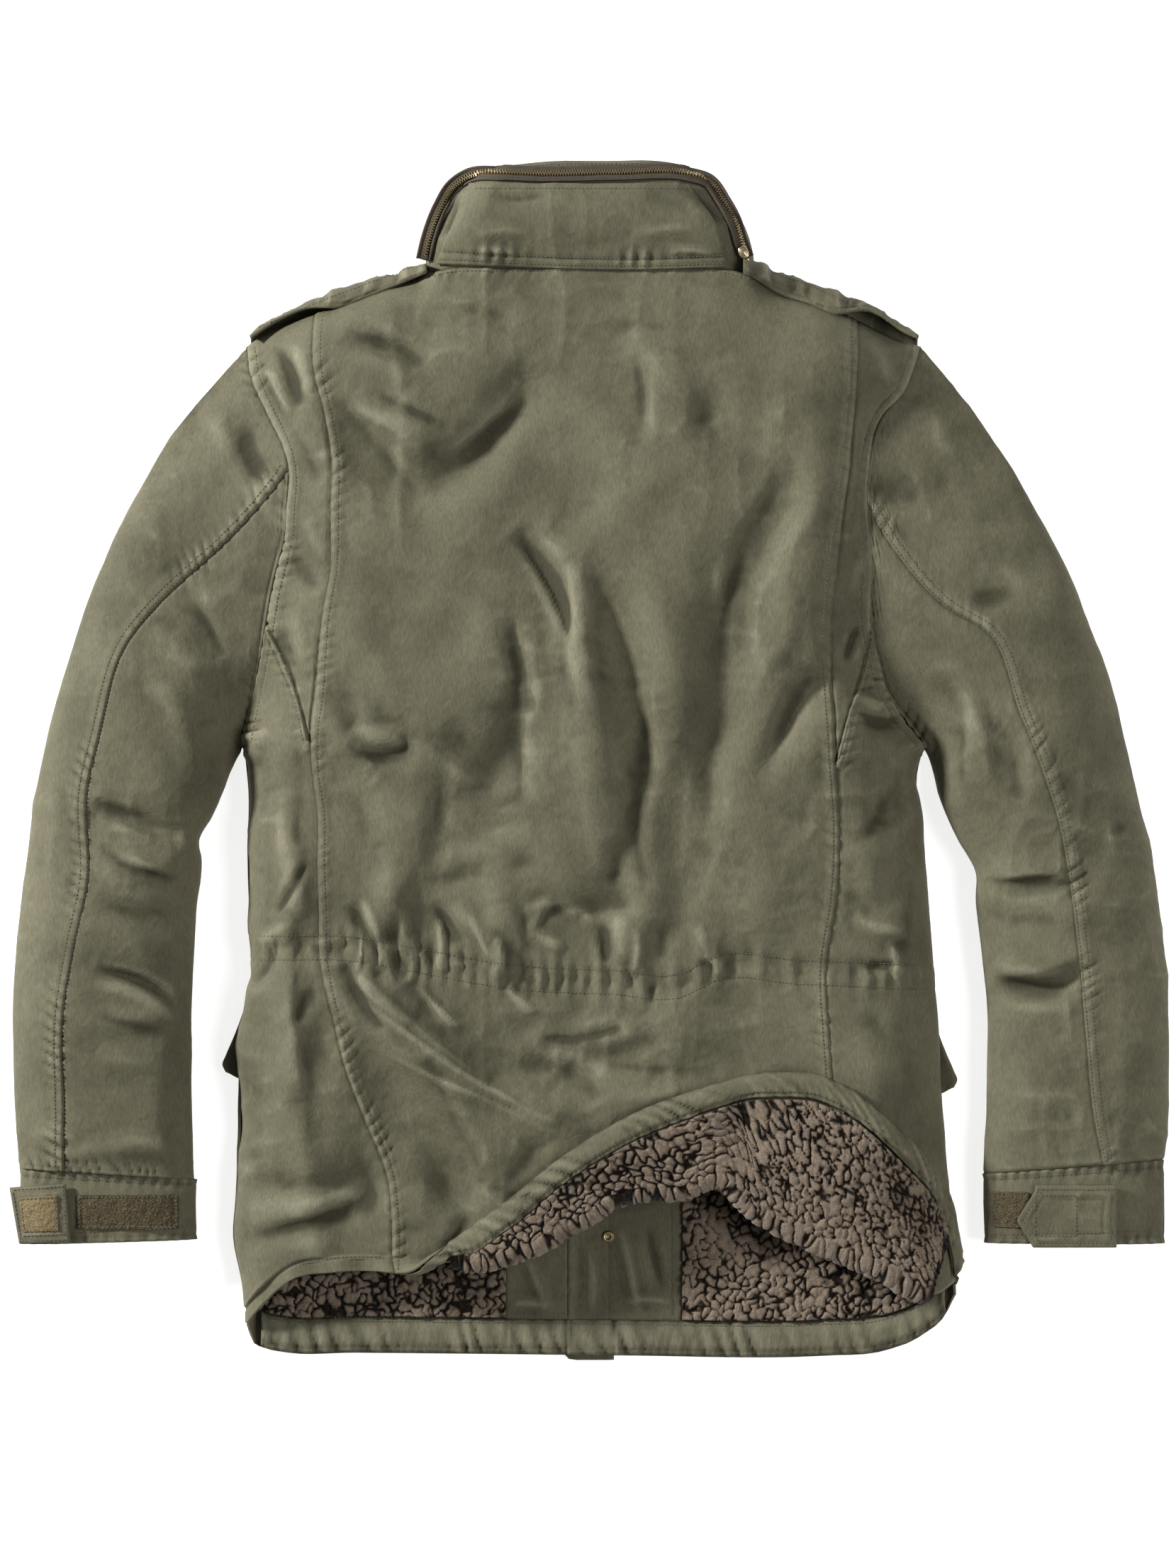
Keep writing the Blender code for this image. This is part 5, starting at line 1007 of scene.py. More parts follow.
def oval(tree):
    """One stitch: a sphere of few faces, which its scale draws out."""
    ball = tree.node("GeometryNodeMeshUVSphere", None, {"Segments": 6, "Rings": 4, "Radius": 0.5})
    return tree.node("GeometryNodeSetShadeSmooth", None, {"Geometry": ball})


def bevelled_block(tree):
    """One zip tooth: a square block that narrows upwards."""
    block = tree.node("GeometryNodeMeshCone", None, {"Vertices": 4, "Radius Top": 0.5, "Radius Bottom": 0.72,
                                                     "Depth": 1.0}, out="Mesh")
    return tree.node("GeometryNodeTransform", None, {"Geometry": block, "Rotation": (0, 0, math.pi / 4)})


def repeater(name, shape, material, sizes, uneven, seed):
    """Geometry Nodes that set a shape on every point of a mesh, turned to the point's own ahead and up."""
    group = bpy.data.node_groups.new(name, "GeometryNodeTree")
    group.interface.new_socket(name="Points", in_out="INPUT", socket_type="NodeSocketGeometry")
    for label, value in zip(("Length", "Width", "Height", "Uneven", "Seed"), (*sizes, uneven, seed)):
        kind = "NodeSocketInt" if label == "Seed" else "NodeSocketFloat"
        group.interface.new_socket(name=label, in_out="INPUT", socket_type=kind).default_value = value
    group.interface.new_socket(name="Mesh", in_out="OUTPUT", socket_type="NodeSocketGeometry")
    tree = Tree(group)
    given = tree.nodes.new("NodeGroupInput").outputs
    length, width, height, chance_by, draw = (Socket(tree, given[label])
                                              for label in ("Length", "Width", "Height", "Uneven", "Seed"))
    ahead, up = (tree.node("GeometryNodeInputNamedAttribute", {"data_type": "FLOAT_VECTOR"}, {"Name": label},
                           out="Attribute") for label in ("ahead", "up"))
    turn = tree.node("FunctionNodeAlignRotationToVector", {"axis": "X"}, {"Vector": ahead})
    turn = tree.node("FunctionNodeAlignRotationToVector", {"axis": "Z", "pivot_axis": "X"},
                     {"Rotation": turn, "Vector": up})
    chance = tree.node("FunctionNodeRandomValue", {"data_type": "FLOAT"},
                       {"Min": 1 - chance_by, "Max": 1 + chance_by, "Seed": draw}, out="Value")
    scale = tree.node("ShaderNodeCombineXYZ", None, {"X": length * chance, "Y": width, "Z": height * chance})
    placed = tree.node("GeometryNodeInstanceOnPoints", None,
                       {"Points": Socket(tree, given["Points"]), "Instance": shape(tree), "Rotation": turn,
                        "Scale": scale})
    whole = tree.node("GeometryNodeRealizeInstances", None, {"Geometry": placed})
    coloured = tree.node("GeometryNodeSetMaterial", None, {"Geometry": whole, "Material": material})
    tree.links.new(coloured.socket, tree.nodes.new("NodeGroupOutput").inputs["Mesh"])
    return group


def repeated(name, spots, shape, material, sizes, uneven=0.1, seed=5, body="parka"):
    """A plain mesh with one shape at each spot, given as (point, ahead, up), sizes in millimetres."""
    group = repeater(name + "_row", shape, material, [size * MM for size in sizes], uneven, seed)
    mesh = bpy.data.meshes.new(name + "_points")
    mesh.vertices.add(len(spots))
    spots = np.array(spots)
    mesh.vertices.foreach_set("co", (spots[:, 0] * MM).ravel())
    for label, values in (("ahead", spots[:, 1]), ("up", spots[:, 2])):
        layer = mesh.attributes.new(label, "FLOAT_VECTOR", "POINT")
        layer.data.foreach_set("vector", values.astype(np.float32).ravel())
    points = bpy.data.objects.new(name + "_points", mesh)
    bpy.context.scene.collection.objects.link(points)
    modifier = points.modifiers.new("row", "NODES")
    modifier.node_group = group
    for item in group.interface.items_tree:
        if item.item_type == "SOCKET" and item.in_out == "INPUT" and item.socket_type != "NodeSocketGeometry":
            modifier[item.identifier] = item.default_value
    seen = points.evaluated_get(bpy.context.evaluated_depsgraph_get())
    made = bpy.data.objects.new(name, bpy.data.meshes.new_from_object(seen))
    bpy.data.objects.remove(points)
    bpy.context.scene.collection.objects.link(made)
    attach(made, body)
    return made


def sew(name, surface, lines):
    """Thread along lines in the plan, laid on the cloth."""
    spots = []
    for line in lines:
        q, ahead = even_points(line, STITCH_PITCH)
        for (x, y), (ax, ay) in zip(q, ahead):
            found = surface.at(x, y)
            if found is not None:
                p, n = found
                a = np.array([ax, ay, 0.0])
                a -= n * (a @ n)
                spots.append((p + n * STITCH_ABOVE, a / np.linalg.norm(a), n))
    return repeated(name, spots, oval, THREAD, (STITCH_LONG, STITCH_WIDE, STITCH_HIGH))


# ---- materials ------------------------------------------------------------------------------------
class Socket:
    """A node's output. Arithmetic on it adds Math nodes to its tree."""

    def __init__(self, tree, socket):
        self.tree = tree
        self.socket = socket

    def math(self, operation, first, second):
        return self.tree.node("ShaderNodeMath", {"operation": operation}, {0: first, 1: second})

    def __add__(self, other):
        return self.math("ADD", self, other)

    def __radd__(self, other):
        return self.math("ADD", other, self)

    def __sub__(self, other):
        return self.math("SUBTRACT", self, other)

    def __rsub__(self, other):
        return self.math("SUBTRACT", other, self)

    def __mul__(self, other):
        return self.math("MULTIPLY", self, other)

    def __rmul__(self, other):
        return self.math("MULTIPLY", other, self)


class Tree:
    """A tree of nodes to which nodes are added with their settings and sockets."""

    def __init__(self, tree):
        self.nodes = tree.nodes
        self.links = tree.links

    def node(self, kind, settings=None, sockets=None, out=0):
        """Adds a node, its settings first and then its sockets' values or links. Gives one of its outputs."""
        made = self.nodes.new(kind)
        for name, value in (settings or {}).items():
            setattr(made, name, value)
        for name, value in (sockets or {}).items():
            self.put(made.inputs[name], value)
        return Socket(self, made.outputs[out])

    def put(self, target, value):
        if isinstance(value, Socket):
            self.links.new(value.socket, target)
        elif hasattr(value, "__len__") and len(value) == 3 and len(target.default_value) == 4:
            target.default_value = (*value, 1)
        else:
            target.default_value = value


class Look(Tree):
    """A material that is built up from the position on the object and the shade kept in its mesh."""

    def __init__(self, name):
        self.material = bpy.data.materials.new(name)
        self.material.use_nodes = True
        super().__init__(self.material.node_tree)
        self.shader = self.nodes["Principled BSDF"]
        self.place = self.node("ShaderNodeTexCoord", out="Object")
        self.shade = self.node("ShaderNodeAttribute", {"attribute_name": "shade"}, out="Fac")

    def surface(self, **values):
        """Sets the surface's sockets by name, with _ for a space."""
        for name, value in values.items():
            self.put(self.shader.inputs[name.replace("_", " ")], value)

    def moved(self, stretch=(1, 1, 1), turn=0.0):
        return self.node("ShaderNodeMapping", None,
                         {"Vector": self.place, "Scale": stretch, "Rotation": (0, 0, turn)})

    def noise(self, scale, detail=3.0, stretch=(1, 1, 1), turn=0.0, distortion=0.0):
        """Noise from 0 to 1, scale in lumps per metre."""
        return self.node("ShaderNodeTexNoise", None,
                         {"Vector": self.moved(stretch, turn), "Scale": scale, "Detail": detail,
                          "Distortion": distortion})

    def waves(self, scale, turn=0.0, distortion=0.0):
        return self.node("ShaderNodeTexWave", None,
                         {"Vector": self.moved(turn=turn), "Scale": scale, "Detail": 1.0,
                          "Distortion": distortion}, out="Fac")

    def cells(self, scale):
        return self.node("ShaderNodeTexVoronoi", None, {"Vector": self.place, "Scale": scale}, out="Distance")

    def between(self, value, low, high):
        """0 where a value is at low, 1 where it is at high, with soft ends."""
        return self.node("ShaderNodeMapRange", {"interpolation_type": "SMOOTHSTEP"},
                         {"Value": value, "From Min": low, "From Max": high})

    def mixed(self, factor, first, second, kind="MIX"):
        """A colour between two colours, or the second laid on the first in the way of kind."""
        return self.node("ShaderNodeMix", {"data_type": "RGBA", "blend_type": kind},
                         {"Factor": factor, "A": first, "B": second}, out="Result")

    def relief(self, *layers):
        """A normal from layers of (height, depth in metres, strength), the broadest last."""
        normal = None
        for height, depth, strength in layers:
            sockets = {"Height": height, "Distance": depth, "Strength": strength}
            if normal is not None:
                sockets["Normal"] = normal
            normal = self.node("ShaderNodeBump", None, sockets)
        return normal


def sateen(name, colour, pale, dark, rough=0.78):
    """Washed cotton sateen: painted shade in its furrows, paler crests that are partly wear and partly
    painted highlight, soft mottling and a fine slanting weave.
    """
    look = Look(name)
    mottle = look.noise(16, 4)
    wear = look.noise(95, 5)
    thread = look.noise(900, 2, (1.0, 0.22, 1.0), 0.5)
    rumple = look.noise(85, 3, distortion=1.0)
    weave = look.waves(260, 0.9, 0.6)
    tone = look.mixed(look.between(mottle, 0.25, 0.6) * 0.45 + 0.55, dark, colour)
    # painted shade: darker where the kept shade is below zero, in furrows and seam grooves
    tone = look.mixed(look.between(look.shade * -1.0 + wear * 0.3, 0.15, 1.5) * 0.9, tone, dark)
    # paler on the relief's crests: partly wear, partly painted highlight
    tone = look.mixed(look.between(look.shade + wear * 0.6, 0.35, 1.7) * 0.6, tone, pale)
    tone = look.mixed(look.between(wear, 0.45, 0.8) * 0.22, tone, dark)
    tone = look.mixed(0.12, tone, look.between(thread, 0.3, 0.7), "OVERLAY")
    look.surface(Base_Color=tone, Roughness=rough, Sheen_Weight=0.06, Sheen_Roughness=0.5, Sheen_Tint=pale,
                 Specular_IOR_Level=0.18,
                 Normal=look.relief((weave, 0.00012, 0.3), (thread, 0.0002, 0.25), (rumple, 0.0015, 0.45)))
    return look.material


def curly(name, deep, base, tip):
    """Curly pile: painted shade between its worms, and their tops pale and furry with painted highlight."""
    look = Look(name)
    height = look.shade * 0.5 + 0.5
    fibre = look.noise(1500, 4)
    lump = look.noise(300, 3)
    patch = look.noise(28, 3)
    # painted shade: the low places between the worms take the nearly black deep colour
    tone = look.mixed(look.between(height, 0.2, 0.8), deep, base)
    # painted highlight: the high tops take the pale tip colour
    tone = look.mixed(look.between(height + patch * 0.4, 0.65, 1.4), tone, tip)
    tone = look.mixed(0.35, tone, look.between(fibre, 0.3, 0.7), "OVERLAY")
    tone = look.mixed(look.between(lump, 0.4, 0.75) * 0.3, tone, base)
    look.surface(Base_Color=tone, Roughness=0.95, Sheen_Weight=0.12, Specular_IOR_Level=0.1,
                 Normal=look.relief((fibre, 0.0006, 0.9), (lump, 0.0012, 0.8)))
    return look.material


def woven(name, colour, dark, per_metre=700, rough=0.8):
    """Plain narrow-woven tape or thread."""
    look = Look(name)
    ribs = look.waves(per_metre, 0.4, 0.5)
    fluff = look.noise(600, 3)
    tone = look.mixed(look.between(ribs, 0.2, 0.8), dark, colour)
    tone = look.mixed(look.between(fluff, 0.4, 0.8) * 0.5, tone, dark)
    normal = look.relief((fluff, 0.0003, 0.6), (ribs, 0.0003, 0.6))
    look.surface(Base_Color=tone, Roughness=rough, Normal=normal)
    return look.material


def hooked(name, colour, dark, pale):
    """Hook-and-loop fastener: a bed of tiny loops."""
    look = Look(name)
    loops = look.cells(900)
    fluff = look.noise(700, 4)
    tone = look.mixed(look.between(loops, 0.05, 0.6), colour, dark)
    tone = look.mixed(look.between(fluff, 0.5, 0.8) * 0.7, tone, pale)
    normal = look.relief((loops, 0.0006, 0.8), (fluff, 0.0008, 0.9))
    look.surface(Base_Color=tone, Roughness=0.9, Normal=normal)
    return look.material


def metal(name, colour, tarnish, rough=0.35):
    """Brass with tarnish in spots and fine scratches."""
    look = Look(name)
    spots = look.noise(500, 4)
    scratch = look.noise(1800, 2, (1, 0.15, 1))
    worn = look.between(spots, 0.4, 0.65)
    tone = look.mixed(worn * 0.8, colour, tarnish)
    look.surface(Base_Color=tone, Metallic=1.0, Roughness=worn * 0.25 + rough,
                 Normal=look.relief((scratch, 0.0001, 0.4)))
    return look.material


SHELL_CLOTH = sateen("shell_sateen", (0.131, 0.122, 0.078), (0.250, 0.236, 0.164), (0.044, 0.041, 0.024))
# the facings' copy of the shell sateen, a little darker and with duller pale crests: painted shade
INSIDE_SHADED_CLOTH = sateen("inside_shaded_sateen", (0.125, 0.117, 0.076), (0.215, 0.203, 0.140), (0.052, 0.048, 0.029))
# the pile's first colour is painted shade for its cracks, its last the painted highlight of its tops
PILE_CLOTH = curly("curly_pile", (0.006, 0.004, 0.002), (0.067, 0.048, 0.033), (0.215, 0.168, 0.125))
TAPE_CLOTH = woven("zip_tape_weave", (0.092, 0.070, 0.046), (0.036, 0.026, 0.017))
HOOKS = hooked("hook_bed", (0.230, 0.176, 0.086), (0.150, 0.110, 0.050), (0.330, 0.266, 0.150))
LOOPS = hooked("loop_bed", (0.120, 0.088, 0.040), (0.045, 0.034, 0.015), (0.210, 0.165, 0.085))
THREAD = woven("sewing_thread", (0.190, 0.179, 0.120), (0.080, 0.074, 0.046), 2500, 0.7)
BRASS = metal("aged_brass", (0.52, 0.42, 0.25), (0.12, 0.09, 0.05), 0.38)
PALE_BRASS = metal("bright_brass", (0.62, 0.52, 0.34), (0.30, 0.23, 0.13), 0.25)


# ---- back -----------------------------------------------------------------------------------------
PRINCESS_LEFT_LINE = sampled(PRINCESS_L, 1, 330, -366)
PRINCESS_RIGHT_LINE = sampled(PRINCESS_R, 1, 330, -345)
UNDERARM_LEFT_LINE = sampled(UNDERARM_L, 1, 98, 15)
UNDERARM_RIGHT_LINE = sampled(UNDERARM_R, 1, 92, 1)
ARMHOLE_LEFT_LINE = sampled(ARMHOLE_L, 1, 296, 12)
ARMHOLE_RIGHT_LINE = sampled(ARMHOLE_R, 1, 296, 12)
COLLAR_LINE = sampled(TOP_EDGE, 0, -112, 114)
ARM_SEAM_LEFT = sleeve_seam(SLEEVE_L, -1)
ARM_SEAM_RIGHT = sleeve_seam(SLEEVE_R, 1)
CUFF_SEAM_LEFT = np.array([(-408, -289.5), (-345, -293.5), (-280, -297.5)], float)
CUFF_SEAM_RIGHT = np.array([(411, -283.5), (345, -288.5), (280, -293.5)], float)
SEAMS_BODY = [            # line, raised side, band, step, pucker, wave, seed
    (PRINCESS_LEFT_LINE, 1, 6.0, 0.7, 0.75, 9.0, 1), (PRINCESS_RIGHT_LINE, -1, 6.0, 0.7, 0.55, 10.0, 2),
    (UNDERARM_LEFT_LINE, -1, 5.0, 0.6, 0.9, 8.0, 3), (UNDERARM_RIGHT_LINE, 1, 5.0, 0.6, 0.8, 8.0, 4),
    (ARMHOLE_LEFT_LINE, 1, 6.5, 0.7, 1.0, 8.5, 5), (ARMHOLE_RIGHT_LINE, -1, 6.5, 0.7, 1.0, 8.5, 6),
    (COLLAR_LINE, -1, 4.0, 0.2, 0.45, 9.0, 7)]
SEAMS_ARM = [
    (ARM_SEAM_LEFT, -1, 7.5, 0.8, 1.0, 8.5, 11), (ARM_SEAM_RIGHT, 1, 7.5, 0.8, 0.9, 9.0, 12),
    (ARMHOLE_LEFT_LINE, -1, 4.0, 0.1, 0.9, 8.5, 13), (ARMHOLE_RIGHT_LINE, 1, 4.0, 0.1, 0.9, 8.5, 14),
    (CUFF_SEAM_LEFT, 1, 4.0, 0.2, 0.8, 8.0, 15), (CUFF_SEAM_RIGHT, 1, 4.0, 0.2, 0.8, 8.0, 16)]


def back_fine(p, u, v):
    """Relief of the back; past the flat part only the hem's own puckers are left."""
    x, y = p[..., 0], p[..., 1]
    flat = 1 - ease((v - 1.0) * 5)
    hem = noise(x, y, 24, 6) * 0.6 + 0.7 * np.sin(x / 5.2 + 2 * noise(x, y * 0, 40, 7)) * ease((v - 1.3) * 3)
    return body_relief(x, y) * flat + hem * (1 - flat) * 0.8


def shoulder_fine(p, u, v):
    return body_relief(p[..., 0], p[..., 1])


ARMHOLE_LAP = 1.2        # of the shoulder pieces over the sleeves
TUCK = 5.0               # how far the sides reach in under the sleeves


def under_sleeve(y):
    return TUCK * ease((y - 6) / 16) * (1 - ease((y - 82) / 12))


def back_pieces():
    princess_l = lambda y: across(PRINCESS_L, y)
    princess_r = lambda y: across(PRINCESS_R, y)
    under_l = lambda y: np.where(y > 15, across(UNDERARM_L, y), across(PRINCESS_L, y))
    under_r = lambda y: np.where(y > 1, across(UNDERARM_R, y), across(PRINCESS_R, y))
    arm_l = lambda y: np.where(y > 98, across(ARMHOLE_L, y), across(UNDERARM_L, y)) - ARMHOLE_LAP
    arm_r = lambda y: np.where(y > 92, across(ARMHOLE_R, y), across(UNDERARM_R, y)) + ARMHOLE_LAP
    top = lambda x: along(TOP_EDGE, x)
    level = lambda height: (lambda x: np.full(np.shape(x), float(height)))
    hem = 1 + np.concatenate([np.linspace(0, 0.4, 9)[1:], steps(0.4, 1.0, 100)[1:]])
    side_v = np.concatenate([steps(0, 1, 445), hem])
    side_l = back_place(lambda y: left_edge(y) - under_sleeve(y), under_l, level(94))
    side_r = back_place(under_r, lambda y: right_edge(y) + under_sleeve(y), level(88))
    centre = back_place(princess_l, princess_r, top)
    left = 1 - np.cos(np.pi / 2 * steps(0, 1, 100))
    right = np.sin(np.pi / 2 * steps(0, 1, 100))
    made = [
        cloth("back_centre", centre, steps(0, 1, 372), np.concatenate([steps(0, 1, 700), hem]), SHELL_CLOTH,
              relief=back_fine),
        cloth("back_side_left", side_l, left, side_v, SHELL_CLOTH, relief=back_fine),
        cloth("back_side_right", side_r, right, side_v, SHELL_CLOTH, relief=back_fine),
        cloth("back_shoulder_left", back_place(arm_l, princess_l, top, False, level(16)), steps(0, 1, 48),
              steps(0, 1, 300), SHELL_CLOTH, relief=shoulder_fine),
        cloth("back_shoulder_right", back_place(princess_r, arm_r, top, False, level(3)), steps(0, 1, 42),
              steps(0, 1, 300), SHELL_CLOTH, relief=shoulder_fine)]
    return made


# ---- turned-up hem --------------------------------------------------------------------------------
def hem_strip(low, high, inside=0.0):
    """A strip on the back's hem: u is x at the fold, v from 0 to 1 runs from low to high on the turned part,
    and v below 0 runs in under the flat part."""
    def place(u, v):
        start = fold_line(u) + TAIL
        y = start + np.minimum(v, 0) * -inside
        back = np.stack([u, y, back_height(u, y) - 1.6 * ease(-v * 2)], axis=-1)
        return np.where((v < 0)[..., None], back, turned_path(u, mix(low, high, np.clip(v, 0, 1))))
    return place


def pile_fine(deep):
    """Relief of curly pile on a piece whose lengths along u and v are measured on its own points."""
    def relief(p, u, v):
        s, t = lengths(p, 1), lengths(p, 0)
        lumps = pile_height(s + deep, t + deep) * 1.6
        return lumps + 0.9 * noise(s, t, 21, deep) + 0.25 * noise(s, t, 2.6, deep + 1)
    return relief


def band_fine(wave, height, swell):
    """Relief of a narrow bound edge: a soft roll, slanting puckers and a stitch line at its inner side."""
    def relief(p, u, v):
        s = lengths(p, 1)
        w = (v - v.min()) / (v.max() - v.min())
        roll = swell * np.sin(np.pi * np.clip(w, 0, 1)) ** 0.6
        phase = (s + 9 * w) / wave + 0.8 * noise(s, s * 0, 27, 3)
        slant = 1 - 2 * np.abs(np.sin(np.pi * phase)) ** 0.6
        amount = height * np.clip(0.55 + 0.9 * noise(s, s * 0 + 5, 22, 4), 0, 1.3)
        fine = 0.35 * np.sin(2 * np.pi * (s - 5 * w) / 5.3 + 3 * noise(s, s * 0, 16, 8)) * (1 - w)
        line = -0.9 * np.exp(-((w - 0.16) / 0.06) ** 2)
        return roll - slant * amount * (1 - 0.55 * w) + fine + line + 0.5 * noise(s, w * 18, 9, 2)
    return relief


def turned_pile_fine(p, u, v):
    """The pile on the turned-up hem, which thins out towards its ends."""
    return pile_fine(3)(p, u, v) - 3.0 * (1 - ease((u + 99) / 14) * ease((243 - u) / 6))


def hem_pieces():
    bound = np.linspace(-238, 256, int(560 / GRAIN))
    made = [cloth("hem_binding_back", hem_strip(0.8, 1.0), bound, steps(0, 1, 20, 1.2), SHELL_CLOTH,
                  face=-4.9, back=-3.0, look=-1, ref=(1, 0.5), relief=band_fine(14.0, 1.5, 2.2),
                  name="hem_binding_cloth")]
    lined = np.linspace(-99, 243, int(385 / PILE_GRAIN))
    rows = np.concatenate([steps(-1, 0, 40, 4.0)[:-1], steps(0, 1, 120, PILE_GRAIN)])
    lining = hem_strip(0.0, 0.79, 40.0)
    base = cloth("lining_back", lining, np.linspace(-99, 243, 126), steps(-1, 1, 160, 3.0), PILE_CLOTH,
                 face=-4.2, back=-3.0, ref=(30, -0.5))
    fleece = pile("lining_back_pile", base, lining, lined, rows, -7.2, 1, (30, -0.5), turned_pile_fine,
                  PILE_CLOTH)
    return made + [base, fleece]


# ---- fronts ---------------------------------------------------------------------------------------
FRONT_MEET = -16.3       # x where the right front laps over the left one
FACING_LEFT = -60.0      # facings run from here
FACING_RIGHT = 66.0      # to here


def front_fine(p, u, v):
    return cloth_noise(p[..., 0], p[..., 1], 0.2) * 0.4


def facing_fine(p, u, v):
    x, y = p[..., 0], p[..., 1]
    placket = 0.9 * ease((x + 16.5) / 1.5) * (1 - ease((x + 11.0) / 1.5))
    lines = -0.9 * np.exp(-((x - 14) / 0.8) ** 2) - 0.9 * np.exp(-((x - 59) / 0.8) ** 2)
    folds = crease_height(x, y, FACING_CREASES)
    return cloth_noise(x, y, 0.25) * 1.1 + placket + lines + folds


def hem_facing_fine(p, u, v):
    """The hem's facing: a bound edge that the storm fly's end crosses between its two stitched lines."""
    x = p[..., 0]
    fly = ease((x + 17.6) / 0.8) * (1 - ease((x - 15.8) / 0.8))
    edges = np.exp(-((x + 17.9) / 0.8) ** 2) + 0.7 * np.exp(-((x - 16.9) / 0.8) ** 2)
    sewn = sum(np.exp(-((x - at) / 0.7) ** 2) for at in (-59.6, -13.6, 58.6))
    return band_fine(15.0, 1.8, 3.2)(p, u, v) * (1 - 0.5 * fly) + 1.1 * fly - 2.4 * edges - 0.9 * sewn


FACING_CREASES = [
    (20, -330, 28, -360, 34, -398, 5, 2.4, 1), (40, -330, 44, -356, 52, -380, 4, -2.0, 0),
    (-50, -350, -40, -372, -30, -396, 5, 1.8, -1), (-2, -345, 2, -370, 0, -396, 4, 1.6, 0),
    (-58, -388, -44, -384, -30, -390, 3, 1.6, 0), (22, -386, 40, -381, 58, -388, 3, 1.8, 0)]


def strip(x_from, x_to, y_from, y_to):
    def place(u, v):
        x = mix(x_from, x_to, u)
        y = mix(y_from(x), y_to(x), v)
        return np.stack([x, y, front_height(x, y)], axis=-1)
    return place


def front_pieces():
    top = lambda x: along(NECKLINE, x) - 0.3
    low = lambda x: along(FRONT_HEM, x)
    meet = lambda y: np.full(np.shape(y), FRONT_MEET)
    rim = 0.12 * spread(9, low=True)
    u_left = np.concatenate([rim, np.linspace(0.13, 1, 26)])
    made = [
        cloth("front_left", front_place(left_edge, meet, top, low), u_left, steps(0, 1, 700, 7), SHELL_CLOTH,
              look=-1, ref=(0.7, 0.6), relief=front_fine),
        cloth("front_right", front_place(meet, right_edge, top, low), 1 - u_left[::-1], steps(0, 1, 700, 7),
              SHELL_CLOTH, look=-1, ref=(0.3, 0.6), relief=front_fine)]
    band_low = lambda x: along(FRONT_HEM, x) + 0.8
    band_top = lambda x: along(FRONT_HEM, x) + FRONT_BAND
    above = lambda x: along(FRONT_HEM, x) + FRONT_BAND + 0.6
    fleece_end = lambda x: along(FRONT_HEM, x) + FRONT_BAND + 1.5
    deep = lambda x: np.full(np.shape(x), -215.0)
    neck = lambda x: along(NECKLINE, x) - 6
    made.append(cloth("hem_binding_front", strip(-236, 256, band_low, band_top), steps(0, 1, 500),
                      steps(0, 1, 26), INSIDE_SHADED_CLOTH, face=-4.9, back=-3.0, look=-1, ref=(0.5, 0.5),
                      relief=hem_facing_fine, name="hem_facing_cloth"))
    rows = np.concatenate([steps(0, 0.62, 110, PILE_GRAIN)[:-1], steps(0.62, 1, 70, 2.5)])
    for side, low_x, high_x, seed in (("left", -232, FACING_LEFT - 0.3, 9),
                                      ("right", FACING_RIGHT + 0.3, 240, 17)):
        lining = strip(low_x, high_x, fleece_end, deep)
        base = cloth("lining_front_" + side, lining, steps(0, 1, 170, 4), steps(0, 1, 180, 4), PILE_CLOTH,
                     face=-4.2, back=-3.0, look=-1, ref=(0.5, 0.5))
        fleece = pile("lining_front_" + side + "_pile", base, lining, steps(0, 1, 170, PILE_GRAIN), rows,
                      -7.4, -1, (0.5, 0.5), pile_fine(seed), PILE_CLOTH)
        made += [base, fleece]
    facing_rows = np.concatenate([steps(0, 0.3, 210), steps(0.3, 1, 490, 8)[1:]])
    for side, low_x, high_x, wide in (("left", FACING_LEFT, FRONT_MEET, 44),
                                      ("right", FRONT_MEET, FACING_RIGHT, 82)):
        made.append(cloth("facing_" + side, strip(low_x, high_x, above, neck), steps(0, 1, wide),
                          facing_rows, INSIDE_SHADED_CLOTH, face=-4.95, back=-3.0, look=-1, ref=(0.5, 0.5),
                          relief=facing_fine))
    return made


def flat_place(low_x, high_x, low_y, high_y):
    def place(u, v):
        x = mix(low_x(v), high_x(v), u)
        return np.stack([x, mix(high_y, low_y, v), np.zeros(x.shape)], axis=-1)
    return place


def bag_fine(p, u, v):
    """The bottom lies on the table, so only its rim rolls up."""
    return -0.05 * (1 + noise(p[..., 0], p[..., 1], 30, 2))


def under_pieces():
    """Fly and pocket bags, which lie on the table."""
    made = []

    def fly(u, v):
        x = mix(-52.0, 17.0, u)
        y = mix(282.0, -421.0 - 6.4 * ease((x + 18) / 4), v)
        return np.stack([x, y, np.zeros(x.shape)], axis=-1)
    made.append(cloth("storm_fly", fly, steps(0, 1, 69, 5), steps(0, 1, 709, 7), SHELL_CLOTH, face=0.0,
                      back=-TRIM, look=-1, ref=(0.5, 0.5), relief=bag_fine, closed=True))
    left = flat_place(lambda v: mix(-236, -232, v), lambda v: -98 + 0 * v, -373, -229)
    right = flat_place(lambda v: 98 + 0 * v, lambda v: mix(237, 232, v), -378, -242)
    for side, place, node in (("left", left, "pocket_left"), ("right", right, "pocket_right")):
        made.append(cloth(node, place, steps(0, 1, 138, 6), steps(0, 1, 140, 6), SHELL_CLOTH, face=0.0,
                          back=-TRIM, look=-1, ref=(0.5, 0.5), relief=bag_fine, closed=True))
    for side, top in ((-1, -176.0), (1, -187.0)):
        node = "pocket_flap_left" if side < 0 else "pocket_flap_right"
        made.append(cloth(node, flap_place(side, top), steps(0, 1, 160, 1.6), steps(0, 1, 60, 1.5),
                          SHELL_CLOTH, face=TRIM, back=0.1, relief=flap_fine, closed=True))
    return made


FLAP_EDGE = [(0.0, 247.5), (0.2, 251), (0.45, 255.5), (0.75, 260.5), (0.9, 262.5), (1.0, 260.5)]  # share
FLAP_INNER = 96.0        # of the way down, how far out the flap reaches; and where it starts
FLAP_LENGTH = 50.0
FLAP_SLOPE = 5.0         # how much shorter the flap is at its outer corner


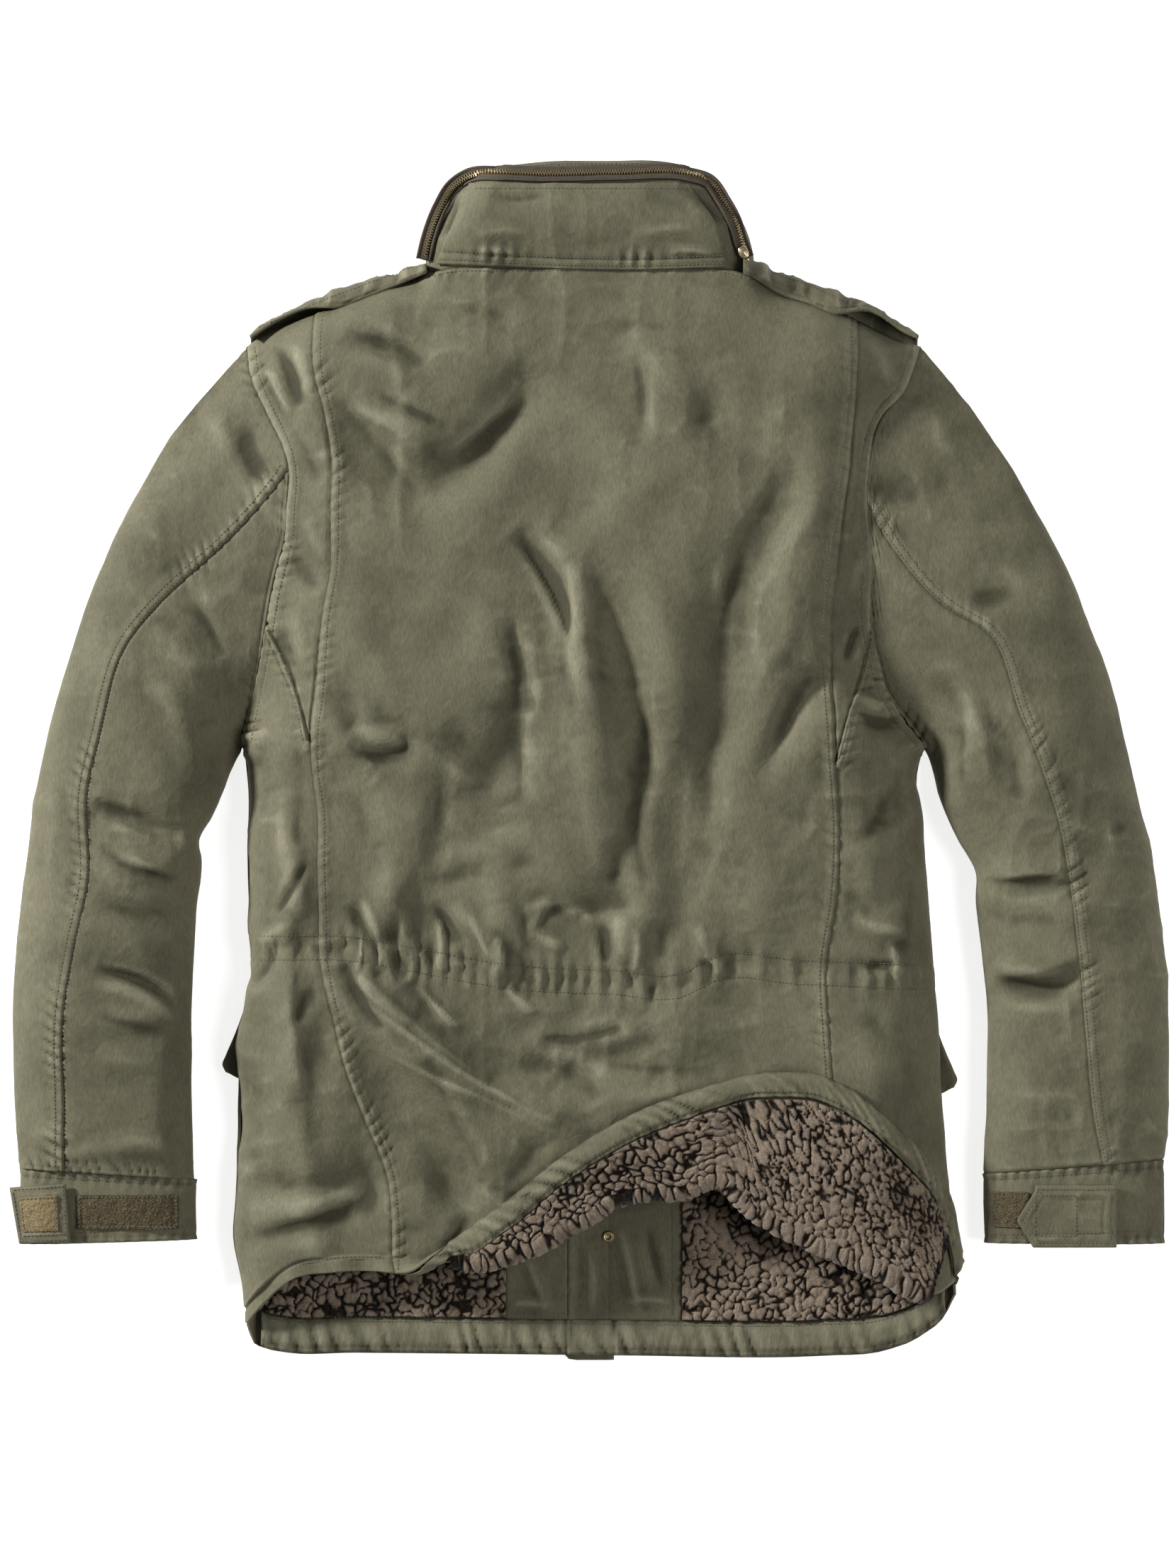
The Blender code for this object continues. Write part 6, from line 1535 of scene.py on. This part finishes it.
def flap_place(side, top):
    def place(u, v):
        out = mix(FLAP_INNER, column(FLAP_EDGE, 0, 1, v), u)
        y = top - v * (FLAP_LENGTH - FLAP_SLOPE * ease((out - 250) / 12))
        return np.stack([side * out, y, 6.5 * ease((out - 243) / 20)], axis=-1)
    return place


def flap_fine(p, u, v):
    edge = np.minimum(1 - u, 0.5) * 160
    line = -0.35 * np.exp(-((edge - 5.5) / 0.8) ** 2)
    return line + 0.25 * ease((6 - edge) / 4)


# ---- sleeves and cuffs ----------------------------------------------------------------------------
def arm_fine(turn):
    """Relief of a sleeve's upper side, which fades out at its folds. u runs over the fold at turn."""
    def relief(p, u, v):
        upper = 1 - ease((u - turn + 0.04) * 12)
        under = ease((u - turn - 0.1) * 8)
        plain = cloth_noise(p[..., 0], p[..., 1], 0.3) * 0.3
        return arm_relief(p[..., 0], p[..., 1]) * upper + plain * under
    return relief


def arm_pieces(name, table, side):
    last = len(table) - 1
    v = steps(0, 1, 640)

    def over(u, v):
        k = v * last
        share_of_seam = smooth(range(len(table)), [row[5] for row in table], k) - SEAM / 2 / 130
        share = np.where(u < 1, share_of_seam * (1 - u), (UNDER_SHARE - SEAM / 2 / 130) * (u - 1))
        return sleeve_point(table, side, share, k, u > 1)

    def under(u, v):
        k = v * last
        share_of_seam = smooth(range(len(table)), [row[5] for row in table], k) + SEAM / 2 / 130
        share = np.where(u < 1, mix(share_of_seam, 1, u), 1 - (1 - UNDER_SHARE - SEAM / 2 / 130) * (u - 1))
        return sleeve_point(table, side, share, k, u > 1)

    outer_wide = 50 if side < 0 else 64
    inner_wide = 100 if side < 0 else 76
    u_over = np.concatenate([spread(int(outer_wide * 1.3 / GRAIN), high=True), 1 + spread(12, low=True)[1:]])
    u_under = np.concatenate([spread(int(inner_wide * 1.3 / GRAIN), high=True), 1 + spread(9, low=True)[1:]])
    return [
        cloth("sleeve_outer_" + name, over, u_over, v, SHELL_CLOTH, ref=(0.0, 0.6), relief=arm_fine(1.0)),
        cloth("sleeve_under_" + name, under, u_under, v, SHELL_CLOTH, ref=(0.0, 0.6), relief=arm_fine(1.0))]


def cuff_fine(p, u, v):
    y = p[..., 1]
    upper = 1 - ease((u - 0.96) * 12)
    low = np.minimum(np.abs(v - 1), np.abs(v)) * 50
    rim = 0.5 * np.exp(-(low / 2.0) ** 2)
    line = -0.7 * np.exp(-((v * 50 - 5) / 0.9) ** 2) - 0.7 * np.exp(-(((1 - v) * 50 - 5) / 0.9) ** 2)
    ripple = np.sin(p[..., 0] * 2 * np.pi / 8.5 + 2 * noise(p[..., 0], y, 25, 4))
    pucker = 0.7 * ripple * np.exp(-(v * 50 / 8) ** 2) + 0.5 * ripple * np.exp(-((1 - v) * 50 / 6) ** 2)
    return (cloth_noise(p[..., 0], y, 0.3) * 0.7 + pucker) * upper + line + rim


NEARLY = 0.00001         # how far short of its start a cuff's tube ends, so that its rims don't fall together


def cuff_piece(name, table):
    last = len(table) - 1

    def place(u, v):
        k = v * last
        ox, oy, ix, iy, crown = columns_at(table, k, range(5))
        share = np.where(u < 1, u, 2 - u)
        width = np.abs(ix - ox)
        near = np.minimum(share, 1 - share) * width
        top = cuff_top(crown, near, width)
        low = SLEEVE_SIDE_Z * (1 - rounded(near / 22))
        return np.stack([mix(ox, ix, share), mix(oy, iy, share), np.where(u > 1, low, top)], axis=-1)

    u = np.concatenate([spread(int(190 / GRAIN), True, True), 1 + spread(28, True, True)[1:]])
    u[0], u[-1] = NEARLY, 2 - NEARLY
    return cloth("cuff_" + name, place, u, steps(0, 1, 50), SHELL_CLOTH, ref=(0.5, 0.5), relief=cuff_fine,
                 closed=True)


def four_corners(corners, height):
    c = np.array(corners, float)

    def place(u, v):
        x = mix(mix(c[0, 0], c[1, 0], u), mix(c[3, 0], c[2, 0], u), v)
        y = mix(mix(c[0, 1], c[1, 1], u), mix(c[3, 1], c[2, 1], u), v)
        return np.stack([x, y, height(x, y)], axis=-1)
    return place


def tab_fine(long, wide):
    """Relief of a small stitched tab: a stitch line inside its edge, and a soft middle."""
    def relief(p, u, v):
        edge = np.minimum(np.minimum(u, 1 - u) * long, np.minimum(v, 1 - v) * wide)
        line = -0.8 * np.exp(-((edge - 3.4) / 0.9) ** 2) - 0.7 * np.exp(-((edge - 9.5) / 1.0) ** 2)
        soft = 0.7 * crumple(p[..., 0], p[..., 1], 16, 6) * ease(edge / 5)
        return line + 0.8 * ease(edge / 1.8) - 0.6 + soft
    return relief


def bed_fine(p, u, v):
    """Relief of a hook or loop bed: rough, with its sewn rim pressed in."""
    x, y = p[..., 0], p[..., 1]
    edge = np.minimum(np.minimum(u, 1 - u) * 40, np.minimum(v, 1 - v) * 24)
    return 0.35 * noise(x, y, 1.5, 3) + 0.3 * noise(x, y, 5, 4) - 0.45 * np.exp(-((edge - 2.0) / 0.9) ** 2)


def cuff_pieces():
    made = [cuff_piece("left", CUFF_L), cuff_piece("right", CUFF_R)]
    tab_z = lambda x, y: CUFF_L[0][4] + 1.2 - 8 * ease((-384 - x) / 32)
    tab = four_corners([(-413, -303), (-373, -300), (-370, -341), (-406, -342)], tab_z)
    made.append(cloth("cuff_tab_left", tab, steps(0, 1, 41, 1.4), steps(0, 1, 40, 1.4), SHELL_CLOTH,
                      face=TRIM, back=0.1, relief=tab_fine(41, 40), closed=True))
    hook_z = lambda x, y: tab_z(x, y) + TRIM + GAP
    hook = four_corners([(-406, -310), (-379, -308), (-378, -333), (-403, -334)], hook_z)
    made.append(cloth("cuff_hook_left", hook, steps(0, 1, 27, 0.8), steps(0, 1, 25, 0.8), HOOKS, face=1.1,
                      back=0.0, relief=bed_fine, closed=True,
                      name="cuff_hook_cloth"))
    loop_l = lambda x, y: cuff_height(CUFF_L, x, y) + 2 * GAP
    loop = four_corners([(-364.5, -308), (-293, -308), (-293, -332), (-364.5, -332)], loop_l)
    made.append(cloth("cuff_loop_left", loop, steps(0, 1, 72, 0.9), steps(0, 1, 24, 0.9), LOOPS, face=1.0,
                      back=0.0, relief=bed_fine, closed=True))
    loop_r = lambda x, y: cuff_height(CUFF_R, x, y) + 2 * GAP
    dark = four_corners([(288, -306), (312, -306), (312, -331), (288, -331)], loop_r)
    made.append(cloth("cuff_loop_right", dark, steps(0, 1, 24, 0.9), steps(0, 1, 25, 0.9), LOOPS, face=1.0,
                      back=0.0, relief=bed_fine, closed=True))
    over_r = lambda x, y: cuff_height(CUFF_R, x, y) + 4 * GAP + 1.0
    tip = lambda y: 1 - np.abs(y + 326) / 21

    def tab_right(u, v):
        y = mix(-301.0, -345.0, v)
        x = mix(304 + 13 * np.clip(1 - tip(y), 0, 1), 374.5, u)
        return np.stack([x, y, over_r(x, y)], axis=-1)
    made.append(cloth("cuff_tab_right", tab_right, steps(0, 1, 70, 1.4), steps(0, 1, 44, 1.4), SHELL_CLOTH,
                      face=TRIM, back=0.1, relief=tab_fine(70, 44), closed=True))
    return made


# ---- collar ---------------------------------------------------------------------------------------
def collar_height(x, y):
    """Height of the collar's upper layer."""
    low = along(TOP_EDGE, x) + SEAM
    r = np.clip((y - low) / (along(COLLAR_TOP, x) - low), 0, 1)
    left, right = column(COLLAR_SIDE, 0, 1, r), column(COLLAR_SIDE, 0, 2, r)
    near = np.clip(np.minimum(x - left, right - x), 0, None)
    peak = column(COLLAR_BACK_Z, 0, 1, r)
    return SHOULDER_Z + (peak - SHOULDER_Z) * rounded(near / 34)


def collar_fine(p, u, v):
    x, y = p[..., 0], p[..., 1]
    crease = crease_height(x, y, COLLAR_CREASES)
    return cloth_noise(x, y, 0.3) * 0.6 + crease


COLLAR_CREASES = [
    (-84, 372, -60, 380, -40, 376, 5, 1.6, 0), (-30, 398, 0, 390, 30, 394, 6, 1.4, 0),
    (30, 372, 60, 384, 84, 376, 5, 1.8, 0), (-70, 400, -50, 394, -30, 402, 5, -1.4, 0),
    (40, 400, 62, 396, 74, 386, 5, -1.6, 0), (-84, 362, -70, 366, -50, 360, 4, 1.2, 0),
    (56, 362, 72, 366, 90, 360, 4, 1.4, 0), (-20, 368, 10, 372, 30, 366, 6, -1.2, 0),
    (62, 410, 84, 396, 92, 380, 5, -3.6, 0), (-92, 404, -98, 388, -104, 372, 5, -2.6, 0),
    (96, 396, 104, 380, 108, 366, 4, 1.4, 0)]


def cover_fine(p, u, v):
    x, y = p[..., 0], p[..., 1]
    above = y - along(COVER_LOW, x)
    line = -1.0 * np.exp(-((above - 7.6) / 0.9) ** 2) - 0.6 * np.exp(-((above - 2.2) / 0.8) ** 2)
    band = 0.5 * ease((8.5 - above) / 2)
    pucker = 1.1 * np.sin(x * 2 * np.pi / 9.5 + 2 * noise(x, y, 30, 3)) * np.exp(-((above - 8) / 6) ** 2)
    pucker *= 0.5 + 0.6 * noise(x, y * 0, 26, 9)
    crease = crease_height(x, y, COLLAR_CREASES)
    return line + band + pucker + cloth_noise(x, y, 0.45) * 0.8 + crease


def collar_pieces():
    def place(u, v):
        left, right = column(COLLAR_SIDE, 0, 1, v), column(COLLAR_SIDE, 0, 2, v)
        back = (u >= 1) & (u <= 2)
        x = np.where(u < 1, mix(FRONT_MEET, left, u),
                     np.where(u > 2, mix(right, FRONT_MEET + 1.0, u - 2), mix(left, right, u - 1)))
        base = np.where(back, along(TOP_EDGE, x), along(NECKLINE, x)) + SEAM
        y = mix(base, along(COLLAR_TOP, x), v)
        near = np.clip(np.minimum(x - left, right - x), 0, None)
        peak = column(COLLAR_BACK_Z, 0, 1, v)
        top = SHOULDER_Z + (peak - SHOULDER_Z) * rounded(near / 34)
        low = COLLAR_FRONT_Z + (SHOULDER_Z - COLLAR_FRONT_Z) * (1 - rounded(near / 26))
        return np.stack([x, y, np.where(back, top, low)], axis=-1)

    u = np.concatenate([spread(24, high=True), 1 + spread(int(230 / GRAIN), True, True)[1:],
                        2 + spread(24, low=True)[1:]])
    made = [cloth("collar_stand", place, u, steps(0, 1, 78), SHELL_CLOTH, back=-3.0, ref=(1.5, 0.5),
                  relief=collar_fine, closed=True)]

    def cover(u, v):
        side_y = mix(410, 353, v)
        left, right = column(COVER_SIDE, 0, 1, side_y), column(COVER_SIDE, 0, 2, side_y)
        x = mix(left, right, u)
        y = mix(410.0, along(COVER_LOW, x), v)
        return np.stack([x, y, collar_height(x, y) + 3 * GAP], axis=-1)
    made.append(cloth("collar_cover", cover, steps(0, 1, 200, 1.5), steps(0, 1, 60, 1.5), SHELL_CLOTH,
                      face=TRIM, back=0.2, relief=cover_fine, closed=True))
    return made


# ---- zip ------------------------------------------------------------------------------------------
def ribbon(route, width, height):
    """A flat strip along a route: u across it, v along it."""
    p = np.array(route, float)
    length = lengths(p)

    def place(u, v):
        def centre(t):
            t = np.clip(t, 0, 1) * length[-1]
            return np.stack([smooth(length, p[:, 0], t), smooth(length, p[:, 1], t)], axis=-1)
        ahead = centre(v + 0.01) - centre(v - 0.01)
        ahead /= np.linalg.norm(ahead, axis=-1, keepdims=True)
        mid = centre(v)
        x = mid[..., 0] - ahead[..., 1] * (u - 0.5) * width
        y = mid[..., 1] + ahead[..., 0] * (u - 0.5) * width
        inner_x, inner_y = mix(mid[..., 0], 0, 0.1), mix(mid[..., 1], 380, 0.1)
        return np.stack([x, y, np.maximum(height(x, y), height(inner_x, inner_y) - 10)], axis=-1)
    return place


def tape_fine(p, u, v):
    """Relief of the zip's tape: a rib beside the teeth and one at each edge."""
    w = (u - 0.5) * ZIP_WIDTH
    rib = 0.7 * np.exp(-((np.abs(w) - 4.9) / 0.6) ** 2) - 0.6 * np.exp(-((np.abs(w) - 3.4) / 0.6) ** 2)
    return rib + 0.12 * np.sin(v * 900) + 0.2 * noise(v * 300, w, 6, 3)


def frame_at(place, v, across_share=0.5):
    """Point, direction and normal on a ribbon at share v."""
    one = np.array([v])
    u = np.array([across_share])
    p = place(u, one)[0]
    ahead = place(u, np.minimum(one + 0.004, 1))[0] - place(u, np.maximum(one - 0.004, 0))[0]
    ahead /= np.linalg.norm(ahead)
    side = place(u + 0.2, one)[0] - place(u - 0.2, one)[0]
    n = np.cross(side, ahead)
    n /= np.linalg.norm(n)
    return p, ahead, n if n[2] > 0 else -n


TOOTH_PITCH = 1.9
TOOTH = (2.8, 1.15, 1.3)
TOOTH_LIFT = 1.45        # of a tooth's foot over the tape's underside


def zip_pieces():
    place = ribbon(ZIP_PATH, ZIP_WIDTH, lambda x, y: collar_height(x, y) + 4 * GAP)
    cloth("collar_zip_tape", place, steps(0, 1, ZIP_WIDTH, 0.7), steps(0, 1, 330, 1.2), TAPE_CLOTH, face=1.4,
          back=0.0, relief=tape_fine, closed=True,
          name="zip_tape_cloth")
    p = np.array(ZIP_PATH, float)
    length = np.linalg.norm(np.diff(p, axis=0), axis=1).sum()
    count = int(length * 0.97 / TOOTH_PITCH)
    spots = []
    for i in range(count):
        for half in (0, 1):
            v = 0.012 + (i + half * 0.5) * TOOTH_PITCH / length
            q, a, n = frame_at(place, v)
            side = np.cross(n, a)
            spots.append((q + n * TOOTH_LIFT + side * (0.8 if half else -0.8), side, n))
    repeated("zip_teeth", spots, bevelled_block, BRASS, TOOTH, 0.04)


def turned_block(name, middle, edges, profile, material):
    """A hard piece from a plan profile of half widths along its length, in a frame of three vectors."""
    along_it, side, up = edges
    points, faces = [], []
    for level, inset in ((-0.5, 0.10), (-0.36, 0.0), (0.36, 0.0), (0.5, 0.12)):
        ring = [(a, w) for a, w in profile] + [(a, -w) for a, w in reversed(profile)]
        points += [middle + along_it * a * (1 - inset) + side * w * (1 - inset) + up * level for a, w in ring]
    n = 2 * len(profile)
    for r in range(3):
        for i in range(n):
            j = (i + 1) % n
            faces.append([n * r + i, n * r + j, n * r + n + j, n * r + n + i])
    faces.append(list(range(n))[::-1])
    faces.append([3 * n + i for i in range(n)])
    return new_mesh(name, np.array(points), faces, material)


def slider_pieces():
    """The zip's slider and its pull, on the solids' own places."""
    low, high = (np.array(c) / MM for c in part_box("zip_slider"))
    turn = math.radians(-64)
    ahead = np.array([math.cos(turn), math.sin(turn), 0.0])
    side = np.array([-ahead[1], ahead[0], 0.0])
    up = np.array([0.0, 0.0, 1.0])
    middle = (low + high) / 2
    body = turned_block("zip_slider_body", middle, (ahead * 9.0, side * 7.0, up * (high - low)[2]),
                        [(-0.5, 0.22), (-0.42, 0.36), (-0.2, 0.47), (0.1, 0.5), (0.38, 0.36), (0.5, 0.24)],
                        PALE_BRASS)
    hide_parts("zip_slider")
    bridge = turned_block("zip_slider_bridge", middle + up * ((high - low)[2] / 2 + 0.3),
                          (ahead * 5.6, side * 1.9, up * 1.5),
                          [(-0.5, 0.3), (-0.4, 0.5), (0.4, 0.5), (0.5, 0.3)], PALE_BRASS)
    for made in (body, bridge):
        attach(made, "parka")
    joint = frame["joints"][0]
    hinge = np.array(joint["pos_m"]) / MM
    sag = math.radians(-28)
    out = ahead * math.cos(sag) + up * math.sin(sag)
    over = up * math.cos(sag) - ahead * math.sin(sag)
    pull = turned_block("zip_pull_tag", hinge + out * 4.0, (out * 8.0, side * 4.2, over * 1.4),
                        [(-0.5, 0.24), (-0.44, 0.34), (-0.2, 0.30), (0.1, 0.42), (0.42, 0.5), (0.5, 0.34)],
                        PALE_BRASS)
    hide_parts("zip_pull")
    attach(pull, "pull")


def snap_pieces():
    """The snap on the right facing: a turned cap with a dimple, on a thin washer."""
    low, high = (np.array(c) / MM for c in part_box("snap"))
    middle = (low + high) / 2
    profile = [(0.0, 0.55), (1.1, 0.5), (1.6, 0.7), (2.3, 1.75), (3.0, 1.95), (3.6, 1.6), (3.8, 0.8),
               (4.3, 0.7), (4.5, 0.4), (4.5, 0.0)]
    turn = np.linspace(0, 2 * np.pi, 40, endpoint=False)
    points = [(middle[0] + max(r, 0.02) * math.cos(t), middle[1] + max(r, 0.02) * math.sin(t), low[2] + h)
              for r, h in profile for t in turn]
    faces = grid_faces(len(profile), 40)
    i = np.arange(len(profile) * 40).reshape(len(profile), 40)
    closing = np.stack([i[:-1, -1], i[:-1, 0], i[1:, 0], i[1:, -1]], axis=-1)
    made = new_mesh("snap_cap", np.array(points), np.concatenate([faces, closing]), BRASS)
    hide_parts("snap")
    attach(made, "parka")


# ---- shoulder straps ------------------------------------------------------------------------------
STRAP_RISE = 17.0        # how far above and below the shoulder fold a strap's bow reaches
# x, and how far out of the fold the strap's bow reaches
STRAP_LEFT = [(-242, 5.0), (-230, 8.4), (-201, 11.0), (-172, 10.5), (-145, 8.7), (-116, 4.5)]
STRAP_RIGHT = [(118, 9.0), (130, 12.0), (160, 12.0), (184, 15.4), (210, 16.5), (224, 10), (234, 6.0)]


def strap_fine(p, u, v):
    """Relief of a strap: a stitch line inside each edge and cross creases where it bends."""
    edge = np.minimum(v, 1 - v) * 60
    along_it = u * 122
    ripple = np.sin(along_it / 2.1 + 3 * noise(along_it, v * 9, 30, 2))
    crumpled = 1.6 * noise(along_it, v * 24, 13, 5) + 0.9 * crumple(along_it, v * 30, 8, 2) + 0.3 * ripple
    return 0.4 * ease(edge / 2.5) - 0.7 * np.exp(-((edge - 4.5) / 0.9) ** 2) + crumpled * ease(edge / 6)


def strap_pieces():
    made = []
    for name, table, x_outer, x_inner in (("left", STRAP_LEFT, -242, -116), ("right", STRAP_RIGHT, 234, 109)):
        def place(u, v, table=table, x_outer=x_outer, x_inner=x_inner):
            x = mix(x_outer, x_inner, u)
            upper = mix(46.0, 114.0, ease((u - 0.25) / 0.3))
            angle = np.radians(mix(upper, -115.0, v))
            y = along(TOP_EDGE, x) + 2.6 + along(table, x) * np.cos(angle)
            middle = mix(SHOULDER_Z, 39.0, at_neck(x))
            return np.stack([x, y, middle + STRAP_RISE * np.sin(angle)], axis=-1)
        made.append(cloth("shoulder_strap_" + name, place, steps(0, 1, 124, 1.3), steps(0, 1, 60, 1.2),
                          SHELL_CLOTH, face=0.0, back=-TRIM, ref=(0.5, 0.3), relief=strap_fine, closed=True))
    return made


# ---- sewing ---------------------------------------------------------------------------------------
def line_of(table, low, high, away=0.0):
    """Plan points of a tabled line that runs across, between two x, moved up by away."""
    x = np.linspace(low, high, max(2, int(abs(high - low) / 4)))
    return np.stack([x, along(table, x) + away], axis=-1)


def hem_line_points(low, high, t):
    """Plan points at share t of the path over the hem, between two x."""
    x = np.linspace(low, high, int(abs(high - low) / 3))
    return turned_path(x, np.full(x.shape, t))[:, :2]


def closed_line(corners, inset=0.0):
    c = np.array(corners, float)
    c = c + (c.mean(axis=0) - c) * inset
    return np.concatenate([c, c[:1]])


def sewing(body, arms, cuffs, collar, straps, hem, fronts):
    lines = [shifted(PRINCESS_LEFT_LINE, 4.6), shifted(PRINCESS_RIGHT_LINE, -4.6),
             shifted(UNDERARM_LEFT_LINE, -3.6), shifted(UNDERARM_RIGHT_LINE, 3.6),
             shifted(ARMHOLE_LEFT_LINE, 5.2), shifted(ARMHOLE_RIGHT_LINE, -5.2),
             shifted(COLLAR_LINE, -2.4),
             line_of(CHANNEL, -236, 236, 8.5), line_of(CHANNEL, -236, 236, -8.5)]
    sew("stitches_back", Surface(body), lines)
    arm_lines = [shifted(ARM_SEAM_LEFT, -1.6), shifted(ARM_SEAM_LEFT, -6.2), shifted(ARM_SEAM_RIGHT, 1.6),
                 shifted(ARM_SEAM_RIGHT, 6.2)]
    sew("stitches_sleeves", Surface(arms), arm_lines)
    cuff_lines = [[(-404, -294.5), (-283, -301)], [(-404, -337), (-283, -330.5)],
                  [(407, -288.5), (283, -297.5)], [(407, -333.5), (284, -336.5)],
                  closed_line([(-411, -304.5), (-375, -301.5), (-372, -339.5), (-405, -340)]),
                  closed_line([(-404.5, -311), (-380, -309.5), (-379.5, -332), (-402.5, -332.8)]),
                  closed_line([(-363, -309.5), (-294.5, -309.5), (-294.5, -330.5), (-363, -330.5)]),
                  closed_line([(289.5, -307.5), (303, -307.5), (303, -329.5), (289.5, -329.5)]),
                  closed_line([(317, -308), (346, -308), (346, -337), (317, -337)]),
                  [(373, -304), (322, -304), (307.5, -326), (320, -342), (373, -342)]]
    sew("stitches_cuffs", Surface(cuffs), cuff_lines)
    collar_lines = [line_of(COVER_LOW, -105, 94, 7.6), line_of(COVER_LOW, -105, 94, 2.2),
                    [(-82, 407), (68, 407)], line_of(COLLAR_TOP, -84, 84, -2.4)]
    sew("stitches_collar", Surface(collar), collar_lines)
    strap_lines = [line_of(TOP_EDGE, -236, -124, 9.0), line_of(TOP_EDGE, 128, 226, 12.0)]
    sew("stitches_straps", Surface(straps), strap_lines)
    hem_lines = [hem_line_points(-90, 256, 0.845), hem_line_points(-238, -150, 0.2)]
    sew("stitches_hem", Surface(hem + body[:3]), hem_lines)
    front_lines = [[(-230, -397), (-61, -397.5)], [(14, -250), (14, -396)], [(59, -250), (59, -396)],
                   line_of(FRONT_HEM, -232, 250, 22.5)]
    sew("stitches_fronts", Surface(fronts), front_lines)


# ---- stage, light and camera ----------------------------------------------------------------------
PIXEL = 0.505            # millimetres of the garment to one picture pixel
PICTURE = (1659, 2212)
MIDDLE = (-1.3, -15.4)   # the picture's middle in the garment's frame
CAMERA_UP = 6.0          # metres above the table
SHARP_AT = 0.03          # height at which the scale is exact, in metres
TABLE_HALF = 6.0         # metres from the table's middle to its edge
TABLE_Z = -0.0015        # its top, just below the lowest cloth
SENSOR = 36.0            # millimetres


def stage():
    mesh = bpy.data.meshes.new("table")
    corners = [(x * TABLE_HALF, y * TABLE_HALF, TABLE_Z) for x, y in ((-1, -1), (1, -1), (1, 1), (-1, 1))]
    mesh.from_pydata(corners, [], [(0, 1, 2, 3)])
    floor = bpy.data.objects.new("table", mesh)
    bpy.context.scene.collection.objects.link(floor)
    white = bpy.data.materials.new("white_table")
    white.use_nodes = True
    shader = white.node_tree.nodes["Principled BSDF"]
    shader.inputs["Base Color"].default_value = (0.9, 0.9, 0.9, 1)
    shader.inputs["Roughness"].default_value = 0.9
    shader.inputs["Emission Color"].default_value = (1, 1, 1, 1)
    shader.inputs["Emission Strength"].default_value = 0.75
    mesh.materials.append(white)
    floor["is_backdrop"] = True


def area_light(name, place, size, power, colour=(1, 1, 1)):
    data = bpy.data.lights.new(name, "AREA")
    data.size = size
    data.energy = power
    data.color = colour
    made = bpy.data.objects.new(name, data)
    made.location = place
    made.rotation_euler = (-Vector(place)).to_track_quat("-Z", "Y").to_euler()
    bpy.context.scene.collection.objects.link(made)


def lights():
    world = bpy.data.worlds.new("studio")
    world.use_nodes = True
    world.node_tree.nodes["Background"].inputs["Color"].default_value = (1, 1, 1, 1)
    world.node_tree.nodes["Background"].inputs["Strength"].default_value = 0.2
    bpy.context.scene.world = world
    area_light("key", (-4.7, 2.1, 2.2), 0.7, 525)
    area_light("fill", (2.2, -0.2, 2.8), 1.5, 56)
    bpy.context.scene.view_settings.view_transform = "Standard"


def camera():
    data = bpy.data.cameras.new("camera")
    data.sensor_width = SENSOR
    height = PICTURE[1] * PIXEL * MM
    data.lens = SENSOR * (CAMERA_UP - SHARP_AT) / height
    data.clip_end = 50
    made = bpy.data.objects.new("camera", data)
    made.location = (MIDDLE[0] * MM, MIDDLE[1] * MM, CAMERA_UP)
    bpy.context.scene.collection.objects.link(made)
    bpy.context.scene.camera = made


def main():
    under_pieces()
    fronts = front_pieces()
    body = back_pieces()
    hem = hem_pieces()
    arms = arm_pieces("left", SLEEVE_L, -1) + arm_pieces("right", SLEEVE_R, 1)
    cuffs = cuff_pieces()
    collar = collar_pieces()
    zip_pieces()
    slider_pieces()
    snap_pieces()
    straps = strap_pieces()
    sewing(body, arms, cuffs, collar, straps, hem, fronts)
    stage()
    lights()
    camera()
    low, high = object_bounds()
    {"cad": [list(c) for c in CAD_BOX], "visual": [list(low), list(high)]}
    total = 0
    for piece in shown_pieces():
        piece.data.calc_loop_triangles()
        total += len(piece.data.loop_triangles)
    print("triangles shown", total)


main()
